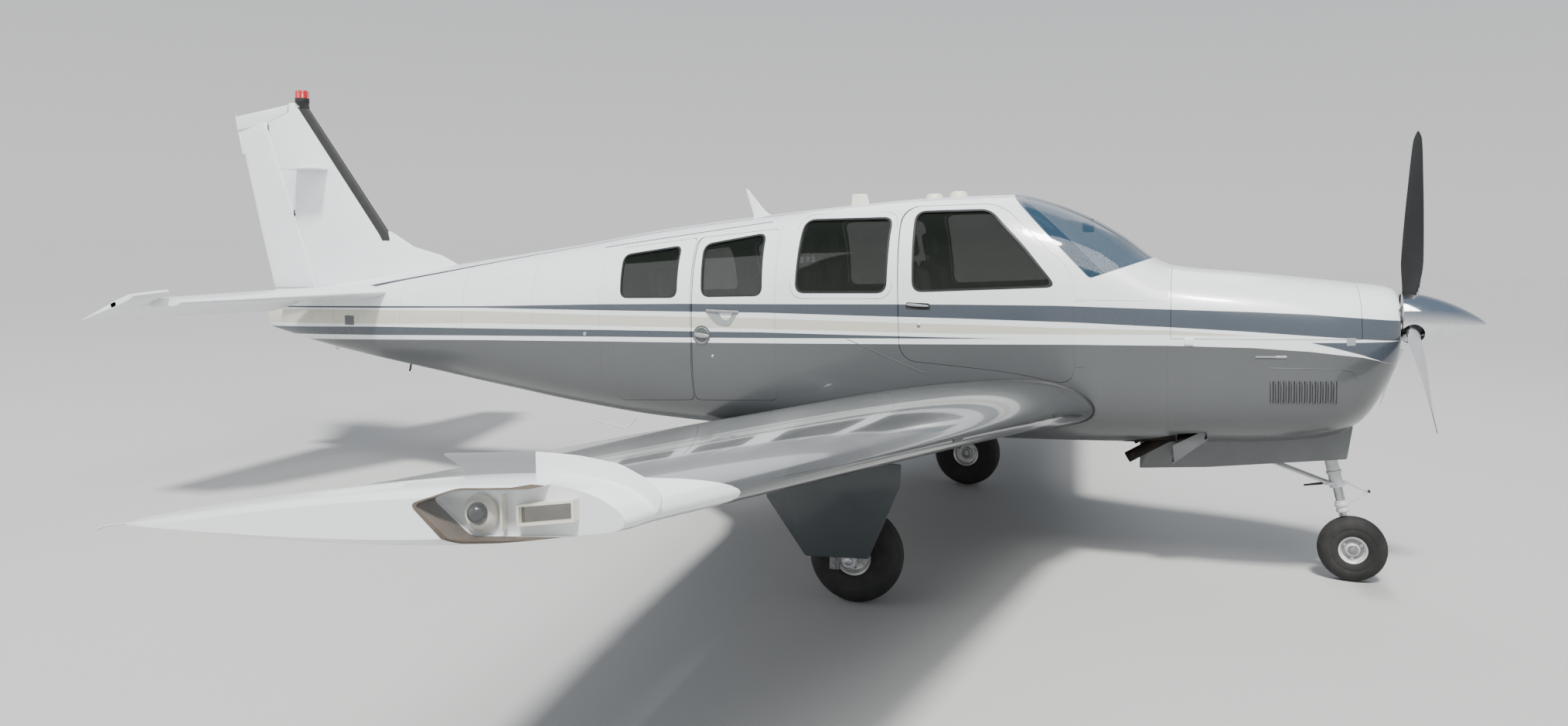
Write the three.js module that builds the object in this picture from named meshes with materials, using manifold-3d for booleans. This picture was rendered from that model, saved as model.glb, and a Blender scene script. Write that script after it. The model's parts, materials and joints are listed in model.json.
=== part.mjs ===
// Six-seat, single-engine, low-wing light aircraft, parked on its nose wheel and two main wheels.
// Millimetres, +X forward, +Y to the left wing tip, +Z up. The origin lies on the ground, half way
// between the spinner's tip and the rudder's trailing edge. The airframe is drawn level, in a group
// that is then turned nose up as it sits on its wheels, with the level frame's own origin on the
// ground below the main axle.
import * as THREE from "three";
import { mergeVertices } from "three/addons/utils/BufferGeometryUtils.js";
import Module from "manifold-3d";

const wasm = await Module();
wasm.setup();

// Driving dimensions of the whole machine
const SIT_ANGLE = THREE.MathUtils.degToRad(2.4);
const MAIN_AXLE_X = 1215;
const TRACK = 2925;
const WHEEL_BASE = 2396;
const MAIN_TYRE = { radius: 235, width: 176, rim: 88 };
const NOSE_TYRE = { radius: 176, width: 124, rim: 72 };
const SEAT_GAP = 0.3;
const PANEL_GAP = 2.5;
const RUNNING_GAP = 8;

// The body: stations along the level frame, each a rounded box of its own roundness above and below
// the widest line. The columns are x, half width, top, widest line, bottom, roundness up, roundness down.
const STATION_KEYS = ["x", "half", "top", "belt", "bottom", "up", "down"];
const BODY_STATIONS = [
  [-5015, 26, 1372, 1285, 1205, 2.0, 2.0],
  [-4570, 122, 1496, 1275, 1098, 2.1, 2.1],
  [-4000, 200, 1578, 1262, 992, 2.2, 2.2],
  [-3400, 285, 1652, 1255, 897, 2.3, 2.4],
  [-2800, 372, 1728, 1250, 806, 2.5, 2.7],
  [-2290, 440, 1793, 1250, 735, 2.7, 3.0],
  [-1630, 512, 1889, 1250, 668, 2.8, 3.3],
  [-1055, 555, 1951, 1250, 642, 2.9, 3.5],
  [-435, 580, 2007, 1250, 634, 3.0, 3.6],
  [110, 586, 2043, 1250, 632, 3.0, 3.6],
  [600, 582, 2051, 1248, 634, 3.0, 3.6],
  [800, 578, 2003, 1245, 636, 3.0, 3.6],
  [1000, 570, 1921, 1240, 638, 3.0, 3.6],
  [1200, 560, 1803, 1232, 641, 3.1, 3.5],
  [1370, 548, 1673, 1222, 645, 3.2, 3.4],
  [1455, 538, 1633, 1215, 648, 3.2, 3.3],
  [1900, 505, 1585, 1195, 664, 3.0, 3.1],
  [2250, 450, 1547, 1190, 700, 2.7, 2.9],
  [2420, 392, 1527, 1210, 782, 2.5, 2.6],
  [2540, 322, 1512, 1268, 955, 2.3, 2.3],
  [2600, 262, 1490, 1310, 1085, 2.1, 2.1],
].map((row) => Object.fromEntries(row.map((value, i) => [STATION_KEYS[i], value])));
const RING_POINTS = 24;
const CABIN_REAR = -1950;
const CABIN_SEAM = 978;
const FIREWALL = 1455;
const BOWL_FRONT = 2600;
const WALL = 42;
const TAIL_WALL = 16;
const COWL_WALL = 18;
const FLOOR_TOP = 748;
const SEAT_CLEARANCE = 8;
const GLASS = { inset: 5, thick: 8 };
const WINDSHIELD_THICK = 10;

const PAINT = {
  white: [0xe9ecef, 0.28, 0.0],
  grey: [0x6f757a, 0.35, 0.55],
  slate: [0x4a545e, 0.35, 0.2],
  glass: [0x2a3034, 0.08, 0.0],
  rubber: [0x141516, 0.85, 0.0],
  metal: [0xb9bdc0, 0.3, 0.9],
  black: [0x17181a, 0.5, 0.0],
  leather: [0x3a3836, 0.7, 0.0],
  red: [0xb0161a, 0.3, 0.0],
};

// A named paint as a three.js material.
function material([color, roughness, metalness]) {
  return new THREE.MeshStandardMaterial({ color, roughness, metalness });
}

// A closed geometry as a solid that can be joined and cut.
function solidOf(geometry) {
  const bare = geometry.clone();
  bare.deleteAttribute("normal");
  bare.deleteAttribute("uv");
  const merged = mergeVertices(bare, 1e-3);
  return new wasm.Manifold(
    new wasm.Mesh({
      numProp: 3,
      vertProperties: merged.attributes.position.array,
      triVerts: new Uint32Array(merged.index.array),
    }),
  );
}

// A solid back as a mesh with its name and paint.
function meshOf(name, solid, paint) {
  const made = solid.getMesh();
  const geometry = new THREE.BufferGeometry();
  geometry.setAttribute("position", new THREE.BufferAttribute(new Float32Array(made.vertProperties), 3));
  geometry.setIndex(new THREE.BufferAttribute(new Uint32Array(made.triVerts), 1));
  geometry.computeVertexNormals();
  const mesh = new THREE.Mesh(geometry, material(paint));
  mesh.name = name;
  return mesh;
}

// Several solids as one.
function joined(...solids) {
  return solids.reduce((sum, one) => sum.add(one));
}

// The largest body of a solid, without the slivers that a cut along a curved wall can leave.
function mainBody(solid) {
  return solid.decompose().reduce((best, one) => (one.volume() > best.volume() ? one : best));
}

// A closed body through rings of [x, y, z] points that all have the same count.
function loft(rings) {
  const count = rings[0].length;
  const points = rings.flat();
  const faces = [];
  for (let i = 0; i < rings.length - 1; i++) {
    for (let j = 0; j < count; j++) {
      const a = i * count + j;
      const b = i * count + ((j + 1) % count);
      faces.push([a, b, b + count], [a, b + count, a + count]);
    }
  }
  for (const [ring, turned] of [[0, true], [rings.length - 1, false]]) {
    const centre = points.length;
    const middle = [0, 1, 2].map((k) => rings[ring].reduce((sum, p) => sum + p[k], 0) / count);
    points.push(middle);
    for (let j = 0; j < count; j++) {
      const a = ring * count + j;
      const b = ring * count + ((j + 1) % count);
      faces.push(turned ? [centre, b, a] : [centre, a, b]);
    }
  }
  const vertProperties = new Float32Array(points.flat());
  const build = (list) => {
    const triVerts = new Uint32Array(list.flat());
    return new wasm.Manifold(new wasm.Mesh({ numProp: 3, vertProperties, triVerts }));
  };
  const first = build(faces);
  return first.volume() > 0 ? first : build(faces.map(([a, b, c]) => [a, c, b]));
}

// A closed outline through [u, v] corners, each rounded by the given radius.
function outline(corners, radius = 0) {
  const shape = new THREE.Shape();
  const points = corners.map(([u, v]) => new THREE.Vector2(u, v));
  points.forEach((corner, i) => {
    const before = points[(i + points.length - 1) % points.length];
    const after = points[(i + 1) % points.length];
    const reach = Math.min(radius, corner.distanceTo(before) / 2.01, corner.distanceTo(after) / 2.01);
    const start = corner.clone().add(before.clone().sub(corner).setLength(reach || 1e-6));
    const end = corner.clone().add(after.clone().sub(corner).setLength(reach || 1e-6));
    if (i === 0) shape.moveTo(reach ? start.x : corner.x, reach ? start.y : corner.y);
    else shape.lineTo(reach ? start.x : corner.x, reach ? start.y : corner.y);
    if (reach) shape.quadraticCurveTo(corner.x, corner.y, end.x, end.y);
  });
  return shape;
}

// The corners of a rectangle.
function rectangle(u0, v0, u1, v1) {
  return [[u0, v0], [u1, v0], [u1, v1], [u0, v1]];
}

// A shape given in (x, z), extruded across the body from y0 to y1.
function sidePrism(shape, y0, y1, curveSegments = 3) {
  const geometry = new THREE.ExtrudeGeometry(shape, { depth: y1 - y0, bevelEnabled: false, curveSegments });
  geometry.rotateX(Math.PI / 2);
  geometry.translate(0, y1, 0);
  return solidOf(geometry);
}

// A shape given in (x, y), extruded up from z0 to z1.
function planPrism(shape, z0, z1, curveSegments = 3) {
  const geometry = new THREE.ExtrudeGeometry(shape, { depth: z1 - z0, bevelEnabled: false, curveSegments });
  geometry.translate(0, 0, z0);
  return solidOf(geometry);
}

// A shape given in (y, z), extruded forward from x0 to x1.
function frontPrism(shape, x0, x1, curveSegments = 3) {
  const geometry = new THREE.ExtrudeGeometry(shape, { depth: x1 - x0, bevelEnabled: false, curveSegments });
  const [x, y, z] = [[1, 0, 0], [0, 1, 0], [0, 0, 1]].map((axis) => new THREE.Vector3(...axis));
  geometry.applyMatrix4(new THREE.Matrix4().makeBasis(y, z, x));
  geometry.translate(x0, 0, 0);
  return solidOf(geometry);
}

// A plain block between two corners.
function block(x0, y0, z0, x1, y1, z1) {
  const geometry = new THREE.BoxGeometry(x1 - x0, y1 - y0, z1 - z0);
  geometry.translate((x0 + x1) / 2, (y0 + y1) / 2, (z0 + z1) / 2);
  return solidOf(geometry);
}

// A round bar from one point to another, of one radius or tapering to a second.
function bar(from, to, radius, endRadius = radius, sides = 12) {
  const a = new THREE.Vector3(...from);
  const b = new THREE.Vector3(...to);
  const geometry = new THREE.CylinderGeometry(endRadius, radius, a.distanceTo(b), sides);
  geometry.applyQuaternion(
    new THREE.Quaternion().setFromUnitVectors(new THREE.Vector3(0, 1, 0), b.clone().sub(a).normalize()),
  );
  geometry.translate((a.x + b.x) / 2, (a.y + b.y) / 2, (a.z + b.z) / 2);
  return solidOf(geometry);
}

// The body's station at any x, straight between the rows of the table.
function stationAt(x) {
  const next = BODY_STATIONS.findIndex((row) => row.x >= x);
  if (next <= 0) return { ...BODY_STATIONS[0], x };
  const [a, b] = [BODY_STATIONS[next - 1], BODY_STATIONS[next]];
  const t = (x - a.x) / (b.x - a.x);
  const between = STATION_KEYS.map((key) => [key, a[key] + (b[key] - a[key]) * t]);
  return { ...Object.fromEntries(between), x };
}

// One ring of the body, moved in by a wall thickness.
function bodyRing(station, inset) {
  const ring = [];
  for (let k = 0; k < RING_POINTS; k++) {
    const angle = (2 * Math.PI * k) / RING_POINTS;
    const [c, s] = [Math.cos(angle), Math.sin(angle)];
    const up = s >= 0;
    const power = 2 / (up ? station.up : station.down);
    const rise = up ? station.top - station.belt : station.belt - station.bottom;
    const y = (station.half - inset) * Math.sign(c) * Math.abs(c) ** power;
    const z = station.belt + (rise - inset) * Math.sign(s) * Math.abs(s) ** power;
    ring.push([station.x, y, z]);
  }
  return ring;
}

// The body between two stations, moved in by a wall thickness.
function bodyLoft(x0, x1, inset = 0) {
  const between = BODY_STATIONS.filter((row) => row.x > x0 + 1 && row.x < x1 - 1);
  return loft([stationAt(x0), ...between, stationAt(x1)].map((station) => bodyRing(station, inset)));
}

// Camber and half thickness of the wing section, as shares of the chord, at a share u from its nose.
const CAMBER_POINT = 0.2025;
const CAMBER_SLOPE = 15.957;
const THICKNESS_TERMS = [-0.126, -0.3516, 0.2843, -0.1015];
function halfThickness(u, ratio) {
  const tail = THICKNESS_TERMS.reduce((sum, term, i) => sum + term * u ** (i + 1), 0);
  return 5 * ratio * (0.2969 * Math.sqrt(u) + tail);
}
function camber(u) {
  const m = CAMBER_POINT;
  if (u >= m) return (CAMBER_SLOPE / 6) * m ** 3 * (1 - u);
  return (CAMBER_SLOPE / 6) * (u ** 3 - 3 * m * u ** 2 + m ** 2 * (3 - m) * u);
}

const FOIL_STEPS = 8;
// A section's points as [back from the nose, up], for a chord, thickness ratio, incidence and camber share.
function foilPoints({ chord, ratio, incidence = 0, camberShare = 1 }) {
  const tilt = THREE.MathUtils.degToRad(incidence);
  const points = [];
  const add = (u, side) => {
    const along = u * chord;
    const up = (camber(u) * camberShare + side * Math.max(halfThickness(u, ratio), 0.0016)) * chord;
    points.push([along * Math.cos(tilt), up * Math.cos(tilt) - along * Math.sin(tilt)]);
  };
  for (let k = FOIL_STEPS; k >= 0; k--) add((1 - Math.cos((Math.PI * k) / FOIL_STEPS)) / 2, 1);
  for (let k = 1; k <= FOIL_STEPS; k++) add((1 - Math.cos((Math.PI * k) / FOIL_STEPS)) / 2, -1);
  return points;
}

// The wing, for the left side. The columns are y, nose x, nose z, chord, thickness ratio, incidence.
const WING_KEYS = ["y", "x", "z", "chord", "ratio", "incidence"];
const WING_ROWS = [
  [380, 1086, 846, 2400, 0.13, 4.8],
  [640, 1070, 868, 2170, 0.143, 4.6],
  [1000, 962, 904, 1940, 0.157, 4.5],
  [3000, 782, 1082, 1520, 0.14, 3.8],
  [4900, 612, 1252, 1060, 0.12, 3.2],
  [4990, 610, 1258, 1240, 0.105, 3.6],
  [5075, 588, 1262, 1200, 0.095, 3.8],
  [5105, 500, 1262, 1020, 0.08, 4.0],
];
const WING = WING_ROWS.map((row) => Object.fromEntries(row.map((value, i) => [WING_KEYS[i], value])));
// The wing's section at any y, straight between the rows of the table.
function wingAt(y) {
  const next = Math.max(1, WING.findIndex((row) => row.y >= y));
  const [a, b] = [WING[next - 1], WING[next]];
  const t = (y - a.y) / (b.y - a.y);
  return Object.fromEntries(WING_KEYS.map((key) => [key, a[key] + (b[key] - a[key]) * t]));
}
function wingRing(section) {
  return foilPoints(section).map(([back, up]) => [section.x - back, section.y, section.z + up]);
}

// The hinge line of a flap or aileron at y: its place, the nose radius there and the trailing edge.
const HINGE_SHARE = 0.76;
function hingeAt(y) {
  const s = wingAt(y);
  const tilt = THREE.MathUtils.degToRad(s.incidence);
  const level = camber(HINGE_SHARE) * s.chord * Math.cos(tilt) - HINGE_SHARE * s.chord * Math.sin(tilt);
  return {
    x: s.x - HINGE_SHARE * s.chord * Math.cos(tilt),
    z: s.z + level,
    radius: halfThickness(HINGE_SHARE, s.ratio) * s.chord,
    tailX: s.x - s.chord * Math.cos(tilt),
    tailZ: s.z - s.chord * Math.sin(tilt),
  };
}

const NOSE_STEPS = 6;
const TRAILING_EDGE = 3;
// A control surface's section: a round nose about the hinge, tapering to its trailing edge.
function controlPoints(hinge, radius, tail) {
  const points = [];
  for (let k = 0; k <= NOSE_STEPS; k++) {
    const angle = Math.PI / 2 - (Math.PI * k) / NOSE_STEPS;
    points.push([hinge[0] + radius * Math.cos(angle), hinge[1] + radius * Math.sin(angle)]);
  }
  points.push([tail[0], tail[1] - TRAILING_EDGE / 2], [tail[0], tail[1] + TRAILING_EDGE / 2]);
  return points;
}

// The bays of the flap and the aileron along the wing, from y0 to y1, and what moves in each.
const WING_SURFACES = [
  { name: "flap", y0: 700, y1: 2974 },
  { name: "aileron", y0: 2986, y1: 4850 },
];
const TRAIL = 400;
const END_GAP = 14;

// How far a hinge line runs forward and up for each millimetre outboard.
function hingeLean({ y0, y1 }) {
  const [a, b] = [hingeAt(y0), hingeAt(y1)];
  return { forward: (b.x - a.x) / (y1 - y0), up: (b.z - a.z) / (y1 - y0) };
}

// A flap or aileron of the left wing, its ends square to its hinge line.
function wingSurface({ y0, y1 }) {
  const lean = hingeLean({ y0, y1 });
  const rings = [y0 + END_GAP, y1 - END_GAP].map((y) => {
    const h = hingeAt(y);
    const tail = hingeAt(y + (h.x - h.tailX) * lean.forward);
    return controlPoints([h.x, h.z], h.radius, [tail.tailX, tail.tailZ]).map(([x, z]) => [
      x,
      y - (x - h.x) * lean.forward - (z - h.z) * lean.up,
      z,
    ]);
  });
  return loft(rings);
}

// The bay that such a surface turns in, open at the trailing edge.
function wingBay({ y0, y1 }) {
  const lean = hingeLean({ y0, y1 });
  const back = Math.min(hingeAt(y0).tailX, hingeAt(y1).tailX) - TRAIL;
  const [inner, outer] = [y0, y1].map((y) => {
    const h = hingeAt(y);
    const ahead = h.radius + RUNNING_GAP;
    return [[h.x + ahead, y - ahead * lean.forward], [back, y + (h.x - back) * lean.forward]];
  });
  return planPrism(outline([inner[0], outer[0], outer[1], inner[1]]), 400, 2000);
}

// The pins that carry a surface at its two ends, standing in the wing beside the bay.
const HINGE_PIN = { radius: 5, root: 5, reach: END_GAP - 2 * SEAT_GAP };
function hingePins({ y0, y1 }) {
  return [[y0, 1], [y1, -1]].map(([y, side]) => {
    const [root, tip] = [y - side * HINGE_PIN.root, y + side * HINGE_PIN.reach];
    const [a, b] = [hingeAt(root), hingeAt(tip)];
    return bar([a.x, root, a.z], [b.x, tip, b.z], HINGE_PIN.radius, HINGE_PIN.radius, 8);
  });
}

// The upright fence near the tip, wrapped round the nose of the wing.
const FENCE = { y: 4925, half: 2.5 };
const FENCE_CORNERS = [
  [112, 1349], [342, 1364], [440, 1361], [530, 1349], [592, 1322],
  [626, 1290], [618, 1256], [560, 1245], [180, 1280], [165, 1322],
];
function wingFence() {
  return sidePrism(outline(FENCE_CORNERS, 14), FENCE.y - FENCE.half, FENCE.y + FENCE.half, 2);
}

const MAIN_STRUT_Y = 1585;
const STRUT_WELL = { x0: -25, x1: 95, half: 60, top: 905 };
// The left wing with its tip, fence and hinge pins, cut clear of the body and of its two moving surfaces.
function wing(body) {
  let solid = loft(WING.map(wingRing));
  solid = solid.add(wingFence());
  for (const surface of WING_SURFACES) {
    solid = solid.subtract(wingBay(surface));
    solid = joined(solid, ...hingePins(surface));
  }
  const well = STRUT_WELL;
  solid = solid.subtract(
    block(well.x0, MAIN_STRUT_Y - well.half, 500, well.x1, MAIN_STRUT_Y + well.half, well.top),
  );
  return mainBody(solid.subtract(body));
}

function mirrored(solid) {
  return solid.mirror([0, 1, 0]);
}

// The side windows, as (x, z) corners and a corner radius. "panel" is what holds the right one.
const WINDOWS = [
  {
    name: "pilot",
    corners: [[92, 1500], [884, 1528], [698, 1762], [503, 1960], [78, 1957]],
    radius: 60,
    panel: "front_door",
  },
  {
    name: "second",
    corners: [[-612, 1492], [-62, 1494], [-52, 1925], [-597, 1922]],
    radius: 60,
    panel: "side",
  },
  {
    name: "third",
    corners: [[-1222, 1466], [-824, 1474], [-833, 1846], [-1238, 1782]],
    radius: 55,
    panel: "aft_door_front",
  },
  {
    name: "fourth",
    corners: [[-1795, 1455], [-1394, 1460], [-1397, 1776], [-1808, 1722]],
    radius: 50,
    panel: "aft_door_rear",
  },
];
// The doors of the right side, each hinged along the edge at x = "hinge". "free" is the top corner away
// from the hinge: the body curves in there, so the leaf is cut back by "ease" to swing clear.
const DOORS = [
  {
    name: "front_door",
    hinge: CABIN_SEAM,
    corners: [
      [14, 1112], [335, 1086], [650, 1056], [CABIN_SEAM, 990], [CABIN_SEAM, 1600], [560, 1995], [-8, 1988],
    ],
    radius: 110,
    free: 6,
    ease: 7,
  },
  {
    name: "aft_door_front",
    hinge: -745,
    corners: [[-1290, 830], [-745, 850], [-745, 1872], [-1290, 1825]],
    radius: 40,
    free: 3,
    ease: 6,
  },
  {
    name: "aft_door_rear",
    hinge: -1848,
    corners: [[-1848, 800], [-1295, 830], [-1295, 1825], [-1848, 1765]],
    radius: 40,
    free: 2,
    ease: -3,
  },
];
const DOOR_SKIN = 8;
const DOOR_STEP = 26;
const WINDSHIELD_CORNERS = [
  [1057, 1572], [1368, 1676], [1450, 1700], [1450, 2300], [560, 2300], [590, 2062], [655, 1991],
];
const ROOF_EDGE = [[-1960, 1790], [590, 2000], [720, 2000], [720, 2300], [-1960, 2300]];

// An outline moved in on all sides, for a panel that stands in an opening.
function shrunk(corners, gap) {
  const middle = [0, 1].map((k) => corners.reduce((sum, p) => sum + p[k], 0) / corners.length);
  return corners.map(([u, v], i) => {
    const before = corners[(i + corners.length - 1) % corners.length];
    const after = corners[(i + 1) % corners.length];
    const e1 = new THREE.Vector2(u - before[0], v - before[1]).normalize();
    const e2 = new THREE.Vector2(after[0] - u, after[1] - v).normalize();
    const inward = new THREE.Vector2().subVectors(e2, e1);
    const turn = e1.cross(e2);
    if (Math.abs(turn) < 1e-3) return [u, v + gap * Math.sign(middle[1] - v)];
    const step = inward.multiplyScalar(gap / Math.abs(turn)).multiplyScalar(turn > 0 ? 1 : -1);
    return [u + step.x, v + step.y];
  });
}

// The pane of one window: a slice of the wall, near its outside.
function pane(skinSlice, window, side) {
  const across = side < 0 ? [-900, 0] : [0, 900];
  const shape = outline(shrunk(window.corners, SEAT_GAP), window.radius);
  return mainBody(skinSlice.intersect(sidePrism(shape, ...across)));
}

// The cabin's walls, doors, windows and windshield, each a piece of one shell.
function cabin() {
  const outer = bodyLoft(CABIN_REAR, FIREWALL);
  const shell = outer.subtract(bodyLoft(CABIN_REAR - 100, FIREWALL - WALL, WALL));
  const behind = (inset) => bodyLoft(CABIN_REAR - 10, FIREWALL + 10, inset);
  const slice = bodyLoft(CABIN_REAR, FIREWALL, GLASS.inset).subtract(behind(GLASS.inset + GLASS.thick));
  const screen = outer.subtract(behind(WINDSHIELD_THICK));
  const parts = [];

  const windshieldHole = sidePrism(outline(WINDSHIELD_CORNERS, 20), -900, 900);
  const windshieldPane = sidePrism(outline(shrunk(WINDSHIELD_CORNERS, SEAT_GAP), 20), -900, 900);
  parts.push(meshOf("windshield", mainBody(screen.intersect(windshieldPane)), PAINT.glass));

  let walls = shell.subtract(windshieldHole);
  const skin = outer.subtract(behind(DOOR_SKIN));
  for (const door of DOORS) {
    walls = walls.subtract(sidePrism(outline(door.corners, door.radius), -900, 0));
    const seat = (PANEL_GAP - SEAT_GAP) * Math.sign(door.ease);
    const eased = door.corners.map(([x, z], i) => {
      if (x === door.hinge) return [x + seat, z];
      return [i === door.free ? x + door.ease : x, z];
    });
    let leaf = joined(
      skin.intersect(sidePrism(outline(shrunk(eased, PANEL_GAP), door.radius), -900, 0)),
      shell.intersect(sidePrism(outline(shrunk(door.corners, DOOR_STEP), door.radius), -900, 0)),
    );
    for (const window of WINDOWS.filter((one) => one.panel === door.name)) {
      leaf = leaf.subtract(sidePrism(outline(window.corners, window.radius), -900, 0));
    }
    parts.push(meshOf(door.name, mainBody(leaf), PAINT.white));
  }
  for (const window of WINDOWS) {
    walls = walls.subtract(sidePrism(outline(window.corners, window.radius), -900, 900));
    for (const [side, word] of [[-1, "right"], [1, "left"]]) {
      parts.push(meshOf(`glass_${window.name}_${word}`, pane(slice, window, side), PAINT.glass));
    }
  }
  const g = SEAT_GAP / 2;
  const [rear, seam] = [-2100, CABIN_SEAM];
  const floorCut = block(rear, -900, 400, seam, 900, FLOOR_TOP);
  const floorBlock = block(rear, -900, 400, seam - g, 900, FLOOR_TOP - g);
  const floorSlab = bodyLoft(CABIN_REAR, seam - 2 * g).intersect(floorBlock);
  parts.push(meshOf("cabin_floor", mainBody(floorSlab), PAINT.grey));

  const roofPrism = sidePrism(outline(ROOF_EDGE), -900, 900);
  const roofPiece = walls.intersect(sidePrism(outline(shrunk(ROOF_EDGE, SEAT_GAP)), -900, 900));
  parts.push(meshOf("cabin_roof", mainBody(joined(roofPiece, ...roofAntennas())), PAINT.white));

  const sides = walls.subtract(floorCut).subtract(roofPrism);
  const left = sides.intersect(block(rear, g, 400, seam - g, 900, 2400));
  const right = sides.intersect(block(rear, -900, 400, seam - g, -g, 2400));
  parts.push(meshOf("cabin_side_left", mainBody(left), PAINT.white));
  parts.push(meshOf("cabin_side_right", mainBody(right), PAINT.white));

  const front = walls.subtract(roofPrism).intersect(block(seam + g, -900, 400, FIREWALL, 900, 2400));
  parts.push(meshOf("forward_fuselage", mainBody(front), PAINT.white));
  return parts;
}

// The aerials that stand on the roof: a swept whip, a broad blade and two low domes.
const ROOF_AERIALS = [
  { x: -1018, length: 127, width: 10, height: 190, lean: -105, head: 26 },
  { x: -370, length: 120, width: 12, height: 80, lean: -5, head: 99 },
];
const ROOF_DOMES = [
  { x: 97, rise: 29 },
  { x: 247, rise: 37 },
];
const DOME = { foot: 55, head: 40, sunk: 12, sides: 14 };
function roofAntennas() {
  const blades = ROOF_AERIALS.map(({ x, length, width, height, lean, head }) => {
    const base = stationAt(x).top - 14;
    const foot = [[x - length / 2, base], [x + length / 2, base]];
    const tip = [[x + lean + head / 2, base + height], [x + lean - head / 2, base + height]];
    return sidePrism(outline([...foot, ...tip], 6), -width / 2, width / 2);
  });
  const domes = ROOF_DOMES.map(({ x, rise }) => {
    const roof = stationAt(x).top;
    return bar([x, 0, roof - DOME.sunk], [x, 0, roof + rise], DOME.foot, DOME.head, DOME.sides);
  });
  return [...blades, ...domes];
}

// The hollow tail cone behind the cabin, with a bore for the elevator's torque tube.
const ELEVATOR_HINGE = { x: -4420, z: 1472 };
const TORQUE_TUBE = 22;
const TUBE_SIDES = 24;
const TUBE_BEARING = 0.5;
const TUBE_CLEARANCE = 6;
// The bore for the torque tube, wider than the tube all round.
function tubeBore(clearance) {
  const [x, z] = [ELEVATOR_HINGE.x, ELEVATOR_HINGE.z];
  const radius = TORQUE_TUBE + clearance;
  return bar([x, -400, z], [x, 400, z], radius, radius, TUBE_SIDES);
}
function tailCone() {
  const outer = bodyLoft(-5015, CABIN_REAR - SEAT_GAP);
  const inner = bodyLoft(-4300, CABIN_REAR + 50, TAIL_WALL);
  return mainBody(outer.subtract(inner).subtract(tubeBore(TUBE_CLEARANCE)));
}

// The fin and rudder, as level sections from the root up: height, nose x, hinge x, trailing x, thickness.
const FIN_KEYS = ["z", "nose", "hinge", "tail", "thick"];
const FIN = [
  [1420, -3650, -4547, -4950, 92],
  [1700, -3830, -4645, -5024, 84],
  [1860, -3890, -4702, -5066, 80],
  [2831, -4615, -5046, -5300, 50],
].map((row) => Object.fromEntries(row.map((value, i) => [FIN_KEYS[i], value])));
const FIN_TOP = 2872;
const DORSAL = [[-3330, 1600], [-3360, 1700], [-3545, 1748], [-3700, 1790], [-3900, 1905], [-3960, 1600]];
const RUDDER_FOOT = 1500;
const RUDDER_CAP = 2735;
const HORN_HALF = 13;
const RUDDER_HORN_TOP = [[-5280, 2690], [-5297, 2796], [-4790, 2862]];
const RUDDER_HORN_FOOT = [[-4802, 2804], [-5020, 2726]];
function finAt(z) {
  const next = Math.max(1, FIN.findIndex((row) => row.z >= z));
  const last = next < 1 || z > FIN[FIN.length - 1].z ? FIN.length - 1 : next;
  const [a, b] = [FIN[last - 1], FIN[last]];
  const t = (z - a.z) / (b.z - a.z);
  return Object.fromEntries(FIN_KEYS.map((key) => [key, key === "z" ? z : a[key] + (b[key] - a[key]) * t]));
}
function finRing(row) {
  const chord = row.nose - row.tail;
  const points = foilPoints({ chord, ratio: row.thick / chord, camberShare: 0 });
  return points.map(([back, side]) => [row.nose - back, side, row.z]);
}
function rudderRadius(row) {
  const chord = row.nose - row.tail;
  return halfThickness((row.nose - row.hinge) / chord, row.thick / chord) * chord;
}
function rudder() {
  const levels = [RUDDER_FOOT, 1700, 1860, RUDDER_CAP];
  const rings = levels.map((z) => {
    const row = finAt(z);
    return controlPoints([row.hinge, 0], rudderRadius(row), [row.tail, 0]).map(([x, y]) => [x, y, z]);
  });
  const horn = sidePrism(outline([...RUDDER_HORN_TOP, ...RUDDER_HORN_FOOT], 10), -HORN_HALF, HORN_HALF);
  return joined(loft(rings), horn);
}
function fin(body) {
  const solid = loft([...FIN, finAt(FIN_TOP)].map(finRing));
  const dorsal = sidePrism(outline(DORSAL, 40), -24, 24);
  const rows = [RUDDER_FOOT - 12, FIN_TOP + 10].map((z) => finAt(z));
  const edge = rows.map((row) => [row.hinge + rudderRadius(row) + RUNNING_GAP, row.z]);
  const bay = sidePrism(outline([...edge, [-5600, FIN_TOP + 10], [-5600, RUDDER_FOOT - 12]]), -200, 200);
  const [footFront, footBack] = RUDDER_HORN_FOOT;
  const capFront = footFront[0] + 2 * RUNNING_GAP + HORN_HALF;
  const capSide = [[capFront, footFront[1] - 2], [capFront, 2960], [-5600, 2960]];
  const capBay = sidePrism(outline([...capSide, [footBack[0], footBack[1] - RUNNING_GAP]]), -200, 200);
  const whole = joined(solid, dorsal).subtract(bay).subtract(capBay);
  return mainBody(whole.subtract(tubeBore(TUBE_CLEARANCE)).subtract(body));
}
function beacon() {
  const base = finAt(FIN_TOP);
  const x = base.nose - 62;
  return joined(
    bar([x, 0, FIN_TOP + SEAT_GAP], [x, 0, FIN_TOP + 26], 34, 34, 16),
    bar([x, 0, FIN_TOP + 26], [x, 0, FIN_TOP + 86], 33, 27, 16),
  );
}

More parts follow.
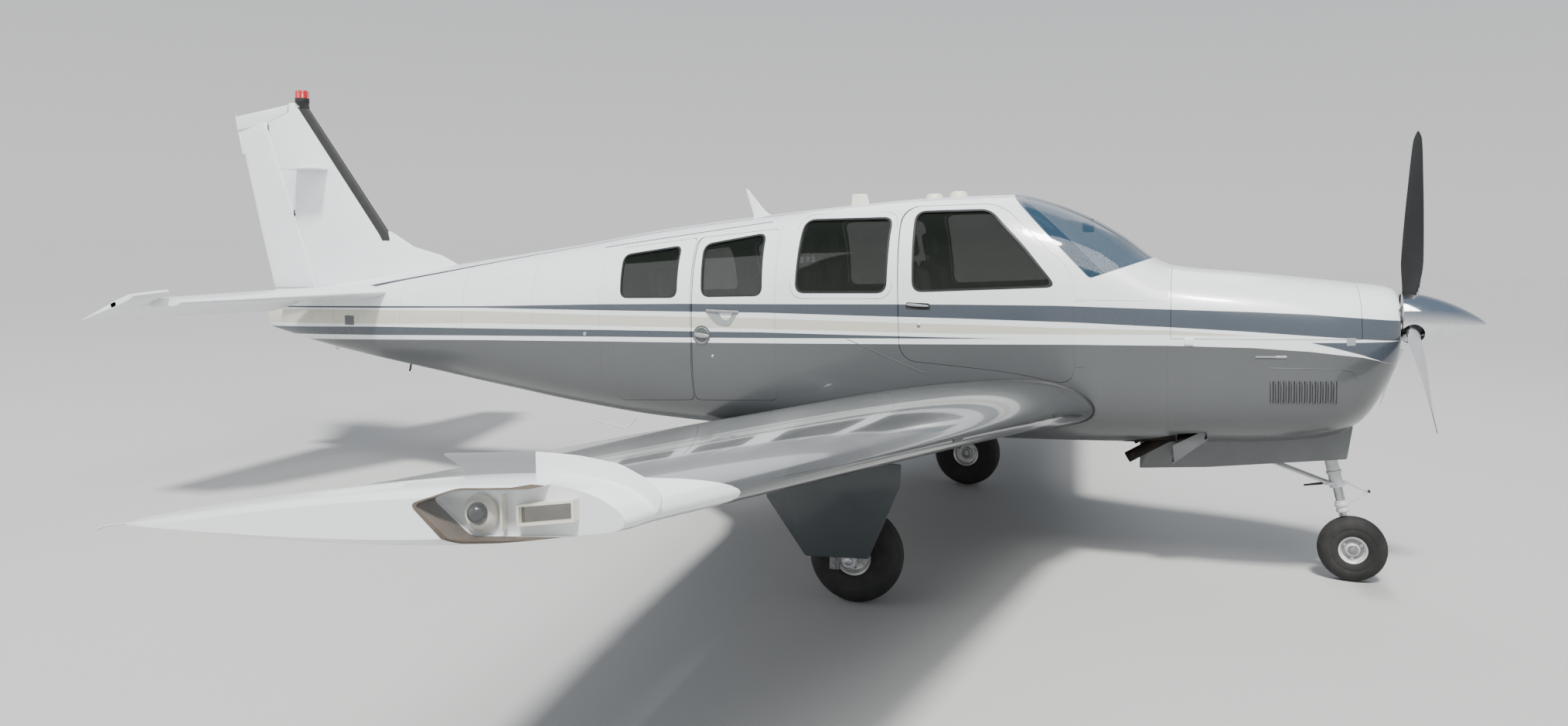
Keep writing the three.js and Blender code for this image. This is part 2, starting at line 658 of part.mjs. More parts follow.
// The tailplane, left side: places across with nose x, trailing x and thickness. Its hinge is straight.
const TAILPLANE = [
  { y: 60, nose: -3770, tail: -4836, thick: 96 },
  { y: 1790, nose: -4190, tail: -4716, thick: 48 },
  { y: 1855, nose: -4240, tail: -4706, thick: 30 },
];
const ELEVATOR_DROOP = THREE.MathUtils.degToRad(20);
const ELEVATOR_ROOT = 190;
const HORN = { y0: 1640, front: -4215 };
function tailplaneAt(y) {
  const next = Math.max(1, TAILPLANE.findIndex((row) => row.y >= y));
  const [a, b] = [TAILPLANE[next - 1], TAILPLANE[next]];
  const t = (y - a.y) / (b.y - a.y);
  return Object.fromEntries(Object.keys(a).map((key) => [key, a[key] + (b[key] - a[key]) * t]));
}
function tailplaneRing(row) {
  const chord = row.nose - row.tail;
  const points = foilPoints({ chord, ratio: row.thick / chord, camberShare: 0 });
  return points.map(([back, up]) => [row.nose - back, row.y, ELEVATOR_HINGE.z + up]);
}
function elevatorRadius(row) {
  const chord = row.nose - row.tail;
  return halfThickness((row.nose - ELEVATOR_HINGE.x) / chord, row.thick / chord) * chord;
}
function tailplane(body) {
  const solid = loft(TAILPLANE.map(tailplaneRing));
  const [inner, outer] = [tailplaneAt(ELEVATOR_ROOT), tailplaneAt(HORN.y0)];
  const bay = planPrism(
    outline([
      [ELEVATOR_HINGE.x + elevatorRadius(inner) + RUNNING_GAP, ELEVATOR_ROOT - RUNNING_GAP],
      [ELEVATOR_HINGE.x + elevatorRadius(outer) + RUNNING_GAP, HORN.y0 - RUNNING_GAP],
      [HORN.front + 90, HORN.y0 - RUNNING_GAP],
      [HORN.front + 90, 2000],
      [-5200, 2000],
      [-5200, ELEVATOR_ROOT - RUNNING_GAP],
    ]),
    1200, 1800,
  );
  return mainBody(solid.subtract(bay).subtract(tubeBore(TUBE_BEARING)).subtract(body));
}
// Both halves of the elevator on their torque tube, drawn in line and then hung down to the lower stop.
function elevator() {
  const rings = [ELEVATOR_ROOT, HORN.y0 - 1, 1855].map((y) => {
    const row = tailplaneAt(y);
    const hinge = [ELEVATOR_HINGE.x, ELEVATOR_HINGE.z];
    const section = controlPoints(hinge, elevatorRadius(row), [row.tail, ELEVATOR_HINGE.z]);
    return section.map(([x, z]) => [x, y, z]);
  });
  const hornRow = tailplaneAt(HORN.y0 + 60);
  const horn = loft(
    [HORN.y0 + 2, 1855].map((y) => {
      const row = tailplaneAt(y);
      const nose = HORN.front - (y - HORN.y0) * 0.24;
      const half = Math.min(elevatorRadius(hornRow), elevatorRadius(row) + 3);
      const upper = [[ELEVATOR_HINGE.x - 30, half], [nose - 40, half * 0.8], [nose, 2]];
      const lower = upper.map(([x, z]) => [x, -z]).reverse();
      return [...upper, ...lower].map(([x, z]) => [x, y, ELEVATOR_HINGE.z + z]);
    }),
  );
  const half = joined(loft(rings), horn);
  const [x, z, reach] = [ELEVATOR_HINGE.x, ELEVATOR_HINGE.z, ELEVATOR_ROOT + 5];
  const tube = bar([x, -reach, z], [x, reach, z], TORQUE_TUBE, TORQUE_TUBE, TUBE_SIDES);
  const level = joined(half, mirrored(half), tube);
  const droop = THREE.MathUtils.radToDeg(ELEVATOR_DROOP);
  return level
    .translate([-ELEVATOR_HINGE.x, 0, -ELEVATOR_HINGE.z])
    .rotate([0, -droop, 0])
    .translate([ELEVATOR_HINGE.x, 0, ELEVATOR_HINGE.z]);
}

// The cowl: a fixed lower half with its nose bowl, and two doors hinged along the top.
const COWL_SPLIT = 1252;
const COWL_HINGE_Y = 14;
const COWL_DOOR = { rear: 1470, front: 2400 };
const INLET = { y0: 165, y1: 262, z0: 1205, z1: 1405 };
const PROP_AXIS_Z = 1327;
const COWL_FLAPS = { hinge: 1640, tip: 1472, y0: 190, y1: 400 };
const NOSE_BAY = { front: 2395, half: 165, cut: 150 };
function cowl() {
  const outer = bodyLoft(FIREWALL + SEAT_GAP, BOWL_FRONT);
  const shell = outer.subtract(bodyLoft(FIREWALL - 10, BOWL_FRONT - COWL_WALL, COWL_WALL));
  const doorZone = (gap, hingeGap) =>
    planPrism(
      outline(rectangle(COWL_DOOR.rear + gap, COWL_HINGE_Y + hingeGap, COWL_DOOR.front - gap, 900)),
      COWL_SPLIT + gap, 2200,
    );
  const [hole, leaf] = [doorZone(0, 0), doorZone(PANEL_GAP, SEAT_GAP)];
  const doors = [
    meshOf("cowl_door_left", mainBody(shell.intersect(leaf)), PAINT.white),
    meshOf("cowl_door_right", mainBody(shell.intersect(mirrored(leaf))), PAINT.white),
  ];
  let fixed = shell.subtract(hole).subtract(mirrored(hole));
  const inlet = frontPrism(outline(rectangle(INLET.y0, INLET.z0, INLET.y1, INLET.z1), 45), 2400, 2800);
  fixed = fixed.subtract(inlet).subtract(mirrored(inlet));
  const shaftHole = PROP.hub + 14;
  fixed = fixed.subtract(bar([2400, 0, PROP_AXIS_Z], [2700, 0, PROP_AXIS_Z], shaftHole, shaftHole, 20));
  const bayCut = rectangle(1400, -NOSE_BAY.cut, NOSE_BAY.front, NOSE_BAY.cut);
  fixed = fixed.subtract(planPrism(outline(bayCut), 400, 800));
  const { hinge, tip, y0, y1 } = COWL_FLAPS;
  const flapHole = planPrism(outline(rectangle(tip + 30, y0, hinge, y1)), 500, 860);
  fixed = fixed.subtract(flapHole).subtract(mirrored(flapHole));
  const flapSide = outline([[hinge + 14, 700], [hinge + 14, 712], [tip, 566], [tip, 556]]);
  const flap = sidePrism(flapSide, y0 + 4, y1 - 4);
  fixed = mainBody(joined(fixed, flap, mirrored(flap)));
  return [...doors, meshOf("cowl_lower", fixed, PAINT.grey)];
}

// The engine as one block on two bearers that stand off the firewall.
const ENGINE = { x0: 1560, x1: 2290, half: 330, z0: 960, z1: 1400 };
const BEARER = { inner: 200, outer: 232, foot: 785, low: 880 };
function engine() {
  const side = [
    [FIREWALL + SEAT_GAP, BEARER.low], [2150, BEARER.low], [2180, BEARER.foot], [ENGINE.x1, BEARER.foot],
    [ENGINE.x1, BEARER.low], [ENGINE.x1, ENGINE.z0 + 10], [FIREWALL + SEAT_GAP, ENGINE.z0 + 10],
  ];
  const bearer = sidePrism(outline(side), BEARER.inner, BEARER.outer);
  const onShaft = (d) => [PROP.plane + d * Math.cos(SIT_ANGLE), 0, PROP_AXIS_Z - d * Math.sin(SIT_ANGLE)];
  const crankcase = bar(onShaft(ENGINE.x1 - PROP.plane - 12), onShaft(HUB_REAR - SEAT_GAP), 70, 58, 20);
  const main = block(ENGINE.x0, -ENGINE.half, ENGINE.z0, ENGINE.x1, ENGINE.half, ENGINE.z1);
  return joined(main, bearer, mirrored(bearer), crankcase);
}

// Seats: a cushion, a back and a headrest on a pedestal, from the cushion's rear x, its middle y and the
// way it faces.
const SEATS = [
  { name: "seat_front_left", x: 20, y: 265, way: 1 },
  { name: "seat_front_right", x: 20, y: -265, way: 1 },
  { name: "seat_middle_left", x: -660, y: 245, way: -1 },
  { name: "seat_middle_right", x: -660, y: -245, way: -1 },
];
function seat({ x, y, way }, half = 215) {
  const at = (a, b) => [Math.min(x + way * a, x + way * b), Math.max(x + way * a, x + way * b)];
  const [c0, c1] = at(0, 440);
  const back = [[0, 1120], [110, 1130], [40, 1690], [-50, 1690]].map(([u, z]) => [x + way * u, z]);
  const head = [[-30, 1680], [40, 1680], [10, 1850], [-62, 1850]].map(([u, z]) => [x + way * u, z]);
  const [p0, p1] = at(60, 380);
  return joined(
    sidePrism(outline(rectangle(c0, 1010, c1, 1140), 40), y - half, y + half),
    sidePrism(outline(back, 35), y - half, y + half),
    sidePrism(outline(head, 25), y - half * 0.6, y + half * 0.6),
    block(p0, y - half + 50, FLOOR_TOP + SEAT_GAP, p1, y + half - 50, 1020),
  );
}

// The instrument panel and its shelf, from wall to wall under the windshield.
function instrumentPanel(cavity) {
  const board = [[930, 1500], [930, 1190], [990, 1190], [990, 1480]];
  const shelf = [[1300, 1560], [1280, 1590], [900, 1545]];
  return mainBody(sidePrism(outline([...board, ...shelf], 12), -600, 600).intersect(cavity));
}

// The propeller: three right-handed blades in a hub on a shaft, and the spinner over it.
const HUB_REAR = -72;
const HUB_RIM_GAP = 0.8;
const PROP = { plane: 2672, radius: 1016, hub: 74, start: -0.055 };
const SPINNER = { base: 2622, tip: 3034, radius: 153, wall: 5 };
const BLADE_KEYS = ["r", "chord", "thick", "twist"];
const BLADE = [
  [60, 76, 64, 62],
  [170, 96, 44, 52],
  [330, 142, 27, 40],
  [560, 152, 18, 28],
  [800, 136, 12, 20],
  [960, 104, 9, 16],
  [1016, 48, 6, 15],
].map((row) => Object.fromEntries(row.map((value, i) => [BLADE_KEYS[i], value])));
function blade(turn) {
  const rings = BLADE.map(({ r, chord, thick, twist }) => {
    const angle = THREE.MathUtils.degToRad(twist);
    const ring = [];
    for (let k = 0; k < 10; k++) {
      const t = (2 * Math.PI * k) / 10;
      const [u, v] = [(chord / 2) * Math.cos(t), (thick / 2) * Math.sin(t)];
      ring.push([u * Math.sin(angle) + v * Math.cos(angle), v * Math.sin(angle) - u * Math.cos(angle), r]);
    }
    return ring;
  });
  return loft(rings).rotate([turn, 0, 0]);
}
// Built about its own centre with the shaft along +X.
function propeller() {
  const start = THREE.MathUtils.radToDeg(PROP.start);
  const blades = [0, 120, 240].map((turn) => blade(turn + start));
  return joined(bar([HUB_REAR, 0, 0], [60, 0, 0], PROP.hub, PROP.hub, 24), ...blades);
}
function spinner() {
  const [base, tip] = [SPINNER.base - PROP.plane, SPINNER.tip - PROP.plane];
  const steps = 7;
  const profile = [];
  for (let k = 0; k <= steps; k++) {
    const t = k / steps;
    profile.push([SPINNER.radius * (1 - t ** 1.75) ** 0.82, base + (tip - base) * t]);
  }
  const outer = profile.map(([r, x]) => new THREE.Vector2(Math.max(r, 0), x));
  outer[outer.length - 1].x = 0;
  const hollow = profile.slice(1, steps - 1).reverse();
  const inner = hollow.map(([r, x]) => new THREE.Vector2(r - SPINNER.wall, x));
  const rim = PROP.hub + HUB_RIM_GAP;
  const backPlate = [
    [SPINNER.radius - SPINNER.wall - 2, base + SPINNER.wall], [rim, base + SPINNER.wall], [rim, base],
  ].map(([r, x]) => new THREE.Vector2(r, x));
  const points = [...outer, new THREE.Vector2(0, inner[0].y), ...inner, ...backPlate, outer[0]];
  const geometry = new THREE.LatheGeometry(points, 24);
  geometry.rotateZ(-Math.PI / 2);
  let solid = solidOf(geometry);
  const start = THREE.MathUtils.radToDeg(PROP.start);
  for (const turn of [0, 120, 240]) {
    solid = solid.subtract(bar([0, 0, 80], [0, 0, 240], 58, 58, 12).rotate([turn + start, 0, 0]));
  }
  return mainBody(solid);
}

// A tyre on its rim, about its own centre with the axle along Y.
const AXLE = 18;
const AXLE_PIN = AXLE - 0.2;
const AXLE_SIDES = 24;
function wheel({ radius, width, rim }) {
  const w = width / 2;
  const hub = [[AXLE + SEAT_GAP, w * 0.66], [rim * 0.48, w * 0.66], [rim * 0.54, w * 0.34]];
  const edge = [[rim * 0.86, w * 0.34], [rim, w * 0.76]];
  const wall = radius - rim;
  const rubber = [[rim + wall * 0.4, w], [rim + wall * 0.8, w * 0.86], [radius, w * 0.34]];
  const half = [...hub, ...edge, ...rubber];
  const section = [...half.map(([r, y]) => [r, -y]), ...half.slice().reverse()];
  const points = section.map(([r, y]) => new THREE.Vector2(r, y));
  points.push(points[0].clone());
  return solidOf(new THREE.LatheGeometry(points, AXLE_SIDES));
}

// The left main leg, outboard of its wheel, in the ground frame with x = 0 at the axle.
const MAIN_WHEEL_Y = TRACK / 2;
const DOOR_Y = 1655;
const STRUT_TRUNNION = { z: 835, radius: 20 };
// The ground frame's x of a level frame's x, at a height above the ground.
function groundX(levelX, z) {
  return (levelX - z * Math.sin(SIT_ANGLE)) / Math.cos(SIT_ANGLE);
}
function mainStrut() {
  const { z, radius } = STRUT_TRUNNION;
  const reach = SEAT_GAP + radius * Math.sin(SIT_ANGLE);
  const [rear, front] = [groundX(STRUT_WELL.x0, z) + reach, groundX(STRUT_WELL.x1, z) - reach];
  const [y, w, axleZ] = [MAIN_STRUT_Y, MAIN_TYRE.width / 2, MAIN_TYRE.radius];
  return joined(
    bar([0, y, 430], [0, y, z + 30], 38, 38, 16),
    bar([rear, y, z], [front, y, z], radius, radius, 12),
    bar([0, y, 205], [0, y, 440], 25, 25, 12),
    bar([0, y + 30, axleZ], [0, MAIN_WHEEL_Y - w * 0.5, axleZ], AXLE_PIN, AXLE_PIN, AXLE_SIDES),
    bar([0, y + 26, axleZ], [0, y - 26, axleZ], 34, 34, 12),
    sidePrism(outline([[-20, 250], [-120, 355], [-104, 368], [-10, 280]], 5), y - 18, y + 18),
    sidePrism(outline([[-104, 352], [-120, 366], [-20, 470], [-8, 452]], 5), y - 16, y + 16),
  );
}
const MAIN_DOOR_CORNERS = [[-416, 520], [-204, 250], [112, 272], [259, 640], [259, 742], [-416, 742]];
const DOOR_ARMS = [{ z: 340, foot: 25.5 }, { z: 560, foot: 38.5 }];
function mainDoor() {
  const plate = sidePrism(outline(MAIN_DOOR_CORNERS, 12), DOOR_Y - 4, DOOR_Y + 4);
  const arms = DOOR_ARMS.map(({ z, foot }) => bar([0, MAIN_STRUT_Y + foot, z], [0, DOOR_Y, z], 10, 10, 8));
  return joined(plate, ...arms);
}

// The nose leg, in the ground frame with x = 0 at the main axle. It leans forward to the axle.
const NOSE_AXLE = [WHEEL_BASE, 0, NOSE_TYRE.radius];
const NOSE_LEAN = THREE.MathUtils.degToRad(15);
function onNoseLeg(distance) {
  return [NOSE_AXLE[0] - distance * Math.sin(NOSE_LEAN), 0, NOSE_AXLE[2] + distance * Math.cos(NOSE_LEAN)];
}
const NOSE_SPLIT = 420;
const NOSE_TRUNNION = 762;
function noseStrut() {
  const pivot = onNoseLeg(NOSE_TRUNNION);
  const half = BEARER.inner - SEAT_GAP;
  const brace = onNoseLeg(560);
  return joined(
    bar(onNoseLeg(NOSE_SPLIT + SEAT_GAP), onNoseLeg(NOSE_TRUNNION + 30), 34, 34, 14),
    bar(brace, [brace[0] - 330, 0, 640], 12, 12, 8),
    bar([pivot[0], -half, pivot[2]], [pivot[0], half, pivot[2]], 20, 20, 12),
  );
}
// The steered part of the nose leg. Its one arm is on the left, so the wheel shows whole from the right.
const NOSE_AXLE_END = 50;
function noseFork() {
  const w = NOSE_TYRE.width / 2;
  const arm = w + 22;
  const crown = onNoseLeg(NOSE_TYRE.radius + 46);
  const knee = [NOSE_AXLE[0] + 67, 0, 499];
  const [axleX, , axleZ] = NOSE_AXLE;
  return joined(
    bar(onNoseLeg(NOSE_TYRE.radius + 30), onNoseLeg(NOSE_SPLIT), 24, 24, 12),
    bar([crown[0], -28, crown[2]], [crown[0], arm + 12, crown[2]], 22, 20, 12),
    bar([crown[0], arm, crown[2]], [axleX, arm, axleZ], 17, 19, 12),
    bar([axleX, -NOSE_AXLE_END, axleZ], [axleX, arm + 12, axleZ], AXLE_PIN, AXLE_PIN, AXLE_SIDES),
    bar([crown[0], 0, crown[2]], knee, 11, 9, 8),
    bar(knee, onNoseLeg(NOSE_SPLIT - 30), 9, 11, 8),
  );
}
const NOSE_DOOR = [[1297, 491], [1650, 514], [2355, 593], [2385, 780], [1300, 700]];
function noseDoor() {
  return sidePrism(outline(NOSE_DOOR, 10), NOSE_BAY.half, NOSE_BAY.half + 8);
}

// Assembly
const root = new THREE.Group();
const airframe = new THREE.Group();
airframe.position.set(MAIN_AXLE_X, 0, 0);
airframe.rotation.y = -SIT_ANGLE;
const ground = new THREE.Group();
ground.position.set(MAIN_AXLE_X, 0, 0);
root.add(airframe, ground);

const bodyClear = bodyLoft(-5015, BOWL_FRONT, -SEAT_GAP * 2);
airframe.add(...cabin());
airframe.add(meshOf("tail_cone", tailCone(), PAINT.white));

const leftWing = wing(bodyClear);
airframe.add(meshOf("wing_left", leftWing, PAINT.grey));
airframe.add(meshOf("wing_right", mainBody(mirrored(leftWing).subtract(bodyClear)), PAINT.grey));
for (const surface of WING_SURFACES) {
  const solid = wingSurface(surface);
  airframe.add(meshOf(`${surface.name}_left`, solid, PAINT.grey));
  airframe.add(meshOf(`${surface.name}_right`, mirrored(solid), PAINT.grey));
}

airframe.add(meshOf("fin", fin(bodyClear), PAINT.white), meshOf("rudder", rudder(), PAINT.white));
airframe.add(meshOf("beacon", beacon(), PAINT.red));
const leftTailplane = tailplane(bodyClear);
airframe.add(meshOf("tailplane_left", leftTailplane, PAINT.white));
airframe.add(meshOf("tailplane_right", mainBody(mirrored(leftTailplane).subtract(bodyClear)), PAINT.white));
airframe.add(meshOf("elevator", elevator(), PAINT.white));

airframe.add(...cowl());
airframe.add(meshOf("engine_block", engine(), PAINT.metal));
const prop = new THREE.Group();
prop.position.set(PROP.plane, 0, PROP_AXIS_Z);
prop.rotation.y = SIT_ANGLE;
prop.add(meshOf("propeller", propeller(), PAINT.black), meshOf("spinner", spinner(), PAINT.metal));
airframe.add(prop);

const cavity = bodyLoft(CABIN_REAR, FIREWALL - WALL, WALL + SEAT_GAP);
const seatRoom = bodyLoft(CABIN_REAR, FIREWALL - WALL, WALL + SEAT_CLEARANCE);
for (const one of SEATS) {
  const cut = seat(one).intersect(seatRoom);
  airframe.add(meshOf(one.name, mainBody(cut), PAINT.leather));
}
const bench = seat({ x: -1640, y: 0, way: 1 }, 400).intersect(seatRoom);
airframe.add(meshOf("seat_rear", mainBody(bench), PAINT.leather));
airframe.add(meshOf("instrument_panel", instrumentPanel(cavity), PAINT.black));
const leftNoseDoor = noseDoor().subtract(bodyClear);
airframe.add(meshOf("nose_door_left", mainBody(leftNoseDoor), PAINT.grey));
airframe.add(meshOf("nose_door_right", mainBody(mirrored(leftNoseDoor).subtract(bodyClear)), PAINT.grey));

const leftStrut = mainStrut();
const leftDoor = mainDoor();
ground.add(meshOf("main_strut_left", leftStrut, PAINT.metal));
ground.add(meshOf("main_strut_right", mirrored(leftStrut), PAINT.metal));
ground.add(meshOf("main_door_left", leftDoor, PAINT.slate));
ground.add(meshOf("main_door_right", mirrored(leftDoor), PAINT.slate));
ground.add(meshOf("nose_strut", noseStrut(), PAINT.metal));
ground.add(meshOf("nose_fork", noseFork(), PAINT.metal));
const WHEELS = [
  { name: "main_wheel_left", tyre: MAIN_TYRE, at: [0, MAIN_WHEEL_Y, MAIN_TYRE.radius] },
  { name: "main_wheel_right", tyre: MAIN_TYRE, at: [0, -MAIN_WHEEL_Y, MAIN_TYRE.radius] },
  { name: "nose_wheel", tyre: NOSE_TYRE, at: NOSE_AXLE },
];
for (const { name, tyre, at } of WHEELS) {
  const mesh = meshOf(name, wheel(tyre), PAINT.rubber);
  mesh.position.set(...at);
  ground.add(mesh);
}

export default root;
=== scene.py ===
"""Six-seat low-wing light aircraft on its wheels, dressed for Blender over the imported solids.

Sizes are in millimetres in the frame each piece is drawn in, and Bench.done() sets the finished
mesh into the part's own frame in metres.
"""
from __future__ import annotations

import json
import logging
import math
from dataclasses import dataclass, field
from enum import Enum
from typing import Callable, Iterable, Sequence

import bpy
import numpy as np
from mathutils import Matrix, Vector

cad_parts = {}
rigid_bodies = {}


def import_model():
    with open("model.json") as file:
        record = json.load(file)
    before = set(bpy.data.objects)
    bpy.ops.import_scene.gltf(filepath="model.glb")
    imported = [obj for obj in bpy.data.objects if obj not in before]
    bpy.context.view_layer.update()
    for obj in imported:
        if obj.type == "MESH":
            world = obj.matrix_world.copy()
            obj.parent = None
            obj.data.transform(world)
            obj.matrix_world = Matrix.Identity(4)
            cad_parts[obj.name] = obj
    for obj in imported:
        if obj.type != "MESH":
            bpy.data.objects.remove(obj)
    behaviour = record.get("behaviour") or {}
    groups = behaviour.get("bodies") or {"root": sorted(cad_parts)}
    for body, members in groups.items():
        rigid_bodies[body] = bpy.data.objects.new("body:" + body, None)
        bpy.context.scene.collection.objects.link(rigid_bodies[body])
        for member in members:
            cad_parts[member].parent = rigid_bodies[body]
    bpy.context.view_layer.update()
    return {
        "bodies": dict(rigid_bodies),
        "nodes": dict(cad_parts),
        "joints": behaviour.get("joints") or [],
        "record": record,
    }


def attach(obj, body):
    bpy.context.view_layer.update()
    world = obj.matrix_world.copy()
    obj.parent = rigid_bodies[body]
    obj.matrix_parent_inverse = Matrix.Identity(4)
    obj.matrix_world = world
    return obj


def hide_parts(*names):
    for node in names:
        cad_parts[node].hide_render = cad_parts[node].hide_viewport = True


LOG = logging.getLogger("aircraft")
MM = 0.001
SIT = math.radians(2.4)
MAIN_AXLE = 1215.0
HUB = (2672.0, 0.0, 1327.0)

Point = Sequence[float]


class Place(Enum):
    """The frame that a piece is drawn in."""

    LEVEL = "airframe, level"
    GROUND = "ground, x from the main axle"
    SHAFT = "propeller, about its hub"


def place_matrix(place: Place) -> Matrix:
    """Turns drawing millimetres into the part's metres.

    Args:
        place: The frame that the piece is drawn in.

    Returns:
        The matrix to apply to the piece's mesh.
    """
    scale = Matrix.Scale(MM, 4)
    axle = Matrix.Translation((MAIN_AXLE, 0.0, 0.0))
    if place is Place.GROUND:
        return scale @ axle
    level = axle @ Matrix.Rotation(-SIT, 4, "Y")
    if place is Place.LEVEL:
        return scale @ level
    hub = level @ Vector(HUB)
    return scale @ Matrix.Translation(hub)


def monotone(xs: np.ndarray, ys: np.ndarray, x: np.ndarray) -> np.ndarray:
    """Smooth curve through points that never overshoots them.

    Args:
        xs: Places of the points, rising.
        ys: Values at the points.
        x: Where the curve is wanted.

    Returns:
        The curve's values.
    """
    h = np.diff(xs)
    slope = np.diff(ys) / h
    tangent = np.zeros(len(xs))
    tangent[0], tangent[-1] = slope[0], slope[-1]
    for i in range(1, len(xs) - 1):
        if slope[i - 1] * slope[i] > 0:
            w1, w2 = 2 * h[i] + h[i - 1], h[i] + 2 * h[i - 1]
            tangent[i] = (w1 + w2) / (w1 / slope[i - 1] + w2 / slope[i])
    i = np.clip(np.searchsorted(xs, x) - 1, 0, len(xs) - 2)
    t = (x - xs[i]) / h[i]
    a = (1 + 2 * t) * (1 - t) ** 2 * ys[i] + t * (1 - t) ** 2 * h[i] * tangent[i]
    b = t**2 * (3 - 2 * t) * ys[i + 1] + t**2 * (t - 1) * h[i] * tangent[i + 1]
    return a + b


def rounded(corners: Sequence[Point], radius: float, steps: int = 8) -> list[Point]:
    """Rounds the corners of an outline.

    Args:
        corners: The outline's corners.
        radius: How far from each corner the round starts.
        steps: Points on each round.

    Returns:
        The outline's points.
    """
    points = []
    count = len(corners)
    for i, corner in enumerate(corners):
        here = Vector(corner)
        before = Vector(corners[i - 1]) - here
        after = Vector(corners[(i + 1) % count]) - here
        reach = min(radius, before.length / 2.01, after.length / 2.01)
        start = here + before.normalized() * reach
        end = here + after.normalized() * reach
        for k in range(steps + 1):
            t = k / steps
            points.append(tuple((1 - t) ** 2 * start + 2 * t * (1 - t) * here + t * t * end))
    return points


def inset(corners: Sequence[Point], gap: float) -> list[Point]:
    """Moves an outline in on all sides.

    Args:
        corners: The outline's corners.
        gap: How far each side moves in; negative moves it out.

    Returns:
        The moved corners.
    """
    area = sum(
        a[0] * b[1] - b[0] * a[1] for a, b in zip(corners, [*corners[1:], corners[0]], strict=True)
    )
    turn = 1.0 if area > 0 else -1.0
    moved = []
    for i, corner in enumerate(corners):
        here = Vector(corner)
        d1 = (here - Vector(corners[i - 1])).normalized()
        d2 = (Vector(corners[(i + 1) % len(corners)]) - here).normalized()
        n1 = Vector((-d1.y, d1.x)) * turn
        n2 = Vector((-d2.y, d2.x)) * turn
        both = n1 + n2
        moved.append(tuple(here + both * (gap * 2 / max(both.length_squared, 0.2))))
    return moved


def box_corners(u0: float, v0: float, u1: float, v1: float) -> list[Point]:
    """The corners of a rectangle, as an outline."""
    return [(u0, v0), (u1, v0), (u1, v1), (u0, v1)]


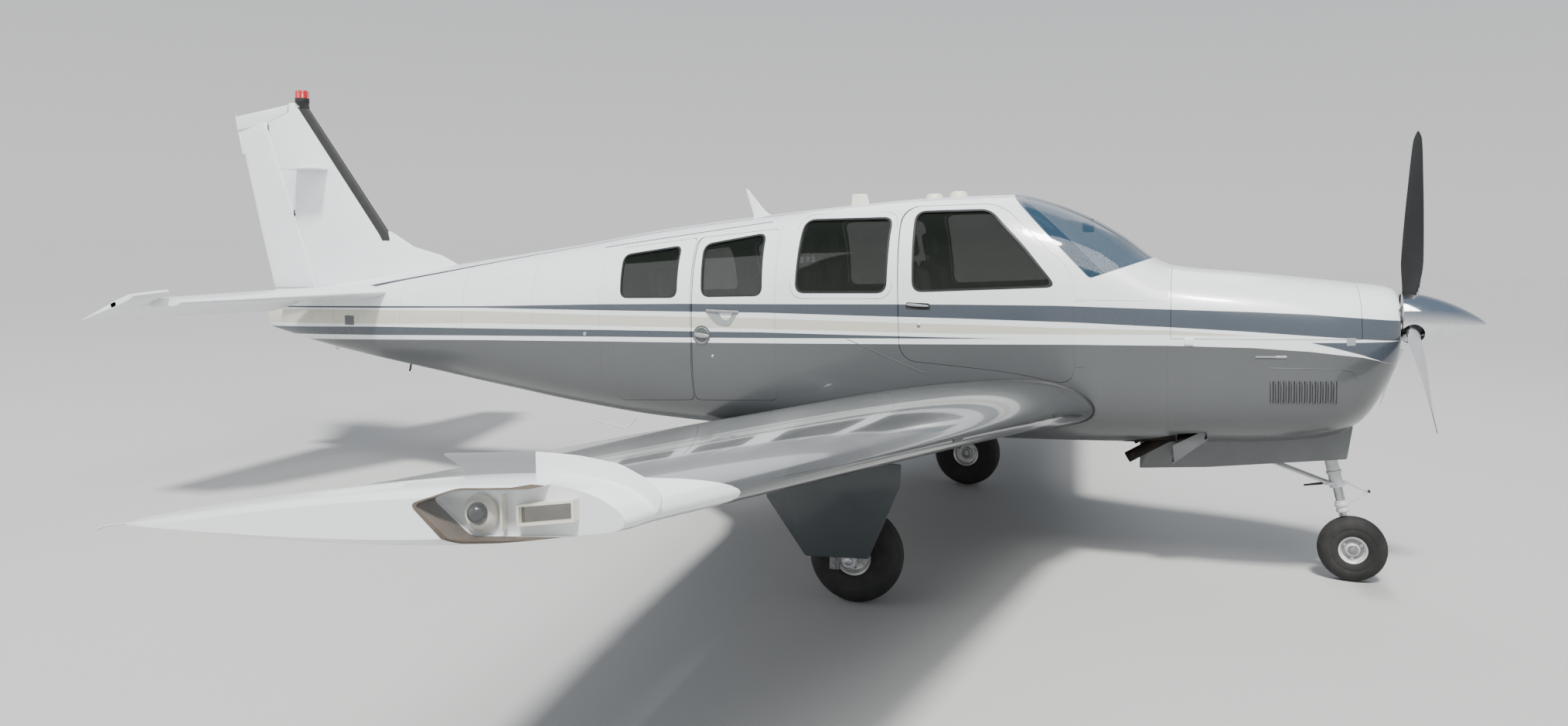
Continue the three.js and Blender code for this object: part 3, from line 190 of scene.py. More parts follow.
class Bench:
    """The modelling bench: primitives, edit-mode shaping and finishing, all through operators."""

    @staticmethod
    def clear() -> None:
        """Deselects everything."""
        bpy.ops.object.select_all(action="DESELECT")

    @staticmethod
    def only(piece: bpy.types.Object) -> None:
        """Selects one piece and makes it active.

        Args:
            piece: The piece.
        """
        Bench.clear()
        piece.select_set(True)
        bpy.context.view_layer.objects.active = piece

    @staticmethod
    def named(name: str) -> bpy.types.Object:
        """Gives the piece just added its name.

        Args:
            name: The name for the object and its mesh.

        Returns:
            The piece.
        """
        piece = bpy.context.object
        piece.name = name
        piece.data.name = name
        return piece

    @staticmethod
    def edit(piece: bpy.types.Object, *steps: Callable[[], object]) -> bpy.types.Object:
        """Runs edit-mode steps with the whole mesh selected.

        Args:
            piece: The mesh object to shape.
            *steps: What to run, in order.

        Returns:
            The same piece.
        """
        Bench.only(piece)
        bpy.ops.object.mode_set(mode="EDIT")
        bpy.ops.mesh.select_all(action="SELECT")
        for step in steps:
            step()
        bpy.ops.object.mode_set(mode="OBJECT")
        return piece

    @staticmethod
    def skin(
        name: str, rows: np.ndarray, around: bool = True, along: bool = False, caps: bool = True
    ) -> bpy.types.Object:
        """A grid primitive drawn out over rows of points, as a planked skin.

        Args:
            name: The piece's name.
            rows: Points as (rows, points in a row, 3).
            around: Whether each row closes on itself.
            along: Whether the last row meets the first.
            caps: Whether the open ends are filled.

        Returns:
            The skin.
        """
        rows = np.asarray(rows, dtype=float)
        if around:
            rows = np.concatenate([rows, rows[:, :1]], axis=1)
        if along:
            rows = np.concatenate([rows, rows[:1]], axis=0)
        nu, nv = rows.shape[:2]
        Bench.clear()
        bpy.ops.mesh.primitive_grid_add(x_subdivisions=nv - 1, y_subdivisions=nu - 1, size=1)
        piece = Bench.named(name)
        piece.data.vertices.foreach_set("co", rows.reshape(-1))
        piece.data.update()
        steps = [lambda: bpy.ops.mesh.remove_doubles(threshold=0.01)]
        steps.append(lambda: bpy.ops.mesh.dissolve_degenerate(threshold=0.005))
        if caps and not along:
            steps.append(lambda: bpy.ops.mesh.select_all(action="SELECT"))
            steps.append(lambda: bpy.ops.mesh.fill_holes(sides=0))
        steps.append(lambda: bpy.ops.mesh.select_all(action="SELECT"))
        steps.append(lambda: bpy.ops.mesh.normals_make_consistent(inside=False))
        return Bench.edit(piece, *steps)

    @staticmethod
    def plate(name: str, outline: Sequence[Point], axis: str, start: float) -> bpy.types.Object:
        """A flat face with a given outline.

        Args:
            name: The piece's name.
            outline: The outline's points in the plane.
            axis: The axis square to the plane: x takes (y, z), y takes (x, z), z takes (x, y).
            start: Where the plane lies on that axis.

        Returns:
            The face as a piece.
        """
        Bench.clear()
        bpy.ops.mesh.primitive_circle_add(vertices=len(outline), radius=1, fill_type="NGON")
        piece = Bench.named(name)
        at = {
            "x": lambda u, v: (start, u, v),
            "y": lambda u, v: (u, start, v),
            "z": lambda u, v: (u, v, start),
        }
        piece.data.vertices.foreach_set("co", [c for u, v in outline for c in at[axis](u, v)])
        piece.data.update()
        return piece

    @staticmethod
    def prism(
        name: str, outline: Sequence[Point], axis: str, start: float, end: float
    ) -> bpy.types.Object:
        """An outline extruded straight along an axis.

        Args:
            name: The piece's name.
            outline: The outline's points, as for plate().
            axis: The axis that it is extruded along.
            start: Where it starts.
            end: Where it ends.

        Returns:
            The prism.
        """
        piece = Bench.plate(name, outline, axis, start)
        way = {"x": (1, 0, 0), "y": (0, 1, 0), "z": (0, 0, 1)}[axis]
        move = {"value": tuple(c * (end - start) for c in way)}
        return Bench.edit(
            piece,
            lambda: bpy.ops.mesh.extrude_region_move(TRANSFORM_OT_translate=move),
            lambda: bpy.ops.mesh.select_all(action="SELECT"),
            lambda: bpy.ops.mesh.normals_make_consistent(inside=False),
        )

    @staticmethod
    def block(
        name: str, low: Point, high: Point, round_off: float = 0.0, segments: int = 3
    ) -> bpy.types.Object:
        """A block between two corners, with rounded edges.

        Args:
            name: The piece's name.
            low: The lowest corner.
            high: The highest corner.
            round_off: The edges' radius.
            segments: Steps in the round.

        Returns:
            The block.
        """
        Bench.clear()
        middle = [(a + b) / 2 for a, b in zip(low, high, strict=True)]
        bpy.ops.mesh.primitive_cube_add(size=1, location=middle)
        piece = Bench.named(name)
        piece.scale = [b - a for a, b in zip(low, high, strict=True)]
        bpy.ops.object.transform_apply(location=True, rotation=True, scale=True)
        if round_off:
            Bench.bevel(piece, round_off, segments, 1.0)
        return piece

    @staticmethod
    def rod(
        name: str, a: Point, b: Point, radius: float, end: float | None = None, sides: int = 32
    ) -> bpy.types.Object:
        """A round bar between two points.

        Args:
            name: The piece's name.
            a: Its first end.
            b: Its second end.
            radius: Its radius at a.
            end: Its radius at b, the same unless given.
            sides: Faces round it.

        Returns:
            The bar.
        """
        va, vb = Vector(a), Vector(b)
        turn = (vb - va).to_track_quat("Z", "Y").to_euler()
        Bench.clear()
        bpy.ops.mesh.primitive_cone_add(
            vertices=sides,
            radius1=radius,
            radius2=radius if end is None else end,
            depth=(vb - va).length,
            location=(va + vb) / 2,
            rotation=turn,
        )
        piece = Bench.named(name)
        bpy.ops.object.transform_apply(location=True, rotation=True, scale=True)
        return piece

    @staticmethod
    def ball(name: str, centre: Point, radii: Point, rings: int = 16) -> bpy.types.Object:
        """A round or drawn-out ball.

        Args:
            name: The piece's name.
            centre: Its middle.
            radii: Its half sizes.
            rings: Rings of faces.

        Returns:
            The ball.
        """
        Bench.clear()
        bpy.ops.mesh.primitive_uv_sphere_add(
            segments=rings * 2, ring_count=rings, radius=1, location=centre
        )
        piece = Bench.named(name)
        piece.scale = radii
        bpy.ops.object.transform_apply(location=True, rotation=True, scale=True)
        return piece

    @staticmethod
    def lathe(
        name: str, profile: Sequence[Point], centre: Point, axis: str, steps: int = 96
    ) -> bpy.types.Object:
        """A closed profile spun round an axis.

        Args:
            name: The piece's name.
            profile: Points as (distance along the axis, radius), closed.
            centre: A point on the axis, which the distances start from.
            axis: x, y or z.
            steps: Faces round it.

        Returns:
            The turned piece.
        """
        order = {"x": (0, 2, 1), "y": (1, 2, 0), "z": (2, 0, 1)}[axis]
        Bench.clear()
        bpy.ops.mesh.primitive_circle_add(vertices=len(profile), radius=1)
        piece = Bench.named(name)
        for vertex, (along, radius) in zip(piece.data.vertices, profile, strict=True):
            co = [centre[0], centre[1], centre[2]]
            co[order[0]] += along
            co[order[1]] += radius
            vertex.co = co
        way = {"x": (1, 0, 0), "y": (0, 1, 0), "z": (0, 0, 1)}[axis]
        return Bench.edit(
            piece,
            lambda: bpy.ops.mesh.spin(steps=steps, angle=2 * math.pi, center=centre, axis=way),
            lambda: bpy.ops.mesh.select_all(action="SELECT"),
            lambda: bpy.ops.mesh.remove_doubles(threshold=0.01),
            lambda: bpy.ops.mesh.dissolve_degenerate(threshold=0.005),
            lambda: bpy.ops.mesh.select_all(action="SELECT"),
            lambda: bpy.ops.mesh.normals_make_consistent(inside=False),
        )

    @staticmethod
    def pipe(
        name: str, points: Sequence[Point], radius: float, closed: bool = False, sides: int = 3
    ) -> bpy.types.Object:
        """A round line through points.

        Args:
            name: The piece's name.
            points: What the line runs through.
            radius: Its radius.
            closed: Whether it meets itself.
            sides: Bevel steps, where 3 gives ten faces round it.

        Returns:
            The line as a mesh.
        """
        curve = bpy.data.curves.new(name, "CURVE")
        curve.dimensions = "3D"
        curve.bevel_depth = radius
        curve.bevel_resolution = sides
        curve.use_fill_caps = not closed
        spline = curve.splines.new("POLY")
        spline.points.add(len(points) - 1)
        spline.use_cyclic_u = closed
        for point, co in zip(spline.points, points, strict=True):
            point.co = (*co, 1.0)
        piece = bpy.data.objects.new(name, curve)
        bpy.context.collection.objects.link(piece)
        Bench.only(piece)
        bpy.ops.object.convert(target="MESH")
        return Bench.named(name)

    @staticmethod
    def beam(name: str, stops: Sequence[Point], power: float = 4.0, count: int = 24) -> bpy.types.Object:
        """A bar of rounded-box section along a line, level across the aircraft.

        Args:
            name: The piece's name.
            stops: Rows of (x, y, z, half width across, half thickness).
            power: How square the section is, where 2 is an ellipse.
            count: Points round it.

        Returns:
            The bar.
        """
        table = np.array(stops, dtype=float)
        rows = []
        for i, stop in enumerate(table):
            ahead = table[min(i + 1, len(table) - 1)] - table[max(i - 1, 0)]
            length = math.hypot(ahead[0], ahead[2])
            across = (-ahead[2] / length, ahead[0] / length)
            ring = []
            for k in range(count):
                angle = 2 * math.pi * k / count
                c, s = math.cos(angle), math.sin(angle)
                u = stop[3] * math.copysign(abs(c) ** (2 / power), c)
                v = stop[4] * math.copysign(abs(s) ** (2 / power), s)
                ring.append((stop[0] + across[0] * v, stop[1] + u, stop[2] + across[1] * v))
            rows.append(ring)
        return Bench.skin(name, np.array(rows))

    @staticmethod
    def apply(piece: bpy.types.Object, kind: str, **settings: object) -> bpy.types.Object:
        """Adds a modifier, sets it and applies it.

        Args:
            piece: The mesh object.
            kind: The modifier's type.
            **settings: Its settings.

        Returns:
            The same piece.
        """
        Bench.only(piece)
        modifier = piece.modifiers.new(kind.title(), kind)
        for key, value in settings.items():
            setattr(modifier, key, value)
        bpy.ops.object.modifier_apply(modifier=modifier.name)
        return piece

    @staticmethod
    def bevel(
        piece: bpy.types.Object, width: float, segments: int = 3, angle: float = 0.6
    ) -> bpy.types.Object:
        """Rounds the edges that turn more than an angle.

        Args:
            piece: The piece.
            width: How wide the round is.
            segments: How many steps it has.
            angle: The least turn that is rounded, in radians.

        Returns:
            The same piece.
        """
        return Bench.apply(
            piece, "BEVEL", width=width, segments=segments, limit_method="ANGLE", angle_limit=angle
        )

    @staticmethod
    def cut(
        piece: bpy.types.Object,
        tool: bpy.types.Object,
        how: str = "DIFFERENCE",
        keep: bool = False,
        solver: str = "MANIFOLD",
    ) -> bpy.types.Object:
        """Cuts, joins or keeps what is common with another piece.

        Args:
            piece: What is shaped.
            tool: What it is shaped with.
            how: DIFFERENCE, UNION or INTERSECT.
            keep: Whether the tool stays for another use.
            solver: The boolean solver.

        Returns:
            The shaped piece.
        """
        Bench.apply(piece, "BOOLEAN", operation=how, object=tool, solver=solver)
        if not keep:
            Bench.bin(tool)
        return piece

    @staticmethod
    def bin(*pieces: bpy.types.Object) -> None:
        """Removes pieces and their meshes.

        Args:
            *pieces: What is removed.
        """
        for piece in pieces:
            mesh = piece.data
            bpy.data.objects.remove(piece, do_unlink=True)
            if mesh.users == 0 and isinstance(mesh, bpy.types.Mesh):
                bpy.data.meshes.remove(mesh)

    @staticmethod
    def copy(piece: bpy.types.Object, name: str) -> bpy.types.Object:
        """A copy of a piece with its own mesh.

        Args:
            piece: What is copied.
            name: The copy's name.

        Returns:
            The copy.
        """
        twin = piece.copy()
        twin.data = piece.data.copy()
        twin.name = name
        twin.data.name = name
        bpy.context.collection.objects.link(twin)
        return twin

    @staticmethod
    def moved(piece: bpy.types.Object, matrix: Matrix) -> bpy.types.Object:
        """Moves a piece's mesh and turns its faces back out if it was mirrored.

        Args:
            piece: The piece.
            matrix: Where it goes.

        Returns:
            The same piece.
        """
        piece.data.transform(matrix)
        if matrix.determinant() < 0:
            piece.data.flip_normals()
        piece.data.update()
        return piece

    @staticmethod
    def mirrored(piece: bpy.types.Object, name: str) -> bpy.types.Object:
        """A copy of a piece on the other side of the centreline."""
        return Bench.moved(Bench.copy(piece, name), Matrix.Scale(-1, 4, (0, 1, 0)))

    @staticmethod
    def joined(name: str, pieces: Iterable[bpy.types.Object]) -> bpy.types.Object:
        """Several pieces as one object, without cutting them.

        Args:
            name: The joined piece's name.
            pieces: What is joined.

        Returns:
            The joined piece.
        """
        group = list(pieces)
        Bench.only(group[0])
        for piece in group:
            piece.select_set(True)
        if len(group) > 1:
            bpy.ops.object.join()
        return Bench.named(name)

    @staticmethod
    def done(
        piece: bpy.types.Object,
        material: bpy.types.Material | Sequence[bpy.types.Material] | None,
        body: str = "airframe",
        slot: str | None = None,
        place: Place = Place.LEVEL,
        replaces: Sequence[str] = (),
        angle: float = 32.0,
    ) -> bpy.types.Object:
        """Sets a finished piece into the part: place, finish, shading, body and node.

        Args:
            piece: The piece.
            material: Its finish, or one for each material index, or None where it has them already.
            body: The body that it rides on.
            slot: Not used.
            place: The frame that it was drawn in.
            replaces: The CAD nodes that it stands for.
            angle: Edges that turn more than this, in degrees, stay sharp.

        Returns:
            The same piece.
        """
        Bench.moved(piece, place_matrix(place))
        if material is not None:
            several = [material] if isinstance(material, bpy.types.Material) else list(material)
            Bench.painted(piece, *several)
        Bench.only(piece)
        bpy.ops.object.shade_smooth_by_angle(angle=math.radians(angle))
        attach(piece, body)
        if replaces:
            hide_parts(*replaces)
        return piece

    @staticmethod
    def pair(
        piece: bpy.types.Object,
        name: str,
        material: bpy.types.Material | Sequence[bpy.types.Material] | None,
        body: str = "airframe",
        replaces: Sequence[str] = (),
        **settings: object,
    ) -> None:
        """Sets a left piece and its mirror image into the part.

        Args:
            piece: The left piece.
            name: Both pieces' name, with {} for the side.
            material: Their finish.
            body: The body that they ride on, with {} for the side where there are two.
            replaces: The CAD nodes that they stand for, with {} for the side.
            **settings: The rest, as for done().
        """
        twin = Bench.mirrored(piece, name.format("right"))
        for side, one in (("left", piece), ("right", twin)):
            one.name = name.format(side)
            one.data.name = one.name
            nodes = [node.format(side) for node in replaces]
            Bench.done(one, material, body=body.format(side), replaces=nodes, **settings)

    @staticmethod
    def painted(piece: bpy.types.Object, *materials: bpy.types.Material) -> bpy.types.Object:
        """Gives a piece its finishes before it is joined to others.

        Args:
            piece: The piece.
            *materials: Its finishes, in the order of its faces' indices.

        Returns:
            The same piece.
        """
        indices = [0] * len(piece.data.polygons)
        piece.data.polygons.foreach_get("material_index", indices)
        piece.data.materials.clear()
        for material in materials:
            piece.data.materials.append(material)
        piece.data.polygons.foreach_set("material_index", indices)
        return piece

    @staticmethod
    def tag(
        piece: bpy.types.Object, index: int, test: Callable[[Vector, Vector], bool] | None = None
    ) -> None:
        """Gives faces a material index.

        Args:
            piece: The piece.
            index: The index that the faces get.
            test: True for the faces wanted, from a face's middle and normal; all unless given.
        """
        while len(piece.data.materials) <= index:
            piece.data.materials.append(None)
        for face in piece.data.polygons:
            if test is None or test(face.center, face.normal):
                face.material_index = index


class Wire:
    """A socket that paint maths can be written with."""

    def __init__(self, graph: Graph, socket: bpy.types.NodeSocket) -> None:
        """Holds the socket and the graph that it belongs to."""
        self.graph = graph
        self.socket = socket

    def _with(self, operation: str, first: object, second: object = None) -> Wire:
        """A Math node on one or two values."""
        values = {0: first} if second is None else {0: first, 1: second}
        return self.graph.out("ShaderNodeMath", {"operation": operation}, values)

    def __add__(self, other: object) -> Wire:
        """Self plus other."""
        return self._with("ADD", self, other)

    __radd__ = __add__

    def __sub__(self, other: object) -> Wire:
        """Self minus other."""
        return self._with("SUBTRACT", self, other)

    def __rsub__(self, other: object) -> Wire:
        """Other minus self."""
        return self._with("SUBTRACT", other, self)

    def __mul__(self, other: object) -> Wire:
        """Self times other."""
        return self._with("MULTIPLY", self, other)

    __rmul__ = __mul__

    def __truediv__(self, other: object) -> Wire:
        """Self over other."""
        return self._with("DIVIDE", self, other)

    def __rtruediv__(self, other: object) -> Wire:
        """Other over self."""
        return self._with("DIVIDE", other, self)

    def __abs__(self) -> Wire:
        """Self without its sign."""
        return self._with("ABSOLUTE", self)

    def __mod__(self, other: object) -> Wire:
        """What is left of self over other, from 0 up."""
        return self._with("FLOORED_MODULO", self, other)

    def above(self, other: object) -> Wire:
        """One where self is more than other."""
        return self._with("GREATER_THAN", self, other)

    def below(self, other: object) -> Wire:
        """One where self is less than other."""
        return self._with("LESS_THAN", self, other)

    def most(self, other: object) -> Wire:
        """The larger of the two."""
        return self._with("MAXIMUM", self, other)

    def sine(self) -> Wire:
        """The sine of self."""
        return self._with("SINE", self)

    def step(self, low: float, high: float) -> Wire:
        """Zero below low and one above high, smooth between them."""
        values = {0: self, 1: low, 2: high, 3: 0.0, 4: 1.0}
        return self.graph.out("ShaderNodeMapRange", {"interpolation_type": "SMOOTHSTEP"}, values)

    def near(self, place: object, half: float, soft: float = 0.8) -> Wire:
        """One within half of a place, falling to zero over soft.

        Args:
            place: Where the band's middle is.
            half: Half of its width.
            soft: The width of its edge.

        Returns:
            The band's mask.
        """
        return 1 - abs(self - place).step(half, half + soft)

    def curve(self, points: Sequence[Point]) -> Wire:
        """Straight lines through points, as a function of self.

        Args:
            points: Rows of (self, value), rising in the first.

        Returns:
            The value.
        """
        xs = [p[0] for p in points]
        ys = [p[1] for p in points]
        low, high = min(ys), max(ys)
        span = max(high - low, 1e-6)
        node = self.graph.node("ShaderNodeFloatCurve", {}, {1: (self - xs[0]) / (xs[-1] - xs[0])})
        line = node.mapping.curves[0]
        for _ in range(len(points) - 2):
            line.points.new(0.5, 0.5)
        places = [((x - xs[0]) / (xs[-1] - xs[0]), (y - low) / span) for x, y in points]
        for handle, place in zip(line.points, places, strict=True):
            handle.location = place
            handle.handle_type = "VECTOR"
        node.mapping.update()
        return Wire(self.graph, node.outputs[0]) * span + low


class Graph:
    """One material's nodes."""

    def __init__(self, name: str) -> None:
        """Starts an empty material.

        Args:
            name: The material's name.
        """
        self.material = bpy.data.materials.new(name)
        self.material.use_nodes = True
        self.tree = self.material.node_tree
        self.tree.nodes.clear()
        self.exit = self.tree.nodes.new("ShaderNodeOutputMaterial")

    def node(self, kind: str, settings: dict[str, object], sockets: dict[object, object]) -> bpy.types.Node:
        """Adds a node.

        Args:
            kind: The node's type.
            settings: Its settings, which are set first.
            sockets: Its inputs by name or index, as values or wires.

        Returns:
            The node.
        """
        node = self.tree.nodes.new(kind)
        for key, value in settings.items():
            setattr(node, key, value)
        for key, value in sockets.items():
            if isinstance(value, Wire):
                self.tree.links.new(value.socket, node.inputs[key])
            else:
                node.inputs[key].default_value = value
        return node

    def out(
        self, kind: str, settings: dict[str, object], sockets: dict[object, object], pin: object = 0
    ) -> Wire:
        """Adds a node and returns one of its outputs as a wire."""
        return Wire(self, self.node(kind, settings, sockets).outputs[pin])

    def colour(self, factor: object, a: object, b: object, how: str = "MIX") -> Wire:
        """Mixes two colours.

        Args:
            factor: How much of b shows.
            a: The first colour or wire.
            b: The second colour or wire.
            how: The blend type.

        Returns:
            The mixed colour.
        """
        sockets = {0: factor}
        for key, value in ((6, a), (7, b)):
            sockets[key] = value if isinstance(value, Wire) else (*value, 1.0)
        return self.out("ShaderNodeMix", {"data_type": "RGBA", "blend_type": how}, sockets, 2)

    def at(self, place: Place = Place.LEVEL, turn: Point = (0, 0, 0), scale: float = 1000.0) -> Wire:
        """The point on the piece in drawing millimetres.

        Args:
            place: The frame to read it in.
            turn: A further turn in radians.
            scale: What metres are multiplied by.

        Returns:
            The point as a vector wire.
        """
        tilt = {Place.LEVEL: SIT, Place.GROUND: 0.0, Place.SHAFT: 0.0}[place]
        away = -(Matrix.Rotation(tilt, 3, "Y") @ (place_matrix(place).translation * scale))
        here = self.out("ShaderNodeTexCoord", {}, {}, "Object")
        sockets = {"Vector": here, "Location": away, "Rotation": (0, tilt, 0), "Scale": (scale,) * 3}
        where = self.out("ShaderNodeMapping", {}, sockets)
        if any(turn):
            where = self.out("ShaderNodeMapping", {}, {"Vector": where, "Rotation": turn})
        return where

    def xyz(self, where: Wire) -> tuple[Wire, Wire, Wire]:
        """A vector wire's three parts."""
        parts = self.node("ShaderNodeSeparateXYZ", {}, {0: where})
        return tuple(Wire(self, pin) for pin in parts.outputs)

    def noise(self, where: Wire, size: float, detail: float = 3.0, rough: float = 0.55) -> Wire:
        """Cloudy noise about a given size, from 0 to 1."""
        sockets = {"Vector": where, "Scale": 1.0 / size, "Detail": detail, "Roughness": rough}
        return self.out("ShaderNodeTexNoise", {}, sockets)

    def stretch(self, where: Wire, scale: Point) -> Wire:
        """A vector wire scaled on each axis."""
        return self.out("ShaderNodeMapping", {}, {"Vector": where, "Scale": scale})

    def bump(self, height: Wire, strength: float = 0.3, distance: float = 0.001) -> Wire:
        """A bump from a height wire."""
        return self.out("ShaderNodeBump", {}, {0: strength, 1: distance, 3: height})

    def surface(self, **sockets: object) -> bpy.types.Node:
        """Adds the shader and joins it to the exit.

        Args:
            **sockets: The shader's inputs, with _ for spaces in their names.

        Returns:
            The shader node.
        """
        named = {}
        for key, value in sockets.items():
            tuple_colour = isinstance(value, tuple) and len(value) == 3
            named[key.replace("_", " ")] = (*value, 1.0) if tuple_colour else value
        shader = self.node("ShaderNodeBsdfPrincipled", {}, named)
        self.tree.links.new(shader.outputs[0], self.exit.inputs[0])
        return shader


WHITE = (0.79, 0.81, 0.83)
SLATE = (0.048, 0.060, 0.075)
STONE = (0.56, 0.55, 0.47)
PEWTER = (0.092, 0.098, 0.102)


@dataclass(frozen=True)
class Livery:
    """The body's paint: white above, dark bands and a stone strip on the side, pewter below."""

    upper_top: tuple = (
        (-5020, 1360), (-3891, 1374), (-2909, 1388), (-1932, 1413), (-1362, 1422), (-93, 1429),
        (358, 1430), (852, 1427), (982, 1424), (1457, 1408), (1874, 1395), (2152, 1382), (2620, 1340),
    )
    upper_low: tuple = (
        (-5020, 1350), (-3889, 1361), (-2908, 1376), (-1931, 1374), (-834, 1374), (-93, 1360),
        (358, 1352), (982, 1336), (1458, 1314), (1873, 1292), (2150, 1272), (2560, 1241),
    )
    stone_top: tuple = (
        (-5020, 1338), (-3888, 1347), (-2907, 1355), (-1931, 1345), (-884, 1342), (-94, 1327),
        (358, 1319), (982, 1305), (1458, 1297), (1750, 1280), (2150, 1255),
    )
    stone_low: tuple = (
        (-5020, 1236), (-3887, 1248), (-2907, 1274), (-1932, 1277), (-885, 1278), (-94, 1271),
        (358, 1268), (982, 1271), (1458, 1273), (1900, 1268), (2150, 1258),
    )
    lower_top: tuple = (
        (-5020, 1206), (-3888, 1229), (-2908, 1239), (-1933, 1252), (-835, 1258), (-94, 1250),
        (358, 1246), (715, 1243), (2600, 1200),
    )
    lower_low: tuple = (
        (-5020, 1150), (-3897, 1168), (-2910, 1190), (-1934, 1208), (-836, 1223), (-95, 1234),
        (358, 1240), (715, 1244), (2600, 1240),
    )
    pewter_top: tuple = (
        (-5020, 1110), (-3906, 1136), (-2912, 1161), (-1935, 1179), (-836, 1193), (358, 1209),
        (982, 1217), (1458, 1217), (1873, 1210), (2151, 1192), (2400, 1161), (2494, 1137), (2620, 1100),
    )
    wedge_top: tuple = ((2140, 1238), (2544, 1237), (2620, 1240))
    wedge_low: tuple = ((2140, 1240), (2250, 1214), (2400, 1172), (2490, 1139), (2620, 1100))
    roof_line: tuple = ((-4100, 132), (-2911, 180), (-1600, 228), (-500, 250), (640, 244), (700, 240))
    roof_line_half: float = 6.0

    def paint(self, graph: Graph) -> dict[str, Wire]:
        """Lays the colours of the body's side.

        Args:
            graph: The material's nodes.

        Returns:
            The colour, the share of pewter and the point's parts, by name.
        """
        where = graph.at()
        x, y, z = graph.xyz(where)
        soft = 1.2

        def over(points: tuple) -> Wire:
            """How far a point lies above an edge, as a mask."""
            return (z - x.curve(points)).step(-soft, soft)

        upper = over(self.upper_low) * (1 - over(self.upper_top))
        stone = over(self.stone_low) * (1 - over(self.stone_top)) * (1 - x.step(1650, 2150))
        lower = over(self.lower_low) * (1 - over(self.lower_top)) * (1 - x.step(712, 716))
        pewter = 1 - over(self.pewter_top)
        wedge = over(self.wedge_low) * (1 - over(self.wedge_top)) * x.step(2146, 2150)
        line = abs(y).near(x.curve(self.roof_line), self.roof_line_half, 2.5)
        line = line * x.above(-4100) * x.below(700) * z.above(1460)
        dark = upper.most(lower).most(wedge).most(line)
        grime = graph.noise(where, 420, 4).step(0.35, 0.8)
        white = graph.colour(grime * 0.22, WHITE, (0.70, 0.72, 0.73))
        colour = graph.colour(stone, white, STONE)
        fleck = graph.noise(where, 3.0, 2).step(0.3, 0.8)
        grey = graph.colour(fleck * 0.35, PEWTER, (0.135, 0.143, 0.149))
        grey = graph.colour(graph.noise(where, 300, 3).step(0.3, 0.9) * 0.3, grey, (0.12, 0.13, 0.135))
        colour = graph.colour(pewter, colour, grey)
        slate = graph.colour(graph.noise(where, 260, 4) * 0.5, SLATE, (0.066, 0.080, 0.098))
        colour = graph.colour(dark, colour, slate)
        return {
            "colour": colour, "pewter": pewter * (1 - dark), "dark": dark,
            "x": x, "z": z, "where": where,
        }


@dataclass(frozen=True)
class BodyPaint:
    """The livery on sheet metal with its laps, rivets and small wear."""

    name: str
    laps_x: tuple = ()
    laps_z: tuple = ()
    rivets_x: tuple = ()
    seams: tuple = ()
    livery: Livery = Livery()

    def build(self) -> bpy.types.Material:
        """Makes the material.

        Returns:
            The painted sheet's material.
        """
        graph = Graph(self.name)
        coat = self.livery.paint(graph)
        x, z, where = coat["x"], coat["z"], coat["where"]
        groove = x.below(-99999)
        for place, low, high in self.laps_x:
            groove = groove.most(x.near(place, 0.9, 1.0) * z.above(low) * z.below(high))
        for points in self.laps_z:
            inside = x.above(points[0][0]) * x.below(points[-1][0])
            groove = groove.most(z.near(x.curve(points), 0.9, 1.0) * inside)
        heads = x.below(-99999)
        for place, low, high in self.rivets_x:
            pitch = abs((z % 26.0) - 13.0).step(1.6, 2.6)
            heads = heads.most((1 - pitch) * x.near(place, 1.6, 1.0) * z.above(low) * z.below(high))
        for points in self.seams:
            inside = x.above(points[0][0]) * x.below(points[-1][0])
            pitch = abs((x % 26.0) - 13.0).step(1.6, 2.6)
            heads = heads.most((1 - pitch) * z.near(x.curve(points), 1.6, 1.0) * inside)
        waves = graph.noise(where, 380, 2) * 0.35
        height = waves - groove * 0.8 + heads * 0.5 + graph.noise(where, 9, 2) * 0.012
        colour = graph.colour(groove * 0.55, coat["colour"], (0.10, 0.10, 0.105))
        colour = graph.colour(heads * 0.16, colour, (0.30, 0.31, 0.32))
        rough = 0.22 + graph.noise(where, 160, 4) * 0.12 + coat["pewter"] * 0.08
        graph.surface(
            Base_Color=colour,
            Metallic=coat["pewter"] * 0.35,
            Roughness=rough,
            Coat_Weight=0.5,
            Coat_Roughness=0.08,
            Normal=graph.bump(height, 0.25, 0.0016),
        )
        return graph.material


@dataclass(frozen=True)
class SheetPaint:
    """Plain paint on sheet metal, with a little grime, orange peel and rivet rows across it."""

    name: str
    colour: Point = WHITE
    second: Point = (0.70, 0.72, 0.73)
    metallic: float = 0.0
    rough: float = 0.25
    grime: float = 250.0
    coat: float = 0.4
    ribs: float = 0.0
    rib_axis: int = 1

    def build(self) -> bpy.types.Material:
        """Makes the material.

        Returns:
            The painted sheet's material.
        """
        graph = Graph(self.name)
        where = graph.at()
        parts = graph.xyz(where)
        patches = graph.noise(where, self.grime, 5)
        colour = graph.colour(patches.step(0.35, 0.8) * 0.45, self.colour, self.second)
        height = graph.noise(where, self.grime * 1.4, 2) * 0.3 + graph.noise(where, 8, 2) * 0.012
        if self.ribs:
            across = parts[self.rib_axis]
            along = parts[0 if self.rib_axis else 1]
            row = 1 - abs((across % self.ribs) - self.ribs / 2).step(1.4, 2.4)
            pitch = 1 - abs((along % 28.0) - 14.0).step(1.5, 2.4)
            heads = row * pitch
            height = height + heads * 0.4
            colour = graph.colour(heads * 0.2, colour, (0.28, 0.29, 0.30))
        graph.surface(
            Base_Color=colour,
            Metallic=self.metallic,
            Roughness=self.rough + patches * 0.12,
            Coat_Weight=self.coat,
            Coat_Roughness=0.08,
            Normal=graph.bump(height, 0.25, 0.0014),
        )
        return graph.material


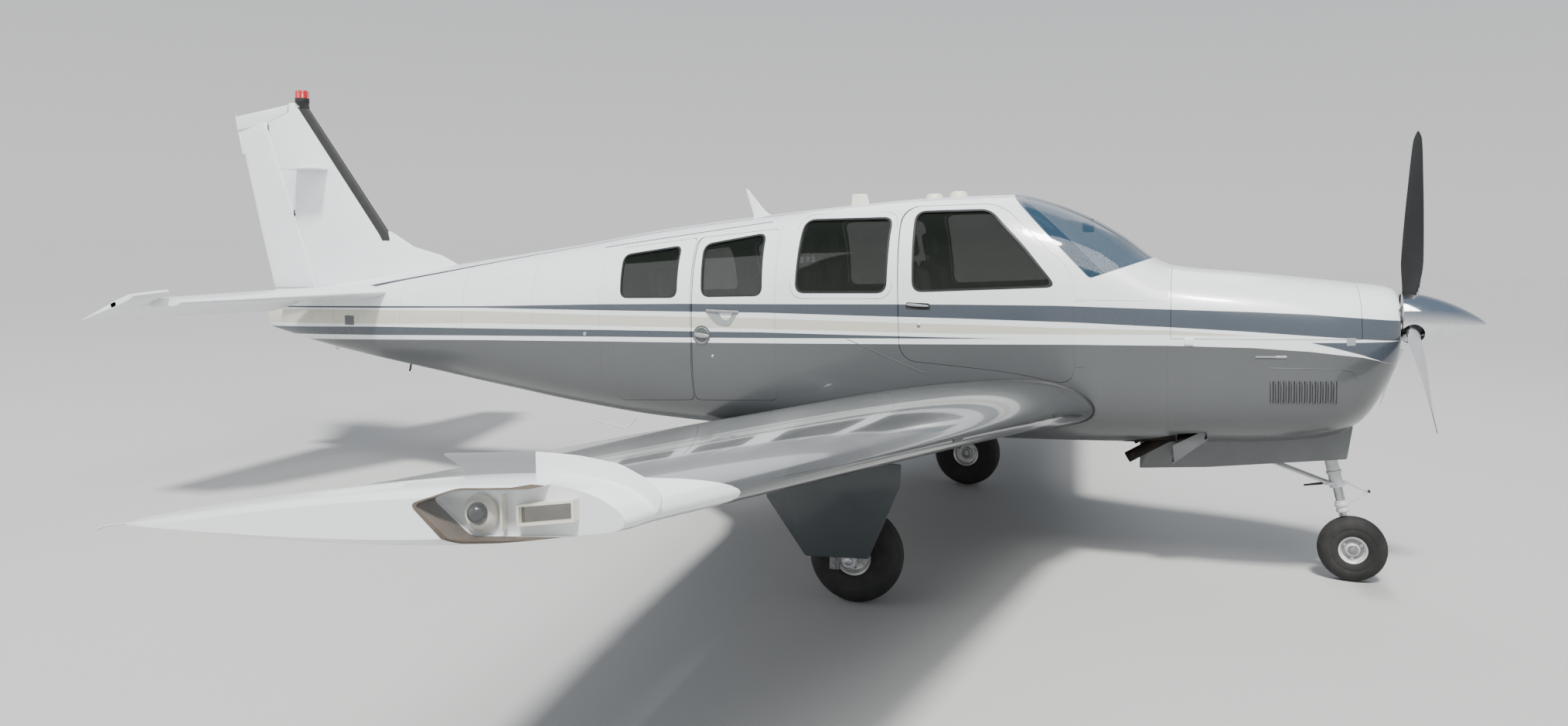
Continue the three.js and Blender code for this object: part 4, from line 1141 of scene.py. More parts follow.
@dataclass(frozen=True)
class BareMetal:
    """Unpainted metal, brushed or polished."""

    name: str
    colour: Point = (0.62, 0.63, 0.64)
    rough: float = 0.28
    brushed: float = 0.08
    dirt: float = 0.25
    dirt_colour: Point = (0.10, 0.09, 0.08)
    metallic: float = 1.0

    def build(self) -> bpy.types.Material:
        """Makes the material.

        Returns:
            The metal's material.
        """
        graph = Graph(self.name)
        where = graph.at()
        fine = graph.noise(graph.stretch(where, (0.05, 1.0, 1.0)), 2.5, 3)
        stains = graph.noise(where, 45, 5).step(0.5, 0.85) * self.dirt
        colour = graph.colour(stains, self.colour, self.dirt_colour)
        graph.surface(
            Base_Color=colour,
            Metallic=self.metallic - stains * 0.4,
            Roughness=self.rough + fine * self.brushed + stains * 0.3,
            Normal=graph.bump(fine, 0.05, 0.0004),
        )
        return graph.material


@dataclass(frozen=True)
class Moulding:
    """Moulded plastic, rubber or satin paint with a fine grain."""

    name: str
    colour: Point = (0.02, 0.021, 0.023)
    second: Point = (0.05, 0.05, 0.052)
    rough: float = 0.5
    grain: float = 1.6
    depth: float = 0.12
    mottle: float = 60.0

    def build(self) -> bpy.types.Material:
        """Makes the material.

        Returns:
            The moulding's material.
        """
        graph = Graph(self.name)
        where = graph.at()
        cloud = graph.noise(where, self.mottle, 4)
        colour = graph.colour(cloud.step(0.3, 0.8) * 0.6, self.colour, self.second)
        graph.surface(
            Base_Color=colour,
            Roughness=self.rough + cloud * 0.15,
            Normal=graph.bump(graph.noise(where, self.grain, 3), self.depth, 0.0005),
        )
        return graph.material


@dataclass(frozen=True)
class Pane:
    """Tinted acrylic that the cabin shows through."""

    name: str
    colour: Point = (0.02, 0.024, 0.022)
    alpha: float = 0.5
    haze: float = 0.06

    def build(self) -> bpy.types.Material:
        """Makes the material.

        Returns:
            The pane's material.
        """
        graph = Graph(self.name)
        where = graph.at()
        smear = graph.noise(graph.stretch(where, (1.0, 1.0, 2.2)), 130, 4).step(0.45, 0.9)
        graph.surface(
            Base_Color=graph.colour(smear * 0.25, self.colour, tuple(c * 2.2 for c in self.colour)),
            Roughness=0.03 + smear * self.haze,
            Alpha=self.alpha + smear * 0.05,
            Coat_Weight=0.2,
            Coat_Roughness=0.03,
        )
        return graph.material


@dataclass(frozen=True)
class Hide:
    """Seat leather or cloth with its grain and creases."""

    name: str
    colour: Point = (0.035, 0.035, 0.036)
    second: Point = (0.06, 0.058, 0.056)
    rough: float = 0.55

    def build(self) -> bpy.types.Material:
        """Makes the material.

        Returns:
            The hide's material.
        """
        graph = Graph(self.name)
        where = graph.at()
        cells = graph.out("ShaderNodeTexVoronoi", {}, {"Vector": where, "Scale": 1 / 2.6})
        creases = graph.noise(where, 38, 5)
        colour = graph.colour(creases.step(0.3, 0.8), self.colour, self.second)
        graph.surface(
            Base_Color=colour,
            Roughness=self.rough + creases * 0.15,
            Sheen_Weight=0.15,
            Normal=graph.bump(cells * 0.4 + creases * 1.5, 0.1, 0.0012),
        )
        return graph.material


@dataclass(frozen=True)
class Lamp:
    """A lit or coloured lens."""

    name: str
    colour: Point
    glow: float = 0.4
    alpha: float = 1.0

    def build(self) -> bpy.types.Material:
        """Makes the material.

        Returns:
            The lens's material.
        """
        graph = Graph(self.name)
        where = graph.at()
        ribs = (graph.xyz(where)[2] * 1.2).sine() * 0.5 + 0.5
        colour = graph.colour(ribs * 0.4, self.colour, tuple(c * 0.55 for c in self.colour))
        graph.surface(
            Base_Color=colour,
            Roughness=0.08 + ribs * 0.04,
            Emission_Color=colour,
            Emission_Strength=self.glow,
            Alpha=self.alpha,
            Coat_Weight=1.0,
        )
        return graph.material


@dataclass
class BodyForm:
    """The outside of the body: stations of rounded boxes, run through by smooth lines."""

    keys: tuple = ("x", "half", "top", "belt", "bottom", "up", "down")
    stations: tuple = (
        (-5015, 26, 1372, 1285, 1205, 2.0, 2.0), (-4570, 122, 1496, 1275, 1098, 2.1, 2.1),
        (-4000, 200, 1578, 1262, 992, 2.2, 2.2), (-3400, 285, 1652, 1255, 897, 2.3, 2.4),
        (-2800, 372, 1728, 1250, 806, 2.5, 2.7), (-2290, 440, 1793, 1250, 735, 2.7, 3.0),
        (-1630, 512, 1889, 1250, 668, 2.8, 3.3), (-1055, 555, 1951, 1250, 642, 2.9, 3.5),
        (-435, 580, 2007, 1250, 634, 3.0, 3.6), (110, 586, 2043, 1250, 632, 3.0, 3.6),
        (600, 582, 2051, 1248, 634, 3.0, 3.6), (800, 578, 2003, 1245, 636, 3.0, 3.6),
        (1000, 570, 1921, 1240, 638, 3.0, 3.6), (1200, 560, 1803, 1232, 641, 3.1, 3.5),
        (1370, 548, 1673, 1222, 645, 3.2, 3.4), (1455, 538, 1633, 1215, 648, 3.2, 3.3),
        (1900, 505, 1585, 1195, 664, 3.0, 3.1), (2250, 450, 1547, 1190, 700, 2.7, 2.9),
        (2420, 392, 1527, 1210, 782, 2.5, 2.6), (2540, 322, 1512, 1268, 955, 2.3, 2.3),
        (2600, 262, 1490, 1310, 1085, 2.1, 2.1),
    )
    ring: int = 96
    pitch: float = 45.0

    def at(self, x: float) -> dict[str, float]:
        """The body's section at a place along it.

        Args:
            x: The place along the body.

        Returns:
            The section's sizes by name.
        """
        table = np.array(self.stations, dtype=float)
        where = np.clip(x, table[0, 0], table[-1, 0])
        found = {"x": float(x)}
        for i, key in enumerate(self.keys[1:], start=1):
            found[key] = float(monotone(table[:, 0], table[:, i], np.array([where]))[0])
        return found

    def row(self, x: float, wall: float = 0.0) -> np.ndarray:
        """One ring of points round the body, moved in by a wall.

        Args:
            x: The place along the body.
            wall: How far the ring lies inside the outside.

        Returns:
            The ring's points.
        """
        s = self.at(x)
        angle = np.linspace(0, 2 * np.pi, self.ring, endpoint=False)
        c, n = np.cos(angle), np.sin(angle)
        power = 2 / np.where(n >= 0, s["up"], s["down"])
        rise = np.where(n >= 0, s["top"] - s["belt"], s["belt"] - s["bottom"])
        y = (s["half"] - wall) * np.sign(c) * np.abs(c) ** power
        z = s["belt"] + (rise - wall) * np.sign(n) * np.abs(n) ** power
        return np.stack([np.full_like(y, x), y, z], axis=1)

    def loft(self, name: str, x0: float, x1: float, wall: float = 0.0) -> bpy.types.Object:
        """The body between two places as a closed solid.

        Args:
            name: The piece's name.
            x0: Where it starts.
            x1: Where it ends.
            wall: How far it lies inside the outside.

        Returns:
            The solid.
        """
        places = [row[0] for row in self.stations if x0 + 8 < row[0] < x1 - 8]
        marks = [x0, *places, x1]
        xs = []
        for a, b in zip(marks[:-1], marks[1:], strict=True):
            count = max(1, round((b - a) / self.pitch))
            xs.extend(np.linspace(a, b, count, endpoint=False))
        xs.append(x1)
        return Bench.skin(name, np.array([self.row(x, wall) for x in xs]))

    def lipped(self, name: str, x0: float, x1: float, lip: float) -> bpy.types.Object:
        """The body between two places with its front edge rolled over.

        Args:
            name: The piece's name.
            x0: Where it starts.
            x1: Where it ends.
            lip: The rolled edge's radius.

        Returns:
            The solid.
        """
        places = [row[0] for row in self.stations if x0 + 8 < row[0] < x1 - lip - 8]
        marks = [x0, *places, x1 - lip]
        rows = []
        for a, b in zip(marks[:-1], marks[1:], strict=True):
            count = max(1, round((b - a) / self.pitch))
            rows.extend(self.row(x) for x in np.linspace(a, b, count, endpoint=False))
        for k in range(9):
            angle = math.pi / 2 * k / 8
            rows.append(self.row(x1 - lip + lip * math.sin(angle), lip * (1 - math.cos(angle))))
        return Bench.skin(name, np.array(rows))

    def side(self, x: float, z: float) -> float:
        """The half width of the body at a place and height.

        Args:
            x: The place along the body.
            z: The height.

        Returns:
            How far the skin lies from the centreline.
        """
        s = self.at(x)
        power = s["up"] if z >= s["belt"] else s["down"]
        rise = s["top"] - s["belt"] if z >= s["belt"] else s["belt"] - s["bottom"]
        share = min(abs(z - s["belt"]) / rise, 1.0) ** power
        return s["half"] * (1 - share) ** (1 / power)

    def above(self, x: float, y: float) -> float:
        """The height of the body's top.

        Args:
            x: The place along the body.
            y: The place across it.

        Returns:
            The height.
        """
        s = self.at(x)
        share = min(abs(y) / s["half"], 1.0) ** s["up"]
        return s["belt"] + (s["top"] - s["belt"]) * (1 - share) ** (1 / s["up"])

    def below(self, x: float, y: float) -> float:
        """The height of the body's belly.

        Args:
            x: The place along the body.
            y: The place across it.

        Returns:
            The height.
        """
        s = self.at(x)
        share = min(abs(y) / s["half"], 1.0) ** s["down"]
        return s["belt"] - (s["belt"] - s["bottom"]) * (1 - share) ** (1 / s["down"])


WINDOWS = {
    "pilot": ([(92, 1500), (884, 1528), (698, 1762), (503, 1960), (78, 1957)], 60),
    "second": ([(-612, 1492), (-62, 1494), (-52, 1925), (-597, 1922)], 60),
    "third": ([(-1222, 1466), (-824, 1474), (-833, 1846), (-1238, 1782)], 55),
    "fourth": ([(-1795, 1455), (-1394, 1460), (-1397, 1776), (-1808, 1722)], 50),
}
SEAM = 978.0
DOORS = {
    "front_door": {
        "window": "pilot", "hinge": SEAM, "radius": 110, "free": 6, "ease": 7,
        "corners": [(14, 1112), (335, 1086), (650, 1056), (978, 990), (978, 1600), (560, 1995), (-8, 1988)],
    },
    "aft_door_front": {
        "window": "third", "hinge": -745.0, "radius": 40, "free": 3, "ease": 6,
        "corners": [(-1290, 830), (-745, 850), (-745, 1872), (-1290, 1825)],
    },
    "aft_door_rear": {
        "window": "fourth", "hinge": -1848.0, "radius": 40, "free": 2, "ease": -3,
        "corners": [(-1848, 800), (-1295, 830), (-1295, 1825), (-1848, 1765)],
    },
}
WINDSHIELD = [(1057, 1572), (1368, 1676), (1450, 1700), (1450, 2300), (560, 2300), (590, 2062), (655, 1991)]


@dataclass
class Cabin:
    """The cabin's walls, doors and panes, each a piece of one hollow shell."""

    form: BodyForm
    paints: dict[str, bpy.types.Material]
    rear: float = -1950.0
    firewall: float = 1455.0
    wall: float = 42.0
    door_wall: float = 8.0
    door_step: float = 26.0
    gap: float = 2.5
    floor_top: float = 748.0
    roof_edge: tuple = ((-1960, 1790), (590, 2000), (720, 2000), (720, 2300), (-1960, 2300))

    def across(self, name: str, corners: Sequence[Point], radius: float, side: int = 0) -> bpy.types.Object:
        """A cutter through one side of the cabin, or through both.

        Args:
            name: The cutter's name.
            corners: Its outline in (x, z).
            radius: Its corners' radius.
            side: -1 for the right side, 1 for the left, 0 for both.

        Returns:
            The cutter.
        """
        low, high = {-1: (-900, 0), 1: (0, 900), 0: (-900, 900)}[side]
        outline = rounded(corners, radius) if radius else list(corners)
        return Bench.prism(name, outline, "y", low, high)

    def trimmed(
        self, name: str, outer: bpy.types.Object, wall: float, x0: float, x1: float
    ) -> bpy.types.Object:
        """A wall of one thickness, with its inside tagged as trim.

        Args:
            name: The wall's name.
            outer: The solid that it is cut from, which is copied.
            wall: Its thickness.
            x0: Where the hollow starts.
            x1: Where the hollow ends.

        Returns:
            The hollow wall.
        """
        shell = Bench.copy(outer, name)
        Bench.tag(shell, 1, lambda centre, normal: False)
        inner = self.form.loft("hollow", x0, x1, wall)
        Bench.tag(inner, 1)
        return Bench.cut(shell, inner)

    def build(self) -> None:
        """Builds the walls, then the doors, the panes and the windshield."""
        outer = self.form.loft("outer", self.rear, self.firewall)
        shell = self.trimmed("shell", outer, self.wall, self.rear - 100, self.firewall - self.wall)
        skin = self.trimmed("skin", outer, self.door_wall, self.rear - 100, self.firewall + 10)
        walls = Bench.copy(shell, "walls")
        Bench.cut(walls, self.across("screen_hole", WINDSHIELD, 20))
        for name, door in DOORS.items():
            Bench.cut(walls, self.across("hole", door["corners"], door["radius"], -1))
            self.leaf(name, door, shell, skin)
        for corners, radius in WINDOWS.values():
            Bench.cut(walls, self.across("light", corners, radius))
        self.split(walls)
        self.panes(outer)
        Bench.bin(outer, shell, skin)

    def leaf(self, name: str, door: dict, shell: bpy.types.Object, skin: bpy.types.Object) -> None:
        """One door: an outer skin that fills the opening and an inner step that clears its frame.

        Args:
            name: The door's name, which is its node's and its body's.
            door: Its outline, hinge and window.
            shell: The full wall.
            skin: The outer skin.
        """
        seat = (self.gap - 0.3) * math.copysign(1, door["ease"])
        eased = []
        for i, (x, z) in enumerate(door["corners"]):
            if x == door["hinge"]:
                eased.append((x + seat, z))
            else:
                eased.append((x + door["ease"] if i == door["free"] else x, z))
        panel = Bench.copy(skin, name + "_leaf")
        Bench.cut(panel, self.across("edge", inset(eased, self.gap), door["radius"], -1), "INTERSECT")
        step = Bench.copy(shell, "step")
        stepped = inset(door["corners"], self.door_step)
        Bench.cut(step, self.across("edge", stepped, door["radius"], -1), "INTERSECT")
        Bench.cut(panel, step, "UNION")
        corners, radius = WINDOWS[door["window"]]
        Bench.cut(panel, self.across("light", corners, radius, -1))
        Bench.done(
            panel, [self.paints["body"], self.paints["trim"]], body=name, slot="white_paint", replaces=[name]
        )

    def split(self, walls: bpy.types.Object) -> None:
        """Splits the walls into roof, floor, two sides and the front.

        Args:
            walls: The walls with all their openings cut.
        """
        paint = [self.paints["body"], self.paints["trim"]]
        roof = Bench.copy(walls, "cabin_roof_skin")
        Bench.cut(roof, self.across("cut", inset(self.roof_edge, 0.15), 0), "INTERSECT")
        Bench.cut(walls, self.across("cut", self.roof_edge, 0))
        pieces = {
            "forward_fuselage": ((SEAM + 0.15, -900, 400), (self.firewall + 5, 900, 2400)),
            "cabin_side_left": ((-2100, 0.15, self.floor_top), (SEAM - 0.15, 900, 2400)),
            "cabin_side_right": ((-2100, -900, self.floor_top), (SEAM - 0.15, -0.15, 2400)),
        }
        for name, (low, high) in pieces.items():
            piece = Bench.copy(walls, name + "_skin")
            Bench.cut(piece, Bench.block("cut", low, high), "INTERSECT")
            Bench.done(piece, paint, slot="white_paint", replaces=[name])
        Bench.done(roof, paint, slot="white_paint", replaces=["cabin_roof"])
        Bench.bin(walls)
        floor = self.form.loft("cabin_floor_pan", self.rear, SEAM - 0.3)
        under = Bench.block("cut", (-2100, -900, 400), (SEAM, 900, self.floor_top - 0.15))
        Bench.cut(floor, under, "INTERSECT")
        Bench.tag(floor, 1, lambda centre, normal: normal.z > 0.9)
        Bench.done(
            floor, [self.paints["body"], self.paints["carpet"]],
            slot="grey_paint", replaces=["cabin_floor"],
        )

    def panes(self, outer: bpy.types.Object) -> None:
        """The side windows and the windshield.

        Args:
            outer: The closed outside of the cabin.
        """
        layer = self.form.loft("layer", self.rear, self.firewall, 5)
        Bench.cut(layer, self.form.loft("hollow", self.rear - 10, self.firewall + 10, 13))
        riders = {door["window"]: name for name, door in DOORS.items()}
        for name, (corners, radius) in WINDOWS.items():
            for side, word in ((-1, "right"), (1, "left")):
                pane = Bench.copy(layer, f"pane_{name}_{word}")
                Bench.cut(pane, self.across("cut", inset(corners, 0.3), radius, side), "INTERSECT")
                body = riders.get(name, "airframe") if side < 0 else "airframe"
                Bench.done(
                    pane, self.paints["pane"], body=body, slot="glass", replaces=[f"glass_{name}_{word}"]
                )
        Bench.bin(layer)
        screen = Bench.copy(outer, "windshield_pane")
        Bench.cut(screen, self.form.loft("hollow", self.rear - 10, self.firewall + 10, 10))
        Bench.cut(screen, self.across("cut", inset(WINDSHIELD, 0.3), 20), "INTERSECT")
        Bench.done(screen, self.paints["screen"], slot="glass", replaces=["windshield"])


@dataclass
class Studio:
    """The camera of the photograph, a pale floor and soft lights."""

    spot: Point = (2.7571, -6.9732, 1.849)
    right: Point = (0.94111, 0.33703, 0.02686)
    up: Point = (-0.04275, 0.03982, 0.99830)
    back: Point = (0.33539, -0.94065, 0.05188)
    lens: float = 26.68
    shift: float = -0.0484
    panels: tuple = (
        ("key", (5.0, -7.0, 11.0), 6.0, 1000.0, (1.0, 0.985, 0.95)),
        ("fill", (-8.0, -9.0, 6.0), 8.0, 400.0, (0.96, 0.98, 1.0)),
        ("back", (0.0, 9.0, 10.0), 9.0, 500.0, (1.0, 1.0, 1.0)),
    )
    aim: Point = (0.4, -0.5, 1.0)
    high_way: Point = (-1.0, 5.2, -9.0)
    high_power: float = 5.6
    high_angle: float = 9.0

    def build(self) -> None:
        """Sets the camera, the floor, the lights and the sky."""
        data = bpy.data.cameras.new("photo_camera")
        data.sensor_fit = "HORIZONTAL"
        data.sensor_width = 36.0
        data.lens = self.lens
        data.shift_y = self.shift
        data.clip_end = 200.0
        camera = bpy.data.objects.new("photo_camera", data)
        bpy.context.collection.objects.link(camera)
        turn = Matrix((self.right, self.up, self.back)).transposed()
        camera.matrix_world = Matrix.Translation(self.spot) @ turn.to_4x4()
        bpy.context.scene.camera = camera
        self.floor()
        self.lights()

    def floor(self) -> None:
        """A plain pale floor, far wider than the aircraft."""
        Bench.clear()
        bpy.ops.mesh.primitive_plane_add(size=120, location=(0, 20, -0.0005))
        floor = Bench.named("studio_floor")
        graph = Graph("pale_floor")
        where = graph.at(Place.GROUND)
        tone = graph.noise(where, 2500, 4)
        colour = graph.colour(tone * 0.5, (0.44, 0.437, 0.43), (0.49, 0.487, 0.48))
        bumps = graph.bump(graph.noise(where, 12, 3), 0.08, 0.001)
        graph.surface(Base_Color=colour, Roughness=0.75, Normal=bumps)
        floor.data.materials.append(graph.material)

    def lights(self) -> None:
        """Three soft panels, one high lamp and a pale sky."""
        for name, spot, size, power, colour in self.panels:
            data = bpy.data.lights.new(name, "AREA")
            data.size = size
            data.energy = power
            data.color = colour
            lamp = bpy.data.objects.new(name, data)
            bpy.context.collection.objects.link(lamp)
            aim = Vector(self.aim) - Vector(spot)
            lamp.matrix_world = Matrix.Translation(spot) @ aim.to_track_quat("-Z", "Y").to_matrix().to_4x4()
        high = bpy.data.lights.new("high", "SUN")
        high.energy = self.high_power
        high.angle = math.radians(self.high_angle)
        high.color = (1.0, 0.985, 0.955)
        lamp = bpy.data.objects.new("high", high)
        bpy.context.collection.objects.link(lamp)
        lamp.rotation_euler = Vector(self.high_way).to_track_quat("-Z", "Y").to_euler()
        world = bpy.data.worlds.new("pale_sky")
        world.use_nodes = True
        nodes, links = world.node_tree.nodes, world.node_tree.links
        where = nodes.new("ShaderNodeTexCoord")
        split = nodes.new("ShaderNodeSeparateXYZ")
        ramp = nodes.new("ShaderNodeValToRGB")
        ramp.color_ramp.elements[0].position = 0.02
        ramp.color_ramp.elements[0].color = (1.0, 1.0, 1.0, 1.0)
        ramp.color_ramp.elements[1].position = 0.75
        ramp.color_ramp.elements[1].color = (0.24, 0.31, 0.40, 1.0)
        links.new(where.outputs["Generated"], split.inputs[0])
        links.new(split.outputs["Z"], ramp.inputs["Fac"])
        links.new(ramp.outputs["Color"], nodes["Background"].inputs[0])
        nodes["Background"].inputs[1].default_value = 0.86
        bpy.context.scene.world = world


@dataclass(frozen=True)
class WingPaint:
    """Pewter metallic with rivet rows, white tips and a dark patch in the leading edge that paints the
    landing lamp's lens together with the shade in its recess.
    """

    name: str
    nose: tuple = ((380, 1086), (640, 1070), (1000, 962), (3000, 782), (4900, 612), (5200, 600))
    white: tuple = ((4560, 0.5), (4680, 34), (4800, 70), (4900, 112), (4925, 130), (4940, 3000), (5200, 3000))
    panel: tuple = ((3700, 4), (3780, 126), (3990, 150), (4170, 38), (4330, 0))
    spar_pitch: float = 165.0

    def build(self) -> bpy.types.Material:
        """Makes the material.

        Returns:
            The wing's paint.
        """
        graph = Graph(self.name)
        where = graph.at()
        x, y, _ = graph.xyz(where)
        out = abs(y)
        back = out.curve(self.nose) - x
        white = back.below(out.curve(self.white)) * out.above(4560.0)
        # The landing lamp: its lens and the shade in the recess behind it, painted as one flat dark patch on
        # the leading edge.
        panel = back.below(out.curve(self.panel)) * out.above(3700.0) * out.below(4330.0) * back.above(1.0)
        patches = graph.noise(where, 260, 5)
        row = 1 - abs((out % 330.0) - 165.0).step(1.4, 2.4)
        line = 1 - abs((back % self.spar_pitch) - 60.0).step(1.4, 2.4)
        heads = row * (1 - abs((x % 28.0) - 14.0).step(1.5, 2.4))
        heads = heads.most(line * (1 - abs((out % 28.0) - 14.0).step(1.5, 2.4)))
        colour = graph.colour(patches.step(0.35, 0.8) * 0.5, PEWTER, (0.13, 0.14, 0.147))
        colour = graph.colour(heads * 0.25, colour, (0.30, 0.31, 0.32))
        colour = graph.colour(panel, colour, (0.07, 0.075, 0.08))
        colour = graph.colour(white, colour, WHITE)
        height = graph.noise(where, 420, 2) * 0.35 + graph.noise(where, 8, 2) * 0.010 + heads * 0.35
        graph.surface(
            Base_Color=colour,
            Metallic=(1 - white) * 0.55,
            Roughness=0.16 + patches * 0.12,
            Coat_Weight=0.6,
            Coat_Roughness=0.05,
            Normal=graph.bump(height, 0.25, 0.0016),
        )
        return graph.material


@dataclass(frozen=True)
class FencePaint:
    """White ahead of a line and pewter behind it."""

    name: str
    line: float = 342.0

    def build(self) -> bpy.types.Material:
        """Makes the material.

        Returns:
            The fence's paint.
        """
        graph = Graph(self.name)
        where = graph.at()
        ahead = graph.xyz(where)[0].above(self.line)
        patches = graph.noise(where, 120, 4)
        graph.surface(
            Base_Color=graph.colour(ahead, (0.19, 0.20, 0.205), WHITE),
            Roughness=0.24 + patches * 0.12,
            Coat_Weight=0.4,
            Coat_Roughness=0.08,
            Normal=graph.bump(graph.noise(where, 9, 2), 0.1, 0.0005),
        )
        return graph.material


@dataclass(frozen=True)
class Paints:
    """All the finishes, made once each."""

    rib_rows: tuple = (-4300, -3650, -3080, -2480, -1950)

    def build(self) -> dict[str, bpy.types.Material]:
        """Makes the finishes.

        Returns:
            The materials by name.
        """
        rows = tuple((x, 0, 3000) for x in self.rib_rows)
        makers = {
            "body": BodyPaint(
                "body_paint",
                laps_x=((-735, 640, 1888),),
                laps_z=(((985, 1457), (1455, 1452)),),
                rivets_x=(
                    (-750, 640, 1888), (-720, 640, 1888), (-28, 1120, 1960),
                    (-1905, 800, 1780), (1110, 800, 1500),
                ),
                seams=(
                    ((-1940, 1462), (-760, 1455)),
                    ((-640, 1440), (960, 1462)),
                    ((-700, 1062), (300, 1010)),
                ),
            ),
            "tail_body": BodyPaint("tail_body_paint", laps_x=rows),
            "cowl": BodyPaint("cowl_paint"),
            "white": SheetPaint("white_paint"),
            "pewter": SheetPaint("pewter_paint", PEWTER, (0.14, 0.148, 0.154), 0.35, 0.28),
            "wing": WingPaint("wing_paint"),
            "fence": FencePaint("fence_paint"),
            "cream": SheetPaint("cream_paint", (0.72, 0.70, 0.60), (0.66, 0.64, 0.55), 0.0, 0.35, 60.0),
            "line": Moulding("lap_line", (0.10, 0.105, 0.11), (0.16, 0.165, 0.17), 0.5),
            "mirror": BareMetal("lamp_mirror", (0.17, 0.16, 0.14), 0.12, 0.05, 0.3, (0.12, 0.10, 0.06)),
            "sealant": Moulding("lens_sealant", (0.07, 0.055, 0.042), (0.16, 0.13, 0.105), 0.8, 9.0, 0.5),
            "tail": SheetPaint("tail_paint", ribs=210.0, rib_axis=2),
            "plane": SheetPaint("tailplane_paint", ribs=260.0),
            "primer": Moulding("cowl_primer", (0.16, 0.17, 0.13), (0.10, 0.10, 0.08), 0.7, 3.0),
            "trim": Moulding("cabin_trim", (0.030, 0.032, 0.030), (0.05, 0.052, 0.05), 0.7),
            "carpet": Moulding("cabin_carpet", (0.05, 0.05, 0.055), (0.08, 0.08, 0.085), 0.9, 2.2, 0.12),
            # Dark moulding for the board, yokes and small dark parts; also used as painted shade in the
            # louvres' slots and the front handle's cup.
            "dark": Moulding("dark_moulding", (0.012, 0.013, 0.014), (0.03, 0.03, 0.032)),
            "boot": Moulding("ice_boot_rubber", (0.010, 0.010, 0.011), (0.025, 0.025, 0.026), 0.55, 2.5, 0.2),
            "rubber": Moulding("tyre_rubber", (0.012, 0.012, 0.012), (0.035, 0.033, 0.031), 0.75, 2.0, 0.25),
            "seal": Moulding("window_seal", (0.010, 0.011, 0.012), (0.02, 0.02, 0.021), 0.45),
            "pane": Pane("tinted_pane", (0.008, 0.010, 0.006), 0.52, 0.02),
            "screen": Pane("screen_pane", (0.035, 0.075, 0.12), 0.42, 0.03),
            "clear": Pane("clear_lens", (0.40, 0.42, 0.42), 0.05, 0.01),
            "grip": SheetPaint("handle_paint", (0.30, 0.32, 0.33), (0.22, 0.235, 0.245), 0.2, 0.3, 25.0),
            "hide": Hide("seat_hide"),
            "dial": Moulding("dial_face", (0.006, 0.006, 0.007), (0.012, 0.013, 0.015), 0.12, 4.0, 0.02),
            "mark": Moulding("dial_mark", (0.75, 0.75, 0.72), (0.70, 0.70, 0.66), 0.4, 2.0, 0.02),
            "leg": SheetPaint("leg_enamel", (0.56, 0.58, 0.59), (0.40, 0.41, 0.41), 0.1, 0.38, 45.0),
            "piston": BareMetal("piston_metal", (0.42, 0.43, 0.45), 0.25, 0.05, 0.35),
            "door": SheetPaint("door_paint", (0.05, 0.06, 0.066), (0.04, 0.045, 0.05), 0.2, 0.4, 160.0),
            "nose_rim": SheetPaint(
                "nose_rim_enamel", (0.66, 0.67, 0.67), (0.36, 0.33, 0.30), 0.1, 0.35, 30.0
            ),
            "steel": BareMetal("leg_steel", (0.50, 0.51, 0.52), 0.32),
            "bright": BareMetal("polished_metal", (0.74, 0.75, 0.77), 0.07, 0.03, 0.12),
            # Scorched steel for the exhaust stubs, also used for the painted shade of the belly's recess.
            "scorched_and_shade": BareMetal("scorched_steel", (0.035, 0.030, 0.026), 0.7, 0.3, 0.5, (0.10, 0.07, 0.05)),
            "cast": BareMetal("cast_metal", (0.30, 0.30, 0.31), 0.5, 0.2, 0.5),
            "wheel": BareMetal("wheel_metal", (0.66, 0.66, 0.65), 0.35, 0.1, 0.4, metallic=0.6),
            "blade": Moulding("blade_black", (0.005, 0.005, 0.006), (0.012, 0.012, 0.013), 0.5, 1.2, 0.05),
            "blade_face": SheetPaint("blade_grey", (0.42, 0.43, 0.45), (0.36, 0.37, 0.39), 0.4, 0.35, 90.0),
            "red": Lamp("red_lens", (0.50, 0.010, 0.016), 0.12),
        }
        return {name: maker.build() for name, maker in makers.items()}


@dataclass
class Carried:
    """The CAD nodes whose shapes stay, each with its finish."""

    frame: dict
    paints: dict[str, bpy.types.Material]
    by_slot: dict = field(
        default_factory=lambda: {
            "white_paint": "white", "grey_paint": "pewter", "dark_paint": "dark", "glass": "pane",
            "gear_steel": "steel", "tyre": "rubber", "upholstery": "hide", "engine_metal": "cast",
            "blade_metal": "blade", "polished_metal": "bright", "dark_plastic": "dark", "red_lens": "red",
        }
    )

    def dress(self) -> None:
        """Gives each node that still shows the finish of its slot."""
        slots = {row["node"]: row["material_slot"] for row in self.frame["record"]["subparts"]}
        for name, node in self.frame["nodes"].items():
            if node.hide_render:
                continue
            finish = self.paints[self.by_slot[slots[name]]]
            node.data.materials.clear()
            node.data.materials.append(finish)
            LOG.info("node %s stays, in %s", name, finish.name)


